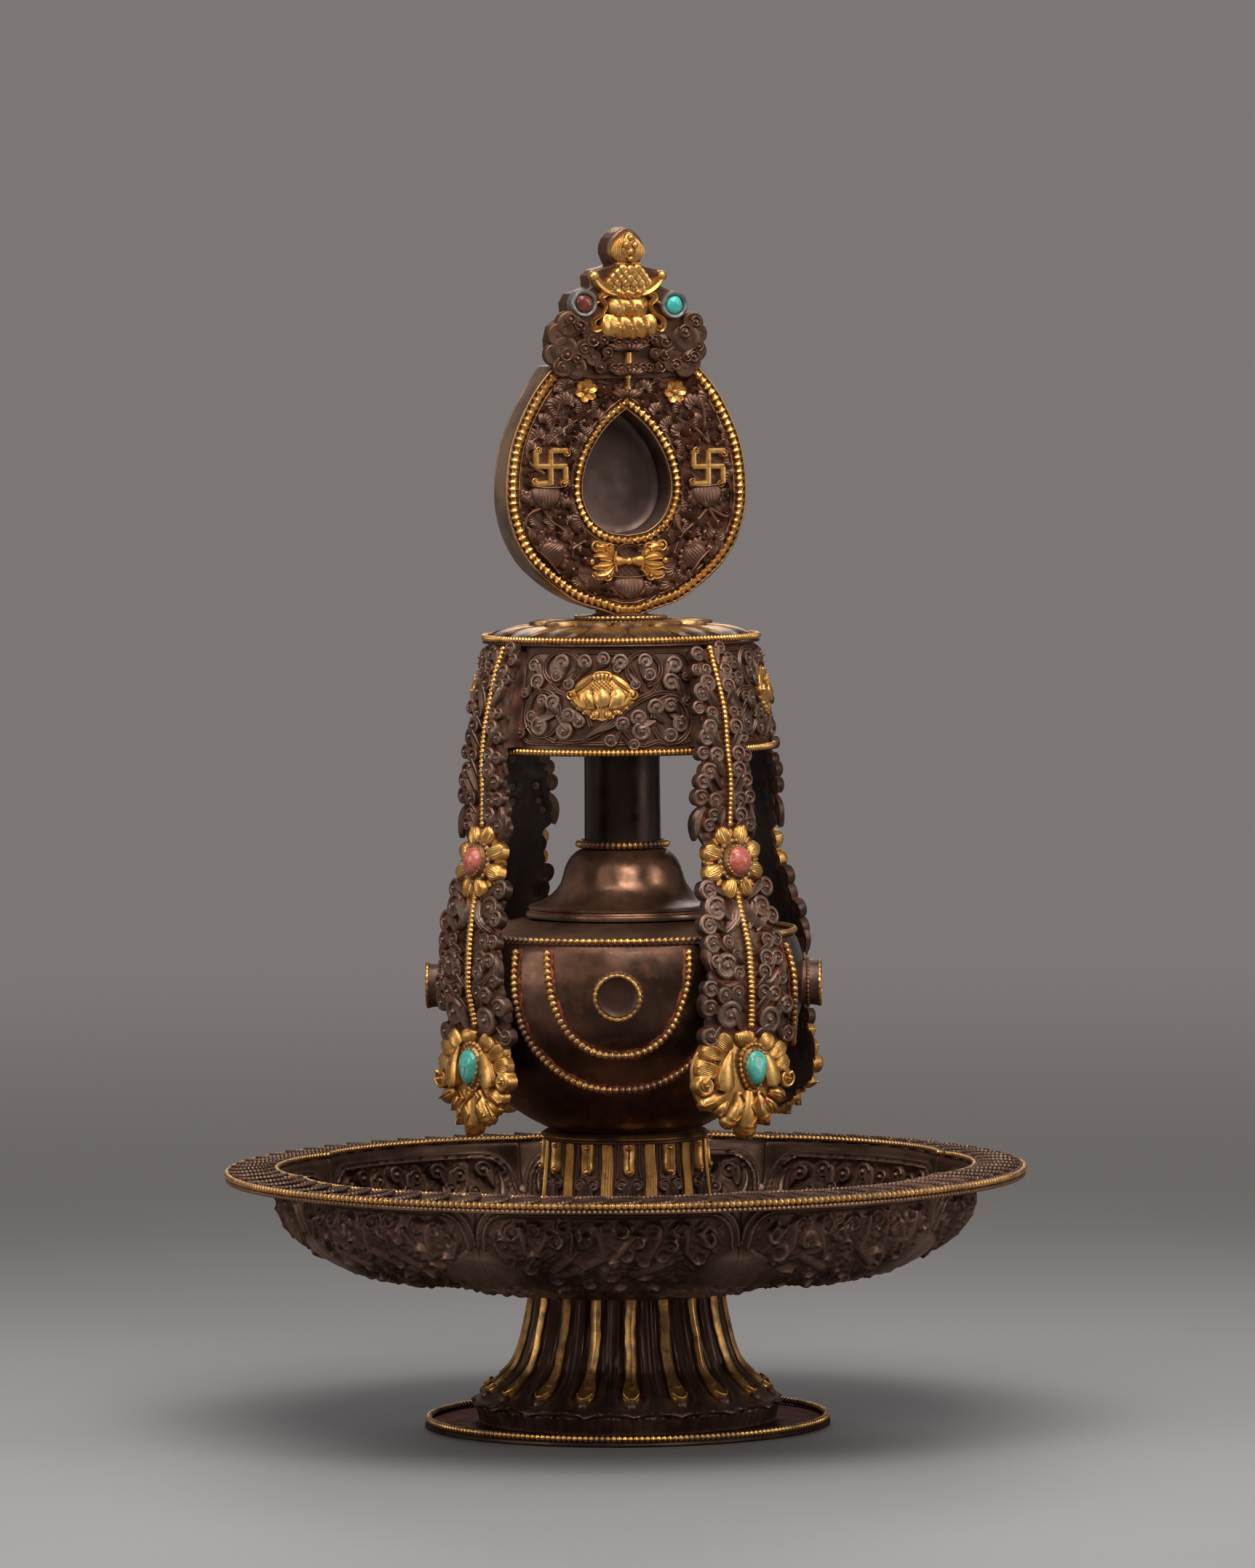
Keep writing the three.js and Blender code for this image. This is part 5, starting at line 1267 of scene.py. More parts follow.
# ------------------------------------------------------------------------- bulb
def bulb_r(z):
    z = np.asarray(z, float)
    low = 57.85 * np.sqrt(np.clip(1 - ((145.1 - z) / 54) ** 2, 0, 1))
    top = 57.85 - 2.55 * np.clip((z - 145.1) / 12.5, 0, 2) ** 2
    return np.where(z < 145.1, low, top)


zz = 145.1 - 49.15 * np.cos(np.linspace(0, PI / 2, 56))
outer = [(float(bulb_r(z)), float(z)) for z in zz] + [(float(bulb_r(z)), float(z)) for z in np.linspace(146, 156.4, 12)]
outer += [(55.25, 157.2), (55.0, 157.75), (54.4, 158.15), (53.4, 158.4), (50, 159.2), (46, 160.2), (41, 161.4), (36, 162.6), (32.2, 163.5)]
inn = [(r - 1.25 if z < 157 else r - 0.6, z - (0 if z < 157 else 1.15)) for r, z in outer[::-1] if z > 97.2]
inn = [(r, z) for r, z in inn] + [(23.0, 97.0)]
b = Bag()
bw = wavy(31, 0.07, (2, 3, 5, 8))
base0 = [(23.0, 95.95)]
lathe(b, base0 + outer + inn, 288, h=0.35, tone=0.3, bump=lambda a, r, z: bw(a, r, z * 0.6))
build("bulb", b.turned(VASE_TURN), M_BULB, "vase", ["vase_body"], sharp=50)
b = Bag()
sh = [(r, z + 0.14) for r, z in outer if z > 158.0]
lathe(b, [(54.3, 157.6)] + sh + [(32.2, 163.2), (41, 161.1), (50, 158.9)], 240, h=0.3, tone=0.3, bump=lambda a, r, z: bw(a, r, z * 0.6))
build("bulb_shoulder", b.turned(VASE_TURN), M_SHOULDER, "vase", (), sharp=50)
b = Bag()
ring_beads(b, 54.9, 159.5, 2.02, 1.02, 1.0, wobble=0.1, gold=lambda s_: np.clip(0.5 + 0.45 * np.cos(2 * PI * 4 * s_) + 0.3 * np.sin(2 * PI * 23 * s_), 0.05, 1), seed=8.0)
build("shoulder_beaded_wire", b.turned(VASE_TURN), M_WIRE, "vase", ["shoulder_bead_ring"])


def at_bulb(deg, z, off):
    r = bulb_r(z) + off
    a = np.asarray(deg) * RAD
    return np.stack([r * np.sin(a), -r * np.cos(a), np.asarray(z, float)], -1)


SWAG_OUT = [(35, 156.6), (34.4, 148.5), (33.6, 140), (31.8, 130), (27.8, 122.8), (22.2, 117.4), (14.6, 113.6), (7.2, 112.0), (0, 111.6)]
SWAG_IN = [(23.4, 156.6), (22.4, 149), (20.4, 140), (17, 131.6), (12, 126.4), (6, 123.7), (0, 123.1)]


def swag(points, n):
    half = spline(points, 10)
    full = np.concatenate([half * [-1, 1], half[::-1][1:]])
    return even(full, n)


sw = {"outer": swag(SWAG_OUT, 260), "inner": swag(SWAG_IN, 200)}
for side, turn in (("front", 0), ("right", 90), ("back", 180), ("left", 270)):
    for kind in ("outer", "inner"):
        b, pig = Bag(), Bag()
        dz_ = sw[kind]
        j = hash01(turn, 1 if kind == "outer" else 2)
        wob = 0.12 * np.sin(np.linspace(0, 23, len(dz_)) + 6 * j)
        C = at_bulb(dz_[:, 0] + wob, dz_[:, 1], 1.32)
        Nn = at_bulb(dz_[:, 0], dz_[:, 1], 2.3) - at_bulb(dz_[:, 0], dz_[:, 1], 1.3)
        low = np.clip((150 - dz_[:, 1]) / 22, 0, 1)
        worn = wavy(61 + turn + (3 if kind == "outer" else 0), 0.3, (3, 5, 9, 14))
        hi, lo = (0.85, 0.42) if kind == "inner" else (0.5, 0.25)
        gs = lambda s_: np.clip(lo + (hi - lo) * np.abs(2 * s_ - 1) ** 1.5 + worn(s_ * 2 * PI, 0, 0), 0, 1)
        beads(b, C, Nn, 2.03, 1.32, 1.15, gold=gs, seed=turn + 2.0, neck=0.58, xs=(0.0, 0.12, 0.24, 0.5, 0.76, 0.88))
        bt = b.turned(turn + VASE_TURN)
        build(f"{kind}_swag_beads_{side}", bt, M_SWAG, "vase", [f"{kind}_swag_{side}"])
        mp = lambda s, t, h: at_bulb(s / 57.0 / RAD, t, h)
        path = np.stack([(dz_[:, 0] + wob) * RAD * 57.0, dz_[:, 1]], -1)
        ww = 3.1 + 0.5 * np.sin(np.linspace(0, 70, len(path)) + 5 * j) + 0.35 * np.sin(np.linspace(0, 180, len(path)))
        ribbon(pig, mp, path, ww, 0.34, [(-0.5, 0), (-0.5, 0.3), (-0.3, 0.8), (0, 1.0), (0.3, 0.8), (0.5, 0.3), (0.5, 0)], base=-0.3)
        build(f"{kind}_swag_pigment_{side}", pig.turned(turn + VASE_TURN), M_PIGMENT, "vase", ())
    # the empty stone setting
    b = Bag()
    col = [(7.05, -2.2), (7.1, 2.6), (7.35, 4.0), (7.45, 4.6), (6.75, 4.75), (6.35, 4.2), (6.2, 1.0), (6.2, -2.2)]
    lathe(b, col, 72, h=lambda a, r, z: np.where(r > 6.9, 0.8, 0.25), tone=0.3)
    g = np.arange(120) / 120 * 2 * PI
    path = np.stack([6.95 * np.cos(g), 6.95 * np.sin(g), np.full(120, 4.8)], -1)
    n0 = Bag()
    beads(b, path, np.stack([np.cos(g) * 0.3, np.sin(g) * 0.3, np.full(120, 1.0)], -1), 1.95, 0.72, 0.75, closed=True, gold=lambda s_: np.clip(0.7 + 0.4 * np.sin(2 * PI * 3 * s_ + turn), 0, 1), seed=turn + 9.0, neck=0.7)
    path = np.stack([7.5 * np.cos(g), 7.5 * np.sin(g), np.full(120, 1.0)], -1)
    beads(b, path, np.tile([0, 0, 1.0], (120, 1)), 1.5, 0.6, 0.55, closed=True, gold=0.2, seed=turn + 19.0, neck=0.55, sides=6)
    floor_ = Bag()
    rr = [(0.0, 0.55), (2.0, 0.6), (4.0, 0.7), (5.6, 0.95), (6.25, 1.3), (6.3, -1.5), (0.0, -1.5)]
    disc_lathe(floor_, rr, 48, h=0.1, tone=1.0, bump=lambda a, r, z: 0.25 * np.sin(3 * a + turn) * (r < 6))

    def out_of(bg):
        o = Bag()
        o.q, o.t, o.a, o.n = bg.q, bg.t, bg.a, bg.n
        o.v = [np.stack([-P[:, 0], -(P[:, 2] + 58.15), P[:, 1] + 142.2], -1) for P in bg.v]
        return o.turned(turn + VASE_TURN)

    build(f"stone_setting_{side}", out_of(b), M_CHASED, "vase", [f"stone_collet_{side}"])
    build(f"stone_setting_floor_{side}", out_of(floor_), M_PAD, "vase", ())

# ---------------------------------------------------------- shoulder cap and neck
CAP = [(30.2, 163.85), (31.0, 164.1), (31.3, 164.9), (31.0, 165.7), (30.2, 166.0), (30.0, 166.5), (30.5, 166.9), (30.5, 167.5), (29.9, 167.9), (28.3, 168.35), (26.6, 169.0), (24.8, 170.0), (23.0, 171.3), (21.5, 172.8), (20.3, 174.5), (19.6, 176.4), (19.1, 178.3), (18.5, 180.2), (17.6, 182.0), (16.5, 183.5), (15.1, 184.8), (13.8, 185.6), (12.6, 185.9)]
inn = [(12.0, 185.0), (13.4, 184.3), (15.6, 182.0), (16.9, 179.8), (17.8, 177.4), (18.5, 175.2), (20.6, 172.2), (24.2, 169.0), (27.6, 167.2), (28.9, 166.4), (29.0, 163.85)]
b = Bag()
cw = wavy(41, 0.05, (3, 5, 8))
lathe(b, CAP + inn, 200, h=lambda a, r, z: 0.35 + 0.4 * (np.abs(z - 164.9) < 0.9) + 0.3 * (np.abs(z - 179) < 0.5), tone=0.3, bump=cw)
build("shoulder_cap_moulding", b.turned(VASE_TURN), M_CAP, "vase", ["shoulder_cap"], sharp=45)
b = Bag()
nk = [(12.25, 186.2), (12.3, 190), (12.2, 200), (12.1, 215), (12.0, 230), (11.9, 245), (11.9, 251.6), (11.6, 252.2), (10.8, 252.2), (10.5, 251.4), (10.6, 230), (10.75, 200), (10.8, 186.2)]
lathe(b, nk, 128, h=0.2, tone=0.9, bump=wavy(43, 0.05, (2, 4, 7)))
lathe(b, [(12.2 + 0.55 * math.cos(q), 250.4 + 0.5 * math.sin(q)) for q in np.linspace(0, 2 * PI, 9)[:-1]], 96, h=0.6, tone=0.5)
build("neck", b.turned(VASE_TURN), M_NECK, "vase", ["neck_tube"])
b = Bag()
ring_beads(b, 14.0, 187.45, 1.75, 1.35, 1.25, gold=lambda s_: np.clip(0.35 + 0.45 * np.sin(2 * PI * 5 * s_ + 1), 0, 1), seed=12.0)
lathe(b, [(12.6 + 0.8 * math.cos(q), 186.5 + 0.55 * math.sin(q)) for q in np.linspace(0, 2 * PI, 9)[:-1]], 96, h=0.6, tone=0.5)
build("neck_beaded_wire", b.turned(VASE_TURN), M_WIRE, "vase", ["neck_bead_ring"])

# ----------------------------------------------------------------- canopy's band
BAND = [(47.3, 217.6), (47.2, 219.5), (47, 221.5), (46.3, 229), (45.2, 238), (43.8, 246), (42.4, 251.9)]
bandp = [tuple(p) for p in spline(BAND, 8)]
BM = Turned(bandp, ref=45.2)
b = Bag()
ins = [(41.0, 251.9), (42.4, 246), (43.9, 238), (45.0, 229), (45.7, 221.5), (46.0, 217.6)]
bwv = wavy(51, 0.12, (4, 7, 11, 19))
lathe(b, bandp + ins, 288, h=0.25, tone=0.2, bump=lambda a, r, z: bwv(a, r, z) * (r > 42))
build("canopy_wall", b.turned(LID_TURN), M_CHASED, "lid", ["canopy_band"])


def dx(col):
    return (col - 660) * 0.0563


def dzr(row):
    return 236.5 - (row - 430) / 22.0


def D(col, row):
    return (dx(col), dzr(row))


def ring_path(cx, cy, rx, ry, a0, a1, n=48):
    q = np.linspace(a0, a1, n) * RAD
    c = D(cx, cy)
    return np.stack([c[0] + rx * 0.0563 * np.cos(q), c[1] + ry / 22.0 * np.sin(q)], -1)


def rounded_frame(x0, x1, z0, z1, r, n=12):
    P = []
    for cx, cz, a0 in ((x1 - r, z1 - r, 0), (x0 + r, z1 - r, 90), (x0 + r, z0 + r, 180), (x1 - r, z0 + r, 270)):
        for q in np.linspace(a0, a0 + 90, n):
            P.append((cx + r * math.cos(q * RAD), cz + r * math.sin(q * RAD)))
    P.append(P[0])
    return even(np.array(P), 150)


# curls of one panel: centre column and row in the photo's flattened view, radius in mm, tail point, sense
CURLS = [
    (412, 200, 2.9, (395, 320), -1), (393, 285, 2.3, (440, 230), 1), (470, 345, 2.2, (500, 250), -1),
    (555, 195, 2.7, (520, 290), -1), (663, 172, 2.4, (625, 240), -1), (762, 196, 2.9, (745, 300), 1), (745, 240, 1.6, (780, 215), -1),
    (905, 190, 2.7, (925, 330), 1), (925, 282, 2.3, (870, 220), -1), (842, 352, 1.9, (800, 250), 1),
    (1075, 220, 3.0, (1000, 330), 1), (1045, 338, 3.1, (1110, 440), -1), (235, 222, 2.4, (300, 330), -1), (270, 330, 2.8, (300, 420), 1),
    (308, 458, 2.2, (280, 540), -1), (378, 472, 2.9, (420, 560), 1), (247, 572, 2.3, (320, 520), 1), (300, 640, 3.4, (390, 560), -1),
    (470, 560, 2.6, (400, 640), -1), (448, 672, 3.0, (400, 560), 1), (530, 606, 2.3, (500, 520), 1),
    (955, 508, 2.9, (1000, 620), 1), (1035, 498, 2.5, (1100, 580), -1), (858, 578, 2.8, (920, 690), 1), (772, 620, 2.5, (820, 700), 1),
    (1086, 626, 3.0, (1030, 560), 1), (1028, 702, 2.7, (960, 620), -1), (872, 676, 3.1, (950, 600), -1), (707, 735, 2.3, (760, 660), 1), (830, 762, 2.0, (770, 720), -1),
    (190, 410, 1.9, (230, 330), 1), (1130, 470, 1.7, (1100, 400), 1), (180, 690, 1.9, (230, 640), -1), (1140, 300, 1.7, (1110, 250), 1),
]
panel = Bag()
for turn in (0, 90, 180, 270):
    m = BM.facing(turn)
    one = Bag()
    fr_ = rounded_frame(dx(160), dx(1185), dzr(757), dzr(122), 5.2)
    ribbon(one, m, fr_, 1.3, 0.7, DOUBLE, tone=0.3)
    for cx, cy, rx, ry, a0, a1 in ((418, 232, 112, 112, -60, 268), (312, 552, 108, 158, -20, 330), (895, 245, 98, 112, -80, 250), (1040, 598, 106, 160, -160, 175)):
        ribbon(one, m, ring_path(cx, cy, rx, ry, a0, a1), 1.7, 1.35, DOUBLE, tone=0.25)
    # stems that join the rings and run under the medallion
    for pts in (
        [(330, 300), (400, 390), (480, 430), (560, 520), (600, 640)],
        [(210, 560), (250, 420), (340, 395), (430, 410), (520, 500)],
        [(985, 300), (940, 400), (860, 450), (780, 540), (700, 650)],
        [(1146, 560), (1090, 430), (980, 410), (880, 455), (800, 520)],
        [(440, 745), (540, 740), (640, 690), (720, 620)],
        [(760, 640), (860, 770), (960, 745), (1020, 770)],
        [(400, 745), (330, 712), (260, 700)],
        [(500, 300), (510, 200), (470, 140)],
        [(700, 130), (800, 150), (830, 240), (870, 330), (880, 400)],
    ):
        P = even(spline([D(*p) for p in pts], 8), 36)
        ribbon(one, m, P, 1.5, 1.2, DOUBLE, tone=0.3)
    for k_, (cx, cy, r, tl, d) in enumerate(CURLS):
        j = hash01(turn + 1, k_)
        # in the flattened view turning to the right means turning clockwise
        curl(one, m, D(cx, cy), r * (0.96 + 0.08 * j), D(*tl), -d, H=1.75 + 0.3 * hash01(k_, 3), tone=0.15 + 0.2 * j, wide=1.1)
    # the striped feather under the medallion
    for off in range(4):
        P = [(545 + 12 * off, 745 - 9 * off), (600 + 14 * off, 690 - 6 * off), (650 + 20 * off, 640 + off), (700 + 22 * off, 585 + 4 * off)]
        leaf(one, m, [D(*p) for p in P], 1.5, 2.0, ribs=1, n=16, tone=0.1)
    panel.join(one)
build("canopy_wall_scrolls", panel.turned(LID_TURN), M_CHASED, "lid", ())

b = Bag()
ring_beads(b, 48.5, 218.9, 1.47, 1.08, 1.1, wobble=0.12, gold=0.97, seed=14.0)
build("canopy_lower_beaded_wire", b.turned(LID_TURN), M_WIRE, "lid", ["canopy_bottom_bead_ring"])
b = Bag()
ring_beads(b, 43.9, 254.1, 1.4, 1.08, 1.08, wobble=0.12, gold=0.97, seed=15.0)
build("canopy_upper_beaded_wire", b.turned(LID_TURN), M_WIRE, "lid", ["canopy_top_bead_ring"])

# ------------------------------------------------------------------- canopy's top
b = Bag()
tp = [(0, 258.0), (8, 258.0), (14.9, 257.95), (15.6, 257.75), (20, 257.4), (28, 256.9), (34, 256.1), (38.5, 255.0), (41.0, 253.9), (42.6, 252.95), (44.3, 252.8), (44.5, 252.5), (44.3, 252.2), (42.0, 252.1), (40.4, 252.3), (36, 254.2), (28, 255.6), (18, 256.3), (0, 256.5)]
disc_lathe(b, tp, 240, h=0.5, tone=0.4, bump=lambda a, r, z: 0.1 * np.sin(a * 40) * (r > 43) * (r < 44.6))
build("canopy_roof", b.turned(LID_TURN), M_CHASED, "lid", ["canopy_top"])
b = Bag()
TP = Turned([(12.0, 258.0), (15.6, 257.75), (20, 257.4), (28, 256.9), (34, 256.1), (38.5, 255.0), (41.0, 253.9), (43.0, 252.95)], side=-1)


def on_roof(ang):
    m = TP.facing(ang)
    return lambda s, t, h: m.at(s, t, h)


for tier, (n_, t0, t1, w, rise) in enumerate(((16, 12.0, 31.0, 13.5, 0.9), (12, 1.5, 17.5, 11.5, 1.6))):
    for i in range(n_):
        f = on_roof((i + 0.5 * tier) * 360 / n_)
        L = t1 - t0
        u = np.linspace(0, 1, 18)
        wv = w * (0.42 + 0.58 * np.sin(np.clip(u * 1.3, 0, 1) * PI / 2)) * np.sqrt(np.clip(1 - np.clip((u - 0.6) / 0.4, 0, 1) ** 2.2, 0.0025, 1))
        q = np.linspace(-0.5, 0.5, 13)
        pr = [(-0.5, 0)] + [(x, 0.45 + 0.5 * (1 - (2 * abs(x)) ** 2) + 0.55 * math.exp(-(((abs(x) - 0.43) / 0.05) ** 2)) - 0.12 * (math.cos(x * 2 * PI * 7) > 0.3)) for x in q] + [(0.5, 0)]
        gu = np.clip(1.25 - np.abs(u - (0.42 if tier == 0 else 0.6)) * 3.2, 0, 1)
        ribbon(b, f, np.stack([np.zeros(18), t0 + L * u], -1), wv, (rise + 0.4) * (0.75 + 0.6 * u - 0.35 * u**6), pr, base=-0.4, gold=np.repeat(gu, len(pr)) * 0.85, tone=0.3, href=1.9)
build("canopy_roof_petals", b.turned(LID_TURN), M_PED, "lid", ())
for name, mat in (("neck_plug", M_CHASED),):
    o = bpy.data.objects[name]
    o.data.materials.clear()
    o.data.materials.append(mat)

# -------------------------------------------------------------- lotus medallions
MED = [(660, 255), (690, 258), (712, 276), (728, 302), (768, 318), (800, 346), (818, 380), (842, 392), (852, 412), (850, 436), (832, 456), (832, 478), (806, 496), (800, 522), (772, 532), (764, 556), (732, 560), (718, 586), (690, 590), (660, 605)]


def medallion(bag, m):
    """A lotus seen from the side: a scalloped plate, petals, a seed head and two curled side leaves."""
    Z = 236.5
    half = np.array([((c - 660) * 0.0563 * 1.02, (430 - r) / 22.0) for c, r in MED])
    half = spline(half, 5)
    out = even(np.concatenate([half, (half[::-1] * [-1, 1])[1:-1]]), 200, True)
    rings_, hs = [], []
    for f, h in ((1.0, -0.5), (1.0, 0.95), (0.985, 1.25), (0.95, 1.3), (0.90, 1.0), (0.7, 1.25), (0.4, 1.4), (0.1, 1.45)):
        rings_.append(out * f)
        hs.append(np.full(len(out), h))
    P2, H = np.concatenate(rings_), np.concatenate(hs)
    P2 = np.concatenate([P2, [[0, 0], [0, 0]]])
    H = np.concatenate([H, [-0.5, 1.45]])
    ang = np.arctan2(P2[:, 1], P2[:, 0])
    rr = np.hypot(P2[:, 0] / 10.4, P2[:, 1] / 8)
    H = H + np.where((rr > 0.62) & (P2[:, 1] < -0.5) & (H > 0.9), 0.22 * np.cos(ang * 34), 0)
    P3 = m(P2[:, 0], P2[:, 1] + Z, H)
    n_, r_ = len(out), len(rings_)
    quads = faces_of(r_, n_, False, True)
    j = np.arange(n_)
    tris = np.concatenate([np.stack([np.full(n_, r_ * n_), (j + 1) % n_, j], -1), np.stack([np.full(n_, r_ * n_ + 1), (r_ - 1) * n_ + j, (r_ - 1) * n_ + (j + 1) % n_], -1)])
    bag.put(P3, quads, tris, gold=0.97, h=np.clip(H / 1.6, 0, 1), tone=0.3)
    M = lambda c, r: ((c - 660) * 0.0563, Z + (430 - r) / 22.0)

    def petal(pts, w, h, top=0.72, base=0.4):
        P = even(spline([M(*q) for q in pts], 8), 20)
        u = np.linspace(0, 1, 20)
        wv = w * np.sqrt(np.clip(np.sin(np.clip(0.12 + u * 0.80, 0, 1) * PI), 0, 1)) * np.where(u > 0.8, np.sqrt(np.clip(1.03 - ((u - 0.8) / 0.2) ** 2 * 0.9, 0, 1)), 1)
        pr = [(-0.5, 0), (-0.5, 0.6), (-0.45, 0.82), (-0.36, 0.80), (-0.2, 0.93), (0, 1.0), (0.2, 0.93), (0.36, 0.80), (0.45, 0.82), (0.5, 0.6), (0.5, 0)]
        ribbon(bag, m, P, wv, h * (0.86 + 0.14 * np.sin(u * PI)), pr, base=base, gold=1.0, tone=0.2, href=4.0)

    for e in (-1, 1):
        x = lambda c: 660 + e * (c - 660)
        # ribbed lower scallops
        for k_, (c0, r0, c1, r1, w) in enumerate(((690, 520, 700, 582, 2.2), (728, 505, 752, 556, 2.3), (762, 485, 796, 524, 2.2), (786, 466, 828, 486, 1.9))):
            leaf(bag, m, [M(x(c0), r0), M(x((c0 + c1) / 2), (r0 + r1) / 2), M(x(c1), r1)], w * 1.1, 2.1, ribs=2, n=10, gold=0.97, tone=0.3, tip=0.35, belly=0.6, amp=0.14, href=4)
        # the long side leaf that ends in a curl
        P = even(spline([M(x(700), 505), M(x(765), 500), M(x(800), 460), M(x(822), 430)], 8), 20)
        ribbon(bag, m, P, 2.6, 2.3, ROUND, base=0.4, gold=1.0, tone=0.25, href=4)
        curl(bag, m, M(x(826), 425), 1.75, M(x(790), 370), -e, H=2.7, gold=1.0, tone=0.1, knob=0.3, href=4, base=0.2)
        P = even(spline([M(x(716), 290), M(x(752), 328), M(x(792), 366), M(x(812), 395)], 8), 20)
        u = np.linspace(0, 1, 20)
        ribbon(bag, m, P, 2.9 * np.sin(np.clip(0.15 + 0.7 * u, 0, 1) * PI), 2.1, striped(2, 0.1), base=0.3, gold=0.98, tone=0.3, href=4)
        petal([(x(736), 388), (x(744), 440), (x(704), 500)], 5.0, 2.9)
    # seed head with a crosshatched field
    S, T = np.meshgrid(np.linspace(-1, 1, 49), np.linspace(0, 1, 29), indexing="ij")
    X = S * (2.3 + 1.9 * T) * np.sqrt(np.clip(1.05 - T**4 * 0.75, 0, 1))
    Y = Z + 1.2 + 3.6 * T - 0.5 * S**2
    hatch = np.cos((X * 0.9 + (Y - Z)) * 5.4) + np.cos((X * 0.9 - (Y - Z)) * 5.4)
    Hh = 2.5 + 0.35 * (1 - S**2) + 0.15 * hatch
    grid_solid(bag, m(X, Y, Hh), m(X, Y, np.full_like(X, 0.5)), gold=1.0, h=np.clip(0.55 + 0.4 * hatch, 0, 1), tone=0.35)
    petal([(660, 384), (660, 440), (660, 508)], 5.4, 3.6)
    # the fan on top
    for i in range(-2, 3):
        leaf(bag, m, [M(660 + i * 12, 345), M(660 + i * 22, 300), M(660 + i * 24, 266 + 5 * abs(i))], 1.7, 2.2, ribs=1, n=10, gold=0.98, tone=0.3, tip=0.3, belly=0.7, amp=0.1, base=0.3, href=4)


for side, turn in (("front", 0), ("right", 90), ("back", 180), ("left", 270)):
    b = Bag()
    medallion(b, BM.facing(turn))
    build(f"lotus_plate_{side}", b.turned(LID_TURN), M_GILT, "lid", [f"lotus_medallion_{side}"], sharp=32)

# --------------------------------------------------------------------- streamers
SR = [(251.1, 45.3), (242.7, 48.7), (229.9, 52.4), (220.7, 53.7), (212.9, 54.5), (194.5, 54.3), (183.7, 55.8), (172.6, 58.1), (157.8, 62.8), (144, 64.7), (131.8, 63.2), (119.3, 62.7), (97, 62.7)]
SWD = [(251.1, 8.2), (240, 9.8), (219, 11.1), (205, 12.6), (192, 14.2), (189.5, 10.8), (184, 12.4), (178, 12), (175, 14.2), (164, 15.4), (152, 16.4), (143, 17.8), (130, 18.2), (124, 18.6), (114, 19.8), (107, 17), (101, 9.5), (97, 2.6)]
srf = smooth_table(SR, 0.25, 2.2)
swf = smooth_table(SWD, 0.25, 0.6)


def straight(s, z, h):
    """Flat strap coordinates to the lid's frame, before the turn to its corner."""
    s, z, h = np.broadcast_arrays(np.asarray(s, float), np.asarray(z, float), np.asarray(h, float))
    r = srf(z)
    d = (srf(z + 0.5) - srf(z - 0.5)) / 1.0
    n = np.sqrt(1 + d * d)
    w = np.maximum(swf(z), 4)
    bow = 0.5 * (1 - np.clip(np.abs(s) / w, 0, 1)) - 0.045 * np.clip(np.abs(s) - w * 0.5, 0, 9) ** 1.3
    return np.stack([s, -(r + bow + h / n), z - h * d / n], -1)


def bent(s, z, h):
    """The front left strap: its lower end is pushed in towards the vase."""
    P = straight(s, z, h)
    k = np.clip((182 - P[..., 2]) / 52, 0, 1)
    P[..., 1] += 4.3 * k * k * (3 - 2 * k)
    return P


strap = straight


def strap_centre(row):
    return np.interp(row, [0, 700, 1500, 1980], [248, 250, 268, 272])


def SPX(col, row):
    return ((col - float(strap_centre(row))) / 12.0, 255 - row / 12.0)


LEFT = [(178, 72, 2.6, (225, 110), 1), (155, 130, 2.0, (215, 150), -1), (200, 130, 1.9, (228, 190), -1), (195, 180, 3.3, (225, 270), -1), (158, 215, 3.2, (205, 290), 1), (190, 292, 2.4, (225, 350), -1), (130, 272, 2.3, (200, 320), 1), (173, 342, 3.1, (222, 420), -1), (152, 380, 3.2, (205, 440), 1), (130, 441, 2.4, (205, 480), 1), (190, 450, 2.9, (222, 530), -1), (150, 510, 3.0, (215, 580), 1), (125, 546, 2.8, (195, 620), 1), (115, 606, 3.0, (185, 650), 1), (180, 616, 2.9, (222, 690), -1), (170, 674, 2.5, (215, 730), 1), (150, 712, 2.6, (205, 750), 1)]
RIGHT = [(290, 50, 2.4, (262, 110), -1), (320, 90, 2.2, (270, 140), -1), (290, 137, 2.7, (262, 200), -1), (285, 192, 2.9, (262, 270), 1), (318, 165, 1.9, (275, 210), -1), (288, 292, 2.1, (262, 340), 1), (318, 292, 1.9, (275, 350), -1), (290, 345, 3.0, (265, 430), 1), (328, 382, 2.3, (272, 440), -1), (290, 446, 2.9, (264, 520), 1), (335, 456, 2.4, (280, 500), -1), (290, 506, 3.1, (264, 590), 1), (330, 546, 2.8, (275, 610), -1), (298, 616, 2.9, (266, 690), 1), (345, 613, 2.6, (300, 660), -1), (297, 676, 3.0, (268, 740), 1), (345, 716, 2.9, (290, 760), -1)]
LOWL = [(120, 962, 3.5, (215, 990), 1), (140, 1030, 4.4, (225, 1100), 1), (95, 1090, 3.6, (190, 1130), 1), (100, 1160, 3.3, (180, 1200), 1), (172, 1155, 2.5, (232, 1200), -1), (152, 1245, 4.6, (235, 1330), 1), (207, 1272, 2.5, (240, 1330), -1), (75, 1325, 3.0, (150, 1390), 1), (140, 1350, 2.9, (215, 1400), -1), (200, 1345, 2.9, (246, 1420), -1), (75, 1397, 3.2, (140, 1450), 1), (165, 1427, 4.9, (240, 1500), 1), (85, 1506, 3.5, (150, 1450), -1), (110, 1225, 2.6, (170, 1290), 1), (205, 1200, 1.9, (240, 1240), -1)]
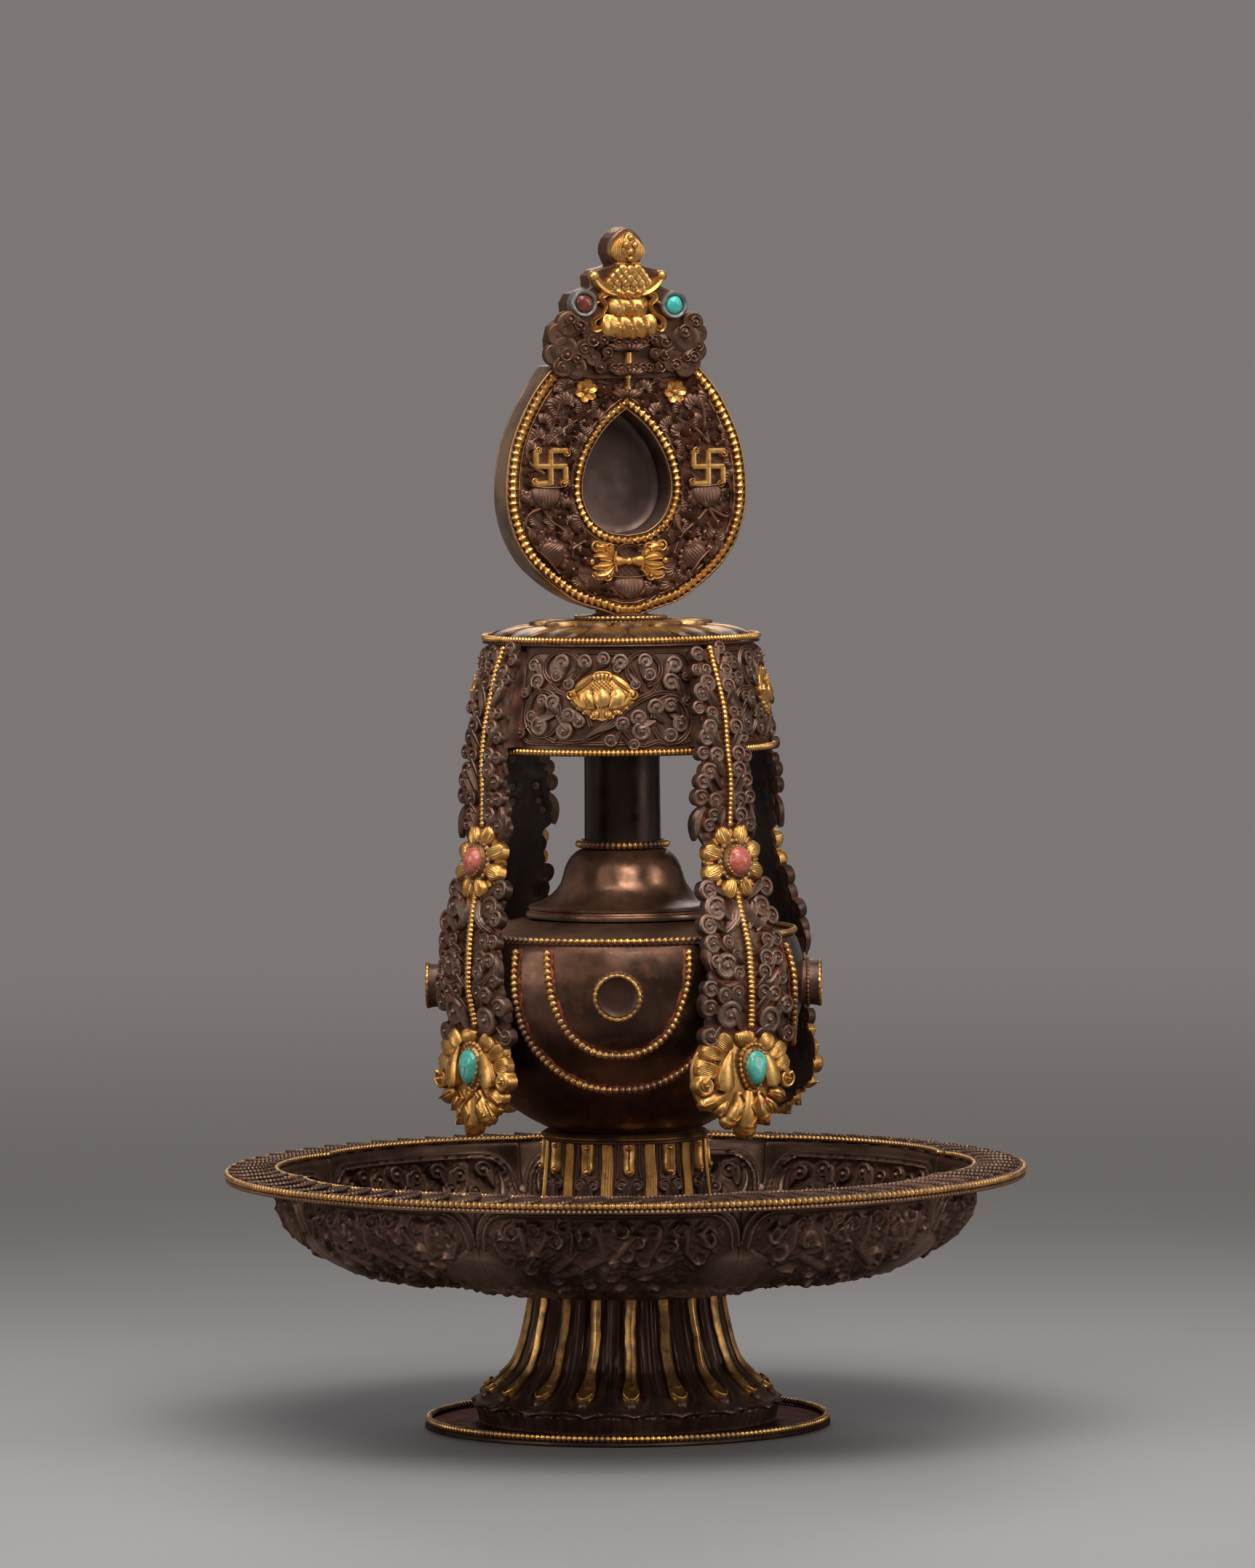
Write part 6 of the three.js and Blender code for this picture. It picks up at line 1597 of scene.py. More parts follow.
LOWR = [(400, 960, 3.3, (300, 1000), -1), (362, 1030, 3.9, (285, 1110), -1), (405, 1070, 3.0, (320, 1120), -1), (360, 1155, 2.9, (292, 1210), 1), (410, 1155, 2.6, (330, 1210), -1), (345, 1220, 3.4, (285, 1290), 1), (330, 1270, 3.0, (285, 1340), 1), (325, 1350, 3.0, (290, 1420), 1), (377, 1355, 3.0, (320, 1420), -1), (445, 1400, 3.3, (380, 1470), -1), (357, 1450, 4.9, (295, 1510), 1), (463, 1510, 3.1, (400, 1470), 1), (400, 1225, 2.7, (350, 1290), -1), (420, 1300, 2.6, (370, 1360), -1)]
for corner, turn in (("front_right", 45), ("back_right", 135), ("back_left", 225), ("front_left", 315)):
    # the strap itself: a thin sheet whose edges follow the curls
    strap = bent if corner == "front_left" else straight
    zz = np.concatenate([np.linspace(251.0, 132, 250), np.linspace(131.5, 104, 60)])
    wob = 0.55 * np.abs(np.sin((251 - zz) * 0.52 + turn)) + 0.35 * np.sin(zz * 1.1 + turn)
    W = np.maximum(swf(zz) - 2.6 + wob, 3.0)
    W = np.where(zz < 131, np.minimum(W, np.interp(zz, [104, 112, 120, 131], [9, 14.5, 15.5, 15])), W)
    U = np.linspace(-1, 1, 25)
    S = W[:, None] * U[None, :]
    Zg = np.repeat(zz[:, None], 25, 1)
    dent = np.zeros_like(S)
    for cx, cy, r, _, _ in LEFT + RIGHT + LOWL + LOWR:
        q_ = SPX(cx, cy)
        dent = np.maximum(dent, 1.0 * np.exp(-((S - q_[0]) ** 2 + (Zg - q_[1]) ** 2) / (0.62 * r) ** 2))
    g = 0.10 * np.sin(S * 1.7 + Zg * 0.9) + 0.08 * np.sin(Zg * 2.3)
    b = Bag()
    grid_solid(b, strap(S, Zg, g), strap(S, Zg, -1.15 + 0.85 * dent), h=np.full_like(S, 0.12), tone=0.15)
    for i, (cx, cy, r, tl, d) in enumerate(LEFT + RIGHT + LOWL + LOWR):
        j = hash01(turn, i)
        c, t_ = SPX(cx, cy), SPX(*tl)
        curl(b, strap, (c[0], c[1] + 0.25 * (j - 0.5)), r * (0.97 + 0.08 * j), t_, d, H=1.6 + 0.5 * hash01(i, 4) + 0.12 * r, base=-1.0, tone=0.12 + 0.25 * j, href=2.4, wide=1.1)
    # leaves that end the upper and fill the lower half
    for pts, w, rb in (
        ([(132, 640), (100, 690), (92, 770)], 3.8, 1), ([(352, 640), (362, 700), (366, 770)], 3.4, 1),
        ([(215, 990), (235, 1050), (170, 1125)], 4.8, 4), ([(285, 1000), (300, 1060), (360, 1120)], 4.6, 4),
        ([(222, 1010), (215, 1080), (150, 1130)], 3.4, 3), ([(300, 1040), (330, 1085), (400, 1120)], 3.0, 3),
        ([(225, 650), (208, 700), (206, 738)], 2.4, 1), ([(262, 560), (268, 640), (262, 700)], 1.8, 1),
        ([(90, 1255), (78, 1200), (100, 1130)], 3.0, 1), ([(415, 1330), (432, 1260), (410, 1190)], 3.0, 1),
        ([(110, 1300), (150, 1320), (230, 1300)], 2.4, 2), ([(300, 1310), (360, 1310), (420, 1250)], 2.4, 2),
        ([(60, 1430), (50, 1380), (62, 1330)], 2.8, 1), ([(470, 1455), (455, 1400), (425, 1350)], 2.8, 1),
    ):
        leaf(b, strap, [SPX(*p) for p in pts], w, 2.1, ribs=rb, n=16, tone=0.2, amp=0.2, base=-0.8)
    build(f"streamer_scrolls_{corner}", b.turned(turn + LID_TURN), M_STREAMER, "lid", [f"streamer_{corner}"])

    # its back, in a darker copper as painted shade, and the block that joins it to the canopy's wall
    b = Bag()
    S2, Z2, D2 = S[::2] * 0.985, Zg[::2], dent[::2]
    grid_solid(b, strap(S2, Z2, -1.05 + 0.85 * D2), strap(S2, Z2, -1.5 + 0.85 * D2), h=np.full_like(S2, 0.1), tone=0.4)
    build(f"streamer_back_{corner}", b.turned(turn + LID_TURN), M_SHADED_BACK, "lid", ())
    b = Bag()
    S3, Z3 = np.meshgrid(np.linspace(-1, 1, 21), np.linspace(250.2, 220.4, 60), indexing="ij")
    S3 = S3 * (swf(Z3) - 2.4 + 0.25 * np.sin(Z3 * 0.7 + turn))
    rw3 = np.interp(Z3, [p[1] for p in bandp], [p[0] for p in bandp]) - 0.6
    wall3 = np.stack([S3, -np.sqrt(np.maximum(rw3**2 - S3**2, 1.0)), Z3], -1)
    grid_solid(b, straight(S3, Z3, -1.2 + 0.0 * S3).transpose(1, 0, 2), wall3.transpose(1, 0, 2), h=0.3, tone=0.3)
    build(f"streamer_block_{corner}", b.turned(turn + LID_TURN), M_PAD, "lid", ())

    # the beaded spine
    b = Bag()
    z1 = np.linspace(251.5, 195.2, 120)
    z2 = np.linspace(174.4, 131.8, 100)
    for z_, s0, s1 in ((z1, -0.4, 0.2), (z2, 0.2, 0.6)):
        s_ = np.interp(z_, [z_[-1], z_[0]], [s1, s0]) + 0.25 * np.sin(z_ * 0.25)
        C = strap(s_, z_, np.full_like(z_, 1.0))
        N_ = strap(s_, z_, np.full_like(z_, 2.0)) - C
        beads(b, C, N_, 1.52, np.interp(z_, [130, 200, 252], [1.5, 1.25, 1.1]).mean(), 1.2, gold=0.9, seed=turn + 3.0, neck=0.74)
    build(f"streamer_spine_{corner}", b.turned(turn + LID_TURN), M_WIRE, "lid", [f"streamer_bead_{corner}"])

    # the flower boss
    b = Bag()
    fz = 183.7
    q = np.arange(72) / 72 * 2 * PI
    rings_ = []
    for f, h in ((9.6, -1.2), (10.2, -0.4), (10.0, 0.3), (7.0, 0.8), (4.0, 1.0)):
        rings_.append(strap(f * np.cos(q) * (1 + 0.04 * np.cos(8 * q)), fz + f * np.sin(q) * (1 + 0.04 * np.cos(8 * q)), np.full(72, h)))
    closed_rings(b, rings_, gold=np.concatenate([np.zeros(144), np.full(72 * 3, 0.6), [0.0, 0.6]]), h=0.2, tone=0.9, cap=True)
    for i in range(8):
        an = (22.5 + 45 * i) * RAD + 0.05 * math.sin(i * 3)
        u = np.linspace(0, 1, 20)
        w = 5.9 * np.where(u < 0.62, 0.42 + 0.58 * np.sin(np.clip(u / 0.62, 0, 1) * PI / 2), np.sqrt(np.clip(1.002 - ((u - 0.62) / 0.38) ** 2, 0.0, 1)))
        r0, r1 = 4.8, 12.1 + 0.35 * math.sin(i * 1.7)
        P = np.stack([(r0 + (r1 - r0) * u) * math.cos(an), fz + (r0 + (r1 - r0) * u) * math.sin(an)], -1)
        hh_ = 1.2 + 2.3 * np.sqrt(np.clip(np.sin(np.clip(0.08 + 0.86 * u, 0, 1) * PI), 0, 1))
        ribbon(b, strap, P, w, hh_, striped(8, 0.05, 1.0, 0.25), base=-0.9, gold=0.95, tone=hash01(i, 8), href=3.9)
        an2 = an + 22.5 * RAD
        P = np.stack([(8 + 2.6 * u) * math.cos(an2), fz + (8 + 2.6 * u) * math.sin(an2)], -1)
        ribbon(b, strap, P, 2.6 * np.sin(np.clip(u * 0.8 + 0.2, 0, 1) * PI) ** 0.6 + 0.05, 1.5, ROUND, base=-0.9, gold=0.6, tone=0.9, href=3.6)
    # collet wall and its serrated lip
    q = np.arange(96) / 96 * 2 * PI
    ra_, rb_ = 4.75, 5.25
    rings_ = []
    for f, h in ((1.18, 0.2), (1.12, 2.0), (1.02, 3.6), (0.98, 4.3), (0.88, 4.45), (0.86, 3.6), (0.86, 0.4)):
        saw = 0.28 * np.abs(np.sin(q * 12)) * (h > 3.5)
        rings_.append(strap(ra_ * f * np.cos(q), fz + rb_ * f * np.sin(q), h - saw))
    closed_rings(b, rings_, gold=0.3, h=0.6, tone=0.6)
    path2 = strap(ra_ * 1.27 * np.cos(q), fz + rb_ * 1.25 * np.sin(q), np.full(96, 2.3))
    nn_ = strap(ra_ * 1.27 * np.cos(q), fz + rb_ * 1.25 * np.sin(q), np.full(96, 3.3)) - path2
    beads(b, path2, nn_, 1.9, 0.9, 0.9, closed=True, gold=0.4, seed=turn + 5.0, neck=0.5)
    build(f"streamer_flower_{corner}", b.turned(turn + LID_TURN), M_GILT, "lid", (), sharp=30)
    b = Bag()
    cab(b, strap, (0.25, fz), 4.3, 4.8, 2.6, 6.6, seed=turn)
    build(f"coral_stone_{corner}", b.turned(turn + LID_TURN), M_CORAL, "lid", [f"coral_{corner}"])

    # the palmette
    b = Bag()
    # ground plate under the leaves
    PL = lambda x, y: (0.9 + (x - 740) * 0.0367, 118.9 - (y - 445) * 0.0292)
    P2 = [(665, 30), (810, 60), (960, 85), (1090, 160), (1165, 280), (1195, 430), (1205, 590), (1150, 720), (1115, 830), (1015, 965), (920, 1075), (800, 1120), (690, 1215), (580, 1120), (475, 1090), (390, 960), (225, 880), (140, 720), (115, 590), (115, 400), (165, 250), (290, 140), (450, 70)]
    outl = even(spline([PL(c, r) for c, r in P2], 6, closed=True), 120, True)
    cen = outl.mean(0)
    rings_ = []
    for f, h in ((0.90, -1.1), (0.95, -0.6), (0.93, 0.2), (0.6, 1.0), (0.3, 1.5), (0.05, 1.6)):
        p = cen + (outl - cen) * f
        rings_.append(strap(p[:, 0], p[:, 1], np.full(len(p), h)))
    closed_rings(b, rings_, gold=np.concatenate([np.zeros(2 * len(outl)), np.full(4 * len(outl), 0.75), [0.0, 0.75]]), h=0.25, tone=0.8, cap=True)
    u = np.linspace(0, 1, 22)
    round_end = lambda a, k: np.where(u < k, a + (1 - a) * np.sin(np.clip(u / k, 0, 1) * PI / 2), np.sqrt(np.clip(1.003 - ((u - k) / (1 - k)) ** 2.4, 0, 1)))
    # the striated lobes round the top
    for i, (q0, q1, w) in enumerate((((420, 500), (165, 400), 6.4), ((450, 300), (215, 225), 5.6), ((520, 230), (375, 95), 6.6), ((665, 210), (665, 30), 8.0), ((850, 250), (960, 100), 6.4), ((930, 340), (1130, 230), 5.6), ((1000, 450), (1175, 395), 6.0))):
        P = even(np.array([PL(*q0), PL(*q1)]), 22)
        ribbon(b, strap, P, w * round_end(0.62, 0.72), 1.6 + 1.5 * np.sin(np.clip(0.1 + 0.8 * u, 0, 1) * PI), striped(11, 0.05, 1.0, 0.42), base=-0.9, gold=0.88, tone=hash01(i, 4), href=4)
    for e, top, mid, end, cv, ct, r_ in ((-1, (520, 235), (450, 430), (432, 690), (235, 612), (330, 430), 3.5), (1, (815, 225), (905, 400), (962, 665), (1130, 590), (1050, 430), 3.2)):
        P = even(spline([PL(*top), PL(*mid), PL(*end)], 10), 22)
        rim = [(-0.5, 0), (-0.5, 0.45), (-0.46, 0.62), (-0.42, 0.60), (-0.38, 0.84), (-0.2, 0.96), (0, 1.0), (0.2, 0.96), (0.38, 0.84), (0.42, 0.60), (0.46, 0.62), (0.5, 0.45), (0.5, 0)]
        ribbon(b, strap, P, 7.6 * round_end(0.18, 0.80), 2.4 + 2.0 * np.sin(u * PI * 0.62), rim, base=-0.9, gold=0.97, tone=0.2, href=4)
        curl(b, strap, PL(*cv), r_, PL(*ct), -e, H=3.6, base=-0.9, gold=0.95, tone=0.1, knob=0.2, wide=1.1, href=4)
    # lobes and fingers below
    for i, (pts, w, hg) in enumerate((
        ([(450, 725), (340, 775), (215, 830)], 5.2, 3.4), ([(480, 790), (425, 870), (395, 950)], 4.4, 2.7),
        ([(930, 715), (1030, 745), (1110, 815)], 4.8, 3.4), ([(890, 790), (960, 870), (1000, 960)], 4.2, 2.7),
        ([(600, 700), (575, 880), (478, 1085)], 5.6, 3.6), ([(800, 700), (840, 880), (912, 1070)], 5.6, 3.6), ([(705, 690), (690, 930), (685, 1210)], 7.6, 4.2),
    )):
        P = even(spline([PL(*q_) for q_ in pts], 10), 22)
        long_ = i > 3
        ends = 0.1 * np.sin(np.clip((u - 0.74) / 0.26, 0, 1) * PI * 7) * long_
        ribbon(b, strap, P, w * round_end(0.5, 0.70), hg * (0.72 + 0.3 * np.sin(np.clip(u, 0, 0.9) * PI)) + ends * 2, ROUND, base=-0.9, gold=0.97, tone=hash01(i, 9), href=4)
        if long_:
            v = np.linspace(0.05, 0.78, 20)
            Q = np.stack([np.interp(v, u, P[:, 0]) + w * (0.10 + 0.13 * np.sin(v * 15 + i)), np.interp(v, u, P[:, 1])], -1)
            ribbon(b, strap, Q, 0.5, hg * 1.1, ROUND, base=hg * 0.45, gold=0.97, tone=0.1, href=4)
            for k_ in range(4):
                g = np.linspace(-1, 1, 9)
                uc = 0.80 + 0.05 * k_
                px_, pz_ = np.interp(uc, u, P[:, 0]), np.interp(uc, u, P[:, 1])
                wd = w * (0.36 - 0.055 * k_)
                Q = np.stack([px_ + g * wd, pz_ - 0.9 * (1 - g**2) + 0.3 * g], -1)
                ribbon(b, strap, Q, 0.34, hg * (1.02 - 0.34 * g**2), ROUND, base=hg * 0.3, gold=0.97, tone=0.1, href=4)
        else:
            Q = even(spline([PL(*q_) for q_ in pts], 10), 14)
            ribbon(b, strap, Q[2:], 0.5, hg * 1.12, ROUND, base=hg * 0.4, gold=0.9, tone=0.3, href=4)
    # the stone's serrated setting
    q = np.arange(96) / 96 * 2 * PI
    tear_ = lambda f: (0.9 + f * 4.3 * np.cos(q) * (1 + 0.30 * np.sin(q)), 118.9 + f * 6.5 * np.sin(q))
    rings_ = []
    for f, h in ((1.16, 0.4), (1.10, 2.6), (1.02, 3.6), (0.97, 4.3), (0.9, 4.4), (0.88, 3.8), (0.88, 0.6)):
        saw = 0.3 * np.abs(np.sin(q * 10)) * (h > 3.5)
        x_, z_ = tear_(f)
        rings_.append(strap(x_, z_, h - saw))
    closed_rings(b, rings_, gold=0.45, h=0.6, tone=0.6)
    x_, z_ = tear_(1.17)
    path2 = strap(x_, z_, np.full(96, 2.5))
    nn_ = strap(x_, z_, np.full(96, 3.5)) - path2
    beads(b, path2, nn_, 1.75, 0.8, 0.85, closed=True, gold=0.75, seed=turn + 6.0, neck=0.6)
    build(f"streamer_palmette_{corner}", b.turned(turn + LID_TURN), M_GILT, "lid", (), sharp=30)
    b = Bag()
    cab(b, strap, (0.9, 118.9), 3.85, 5.9, 3.0, 6.6, seed=turn + 7, tear=0.30)
    build(f"turquoise_stone_{corner}", b.turned(turn + LID_TURN), M_TURQ, "lid", [f"turquoise_{corner}"])

# ------------------------------------------------------------------------ plaque
FRONT = -6.25
TEAR = [(8, 262.6), (16, 265.2), (23.6, 269.3), (30.9, 275.2), (35.2, 280.6), (38.4, 287.2), (40.4, 295.4), (40.5, 304.4), (39.5, 312.2), (37.9, 318.3), (35, 325.2), (31.2, 332), (27.8, 337.2), (25.2, 341)]
WINDOW = [(0, 286.3), (6.6, 287.6), (11.8, 291.6), (14.6, 297.2), (15.1, 303.2), (13.6, 310.2), (10.4, 316.6), (5.8, 322.4), (0, 327.2)]
CEN = np.array([0.0, 303.0])


def closed_outline(half, top_flat, n=10):
    H = spline(half, n)
    L = H[::-1] * [-1, 1]
    if top_flat:
        top = np.linspace([H[-1, 0], H[-1, 1]], [-H[-1, 0], H[-1, 1]], 14)[1:-1]
        bot = np.linspace([L[-1, 0], L[-1, 1]], [H[0, 0], H[0, 1]], 6)[1:-1]
        return np.concatenate([H, top, L, bot])
    return np.concatenate([H, L[1:-1]])


def polar(outline, n=400):
    """The outline seen as a radius at n even angles round CEN."""
    v = outline - CEN
    a = np.unwrap(np.arctan2(v[:, 1], v[:, 0]))
    if a[-1] < a[0]:
        a, v = a[::-1], v[::-1]
    r = np.hypot(v[:, 0], v[:, 1])
    q = np.arange(n) / n * 2 * PI
    aa = np.concatenate([a - 2 * PI, a, a + 2 * PI])
    rr = np.concatenate([r, r, r])
    return np.interp(q, aa, rr), q


tear = closed_outline(TEAR, True)
wind = closed_outline(WINDOW, False)
NPL = 400
rt, qa = polar(tear, NPL)
rw, _ = polar(wind, NPL)


def ringp(r, y):
    y = np.broadcast_to(y, qa.shape)
    return np.stack([CEN[0] + r * np.cos(qa), y, CEN[1] + r * np.sin(qa)], -1)


b = Bag()
rng = np.sin(qa * 9 + 1.0) * 0.10 + np.sin(qa * 23) * 0.05
rings_ = []
hs = []
for f in (0.12, 0.35, 0.6, 0.82, 0.94):
    rings_.append(ringp(rt * f, 6.2 + 0.15 * np.sin(qa * 3 + f * 9) * f))
    hs.append(0.4)
for off, y in ((-1.2, 6.25), (-0.35, 6.15), (-0.05, 5.85), (0, 5.2), (0.05, 5.0), (-0.18, 4.85), (-0.18, 4.6), (0.02, 4.4), (0.1, 2.5), (0.12, 0.5), (0.1, -1.5), (0.05, -3.5), (0, -4.6), (0.0, -5.0), (-0.25, -5.1), (-0.25, -5.3), (0.1, -5.45), (0.1, -6.0), (-0.15, -6.3)):
    rings_.append(ringp(rt + off + rng * (y < 5) * (y > -5), y))
    hs.append(0.45 if y < 5.5 else 0.6)
for f in np.linspace(0.04, 0.96, 9):
    rings_.append(ringp(rt * (1 - f) + rw * f, FRONT))
    hs.append(0.05)
for off, y in ((0.5, -6.35), (0.0, -6.2), (-0.25, -5.8), (-0.3, -3), (-0.3, 0), (-0.3, 3), (-0.45, 4.2), (-1.2, 4.75)):
    rings_.append(ringp(rw + off, y))
    hs.append(0.35)
for f in (0.8, 0.55, 0.3, 0.1):
    rings_.append(ringp(rw * f, 4.9 + 0.12 * np.sin(qa * 2 + f * 7)))
    hs.append(0.3)
closed_rings(b, rings_, h=np.repeat(hs, NPL), tone=0.25, cap=True)
build("plaque_case", b.turned(PLAQUE_TURN), M_CASE, "plaque", ["plaque_box"], sharp=40)


def face(x, z, h):
    x, z, h = np.broadcast_arrays(x, z, h)
    return np.stack([x, FRONT - h, z], -1)


def P_(col, row):
    return (-48 + col / 12.0, 390 - row / 12.0)


BORDER = [(262.9, 3.0), (265, 9), (267.5, 16.5), (271.7, 22.7), (277.5, 29.5), (282.5, 33.6), (288.3, 36.5), (295.8, 38.4), (304.2, 38.5), (311.7, 37.6), (317.5, 36.1), (324.2, 33.3), (330.8, 29.7), (335.8, 25.9), (339.6, 22.3)]
half = spline([(x, z) for z, x in BORDER], 8)
rimpath = np.concatenate([(half * [-1, 1])[::-1], half[0:]])
rimpath = even(rimpath, 420)
b = Bag()
C = face(rimpath[:, 0], rimpath[:, 1], np.full(len(rimpath), 1.0))
beads(b, C, np.tile([0, -1.0, 0], (len(C), 1)), 2.27, 1.72, 1.35, gold=0.95, seed=21.0, neck=0.5, power=1.45)
build("plaque_border_beads", b.turned(PLAQUE_TURN), M_WIRE, "plaque", ["plaque_rim_bead"])
wb = [(0, 284.6), (7.4, 286.0), (13.2, 290.4), (16.4, 296.8), (17.0, 303.2), (15.3, 310.9), (11.8, 317.8), (6.8, 324.0), (0.0, 329.4)]
wh = spline(wb, 10)
wpath = even(np.concatenate([wh, (wh[::-1] * [-1, 1])[1:]]), 300)
b = Bag()
C = face(wpath[:, 0], wpath[:, 1], np.full(len(wpath), 1.05))
beads(b, C, np.tile([0, -1.0, 0], (len(C), 1)), 2.2, 1.5, 1.35, gold=0.9, seed=22.0, neck=0.5, power=1.45)
build("plaque_window_beads", b.turned(PLAQUE_TURN), M_WIRE, "plaque", ["plaque_window_bead"])

# the chased front: wires beside the beads, stems, ribbed leaves
fr_b = Bag()
fe_b = Bag()
for path, off, w, h_, g in ((rimpath, 2.05, 0.7, 0.9, 0.55), (rimpath, -1.95, 0.9, 0.8, 0.35), (wpath, 1.75, 0.6, 0.8, 0.3), (wpath, -1.75, 0.7, 0.9, 0.4)):
    T = np.gradient(path, axis=0)
    T /= np.linalg.norm(T, axis=1)[:, None]
    N = np.stack([-T[:, 1], T[:, 0]], -1)
    ribbon(fr_b, face, path + N * off, w, h_, ROUND, gold=g, tone=0.3, base=-0.5)

STEMS = [
    [(255, 885), (270, 830), (290, 770), (312, 700), (305, 640)],
    [(255, 885), (320, 830), (380, 790), (450, 745), (500, 700)],
    [(235, 1000), (180, 960), (170, 900), (220, 850)],
    [(230, 1130), (260, 1180), (310, 1215), (350, 1290), (345, 1380), (400, 1450), (470, 1490)],
    [(230, 1130), (170, 1160), (150, 1230), (190, 1310), (230, 1380), (300, 1440)],
    [(350, 1290), (400, 1250), (380, 1180), (345, 1120), (350, 1020), (355, 940), (345, 880)],
    [(910, 890), (895, 830), (890, 760), (850, 690), (835, 640)],
    [(910, 890), (850, 830), (790, 800), (730, 760), (690, 700)],
    [(905, 1140), (985, 1175), (1000, 1100), (985, 1010)],
    [(905, 1140), (860, 1190), (800, 1240), (760, 1320), (745, 1400), (690, 1470), (650, 1500)],
    [(905, 1140), (950, 1220), (960, 1300), (910, 1370), (840, 1420), (780, 1450)],
    [(800, 1240), (770, 1180), (800, 1110), (800, 1020), (785, 930), (830, 880)],
    [(940, 900), (975, 880), (985, 940)],
    [(560, 690), (500, 660), (455, 650)],
    [(620, 690), (680, 660), (720, 650)],
]
samples = []
for st in STEMS:
    p = even(spline([P_(*q) for q in st], 10), 40)
    u = np.linspace(0, 1, 40)
    ribbon(fr_b, face, p, 1.6 - 0.6 * u, 1.95 - 0.3 * u, ROUND, tone=0.3, base=-0.5, href=2.9)
    for i in range(40):
        samples.append((p[i], p[max(0, i - 3)], p[min(39, i + 1)] - p[max(0, i - 1)]))
SP = np.array([s[0] for s in samples])
LEAVES = [
    (325, 735, 2.9), (280, 745, 2.4), (240, 805, 2.4), (400, 800, 2.7), (385, 885, 2.5), (350, 925, 2.0), (212, 862, 2.4), (180, 905, 2.2), (455, 790, 2.2), (480, 672, 2.4), (520, 712, 1.9), (440, 838, 2.2), (330, 660, 2.3), (300, 850, 1.9), (365, 740, 2.0), (430, 745, 2.0),
    (345, 880, 1.9), (160, 960, 1.8), (150, 1148, 2.2), (335, 1130, 2.5), (368, 1065, 1.9), (375, 1000, 1.7), (160, 1190, 2.0), (205, 1228, 2.5), (245, 1200, 2.2), (300, 1168, 2.3), (385, 1180, 2.6), (400, 1262, 2.5), (400, 1328, 2.4), (352, 1368, 2.4), (312, 1395, 2.2), (385, 1418, 2.6), (440, 1400, 2.3), (440, 1462, 2.3), (490, 1495, 2.0), (212, 1345, 2.4), (256, 1395, 2.3), (312, 1445, 2.2), (392, 1482, 2.0), (160, 1272, 2.2), (330, 1230, 1.9), (440, 1330, 1.7),
    (852, 742, 2.8), (905, 715, 2.3), (852, 660, 2.3), (912, 800, 2.4), (945, 775, 2.0), (962, 850, 2.3), (830, 842, 2.6), (790, 842, 2.3), (742, 822, 2.4), (700, 765, 2.3), (690, 700, 2.2), (640, 730, 2.0), (822, 902, 2.2), (870, 880, 2.2), (935, 880, 2.0), (690, 815, 1.9), (740, 745, 2.0), (650, 680, 2.2), (530, 662, 1.9),
    (780, 905, 2.0), (790, 965, 1.9), (985, 1095, 2.2), (1000, 1020, 1.8), (795, 1085, 2.1), (830, 1148, 2.4), (790, 1135, 2.2), (755, 1190, 2.5), (740, 1245, 2.3), (862, 1182, 2.4), (905, 1222, 2.5), (945, 1195, 2.3), (975, 1250, 2.4), (925, 1288, 2.4), (945, 1345, 2.3), (880, 1388, 2.4), (840, 1392, 2.1), (800, 1398, 2.5), (760, 1378, 2.6), (740, 1425, 2.4), (700, 1250, 2.0), (900, 1340, 2.3), (700, 1478, 2.2), (655, 1495, 2.0), (765, 1310, 2.0), (980, 1160, 1.9), (720, 1300, 1.6), (800, 1450, 2.0),
]
placed = []


def keep_in(G, rim, win):
    """Points moved radially so that they lie between the window's and the border's beads."""
    v = G - CEN
    r_, q_ = np.hypot(v[..., 0], v[..., 1]), np.arctan2(v[..., 1], v[..., 0]) % (2 * PI)
    qq = np.append(qa, 2 * PI)
    hi_ = np.interp(q_, qq, np.append(rt, rt[0])) - rim
    lo_ = np.interp(q_, qq, np.append(rw, rw[0])) + win
    return CEN + v * (np.clip(r_, lo_, hi_) / np.maximum(r_, 1e-6))[..., None]


def feather(c, R, root, side, j):
    """A leaf of stacked arcs that grows from its root and bends over at its tip."""
    v = c - root
    L = max(float(np.hypot(*v)), 1e-6)
    e, f = v / L, np.array([-v[1], v[0]]) / L * side
    pts = [root, root + v * 0.4 - f * 0.30 * R, c - f * 0.42 * R, c + e * 0.55 * R + f * 0.02 * R, c + e * 0.62 * R + f * 0.60 * R]
    P = even(spline(pts, 8), 40)
    T = np.gradient(P, axis=0)
    T /= np.maximum(np.linalg.norm(T, axis=1), 1e-9)[:, None]
    N = np.stack([-T[:, 1], T[:, 0]], -1)
    u = np.linspace(0, 1, 40)
    w = R * 1.85 * np.where(u < 0.62, 0.28 + 0.72 * np.sin(u / 0.62 * PI / 2) ** 1.2, np.sqrt(np.clip(1.004 - ((u - 0.62) / 0.38) ** 2, 0, 1)))
    V = np.linspace(-1, 1, 9)
    G = P[:, None, :] + N[:, None, :] * (w[:, None] * 0.5 * V[None, :])[..., None] - T[:, None, :] * (0.22 * w[:, None] * V[None, :] ** 2)[..., None]
    G = keep_in(G, 4.2, 3.3)
    rib = 0.5 - 0.5 * np.cos(u * 2 * PI * max(5, round((L + R) / 0.66)))
    H = (1.35 + 0.9 * u + 0.3 * j)[:, None] * (0.5 + 0.5 * np.sqrt(np.clip(1 - (0.97 * V[None, :]) ** 2, 0, 1))) - 0.30 * rib[:, None]
    grid_solid(fe_b, face(G[..., 0], G[..., 1], H), face(G[..., 0], G[..., 1], np.full_like(H, -0.4)), h=np.clip(H / 3.3, 0, 1), tone=0.1 + 0.5 * j)


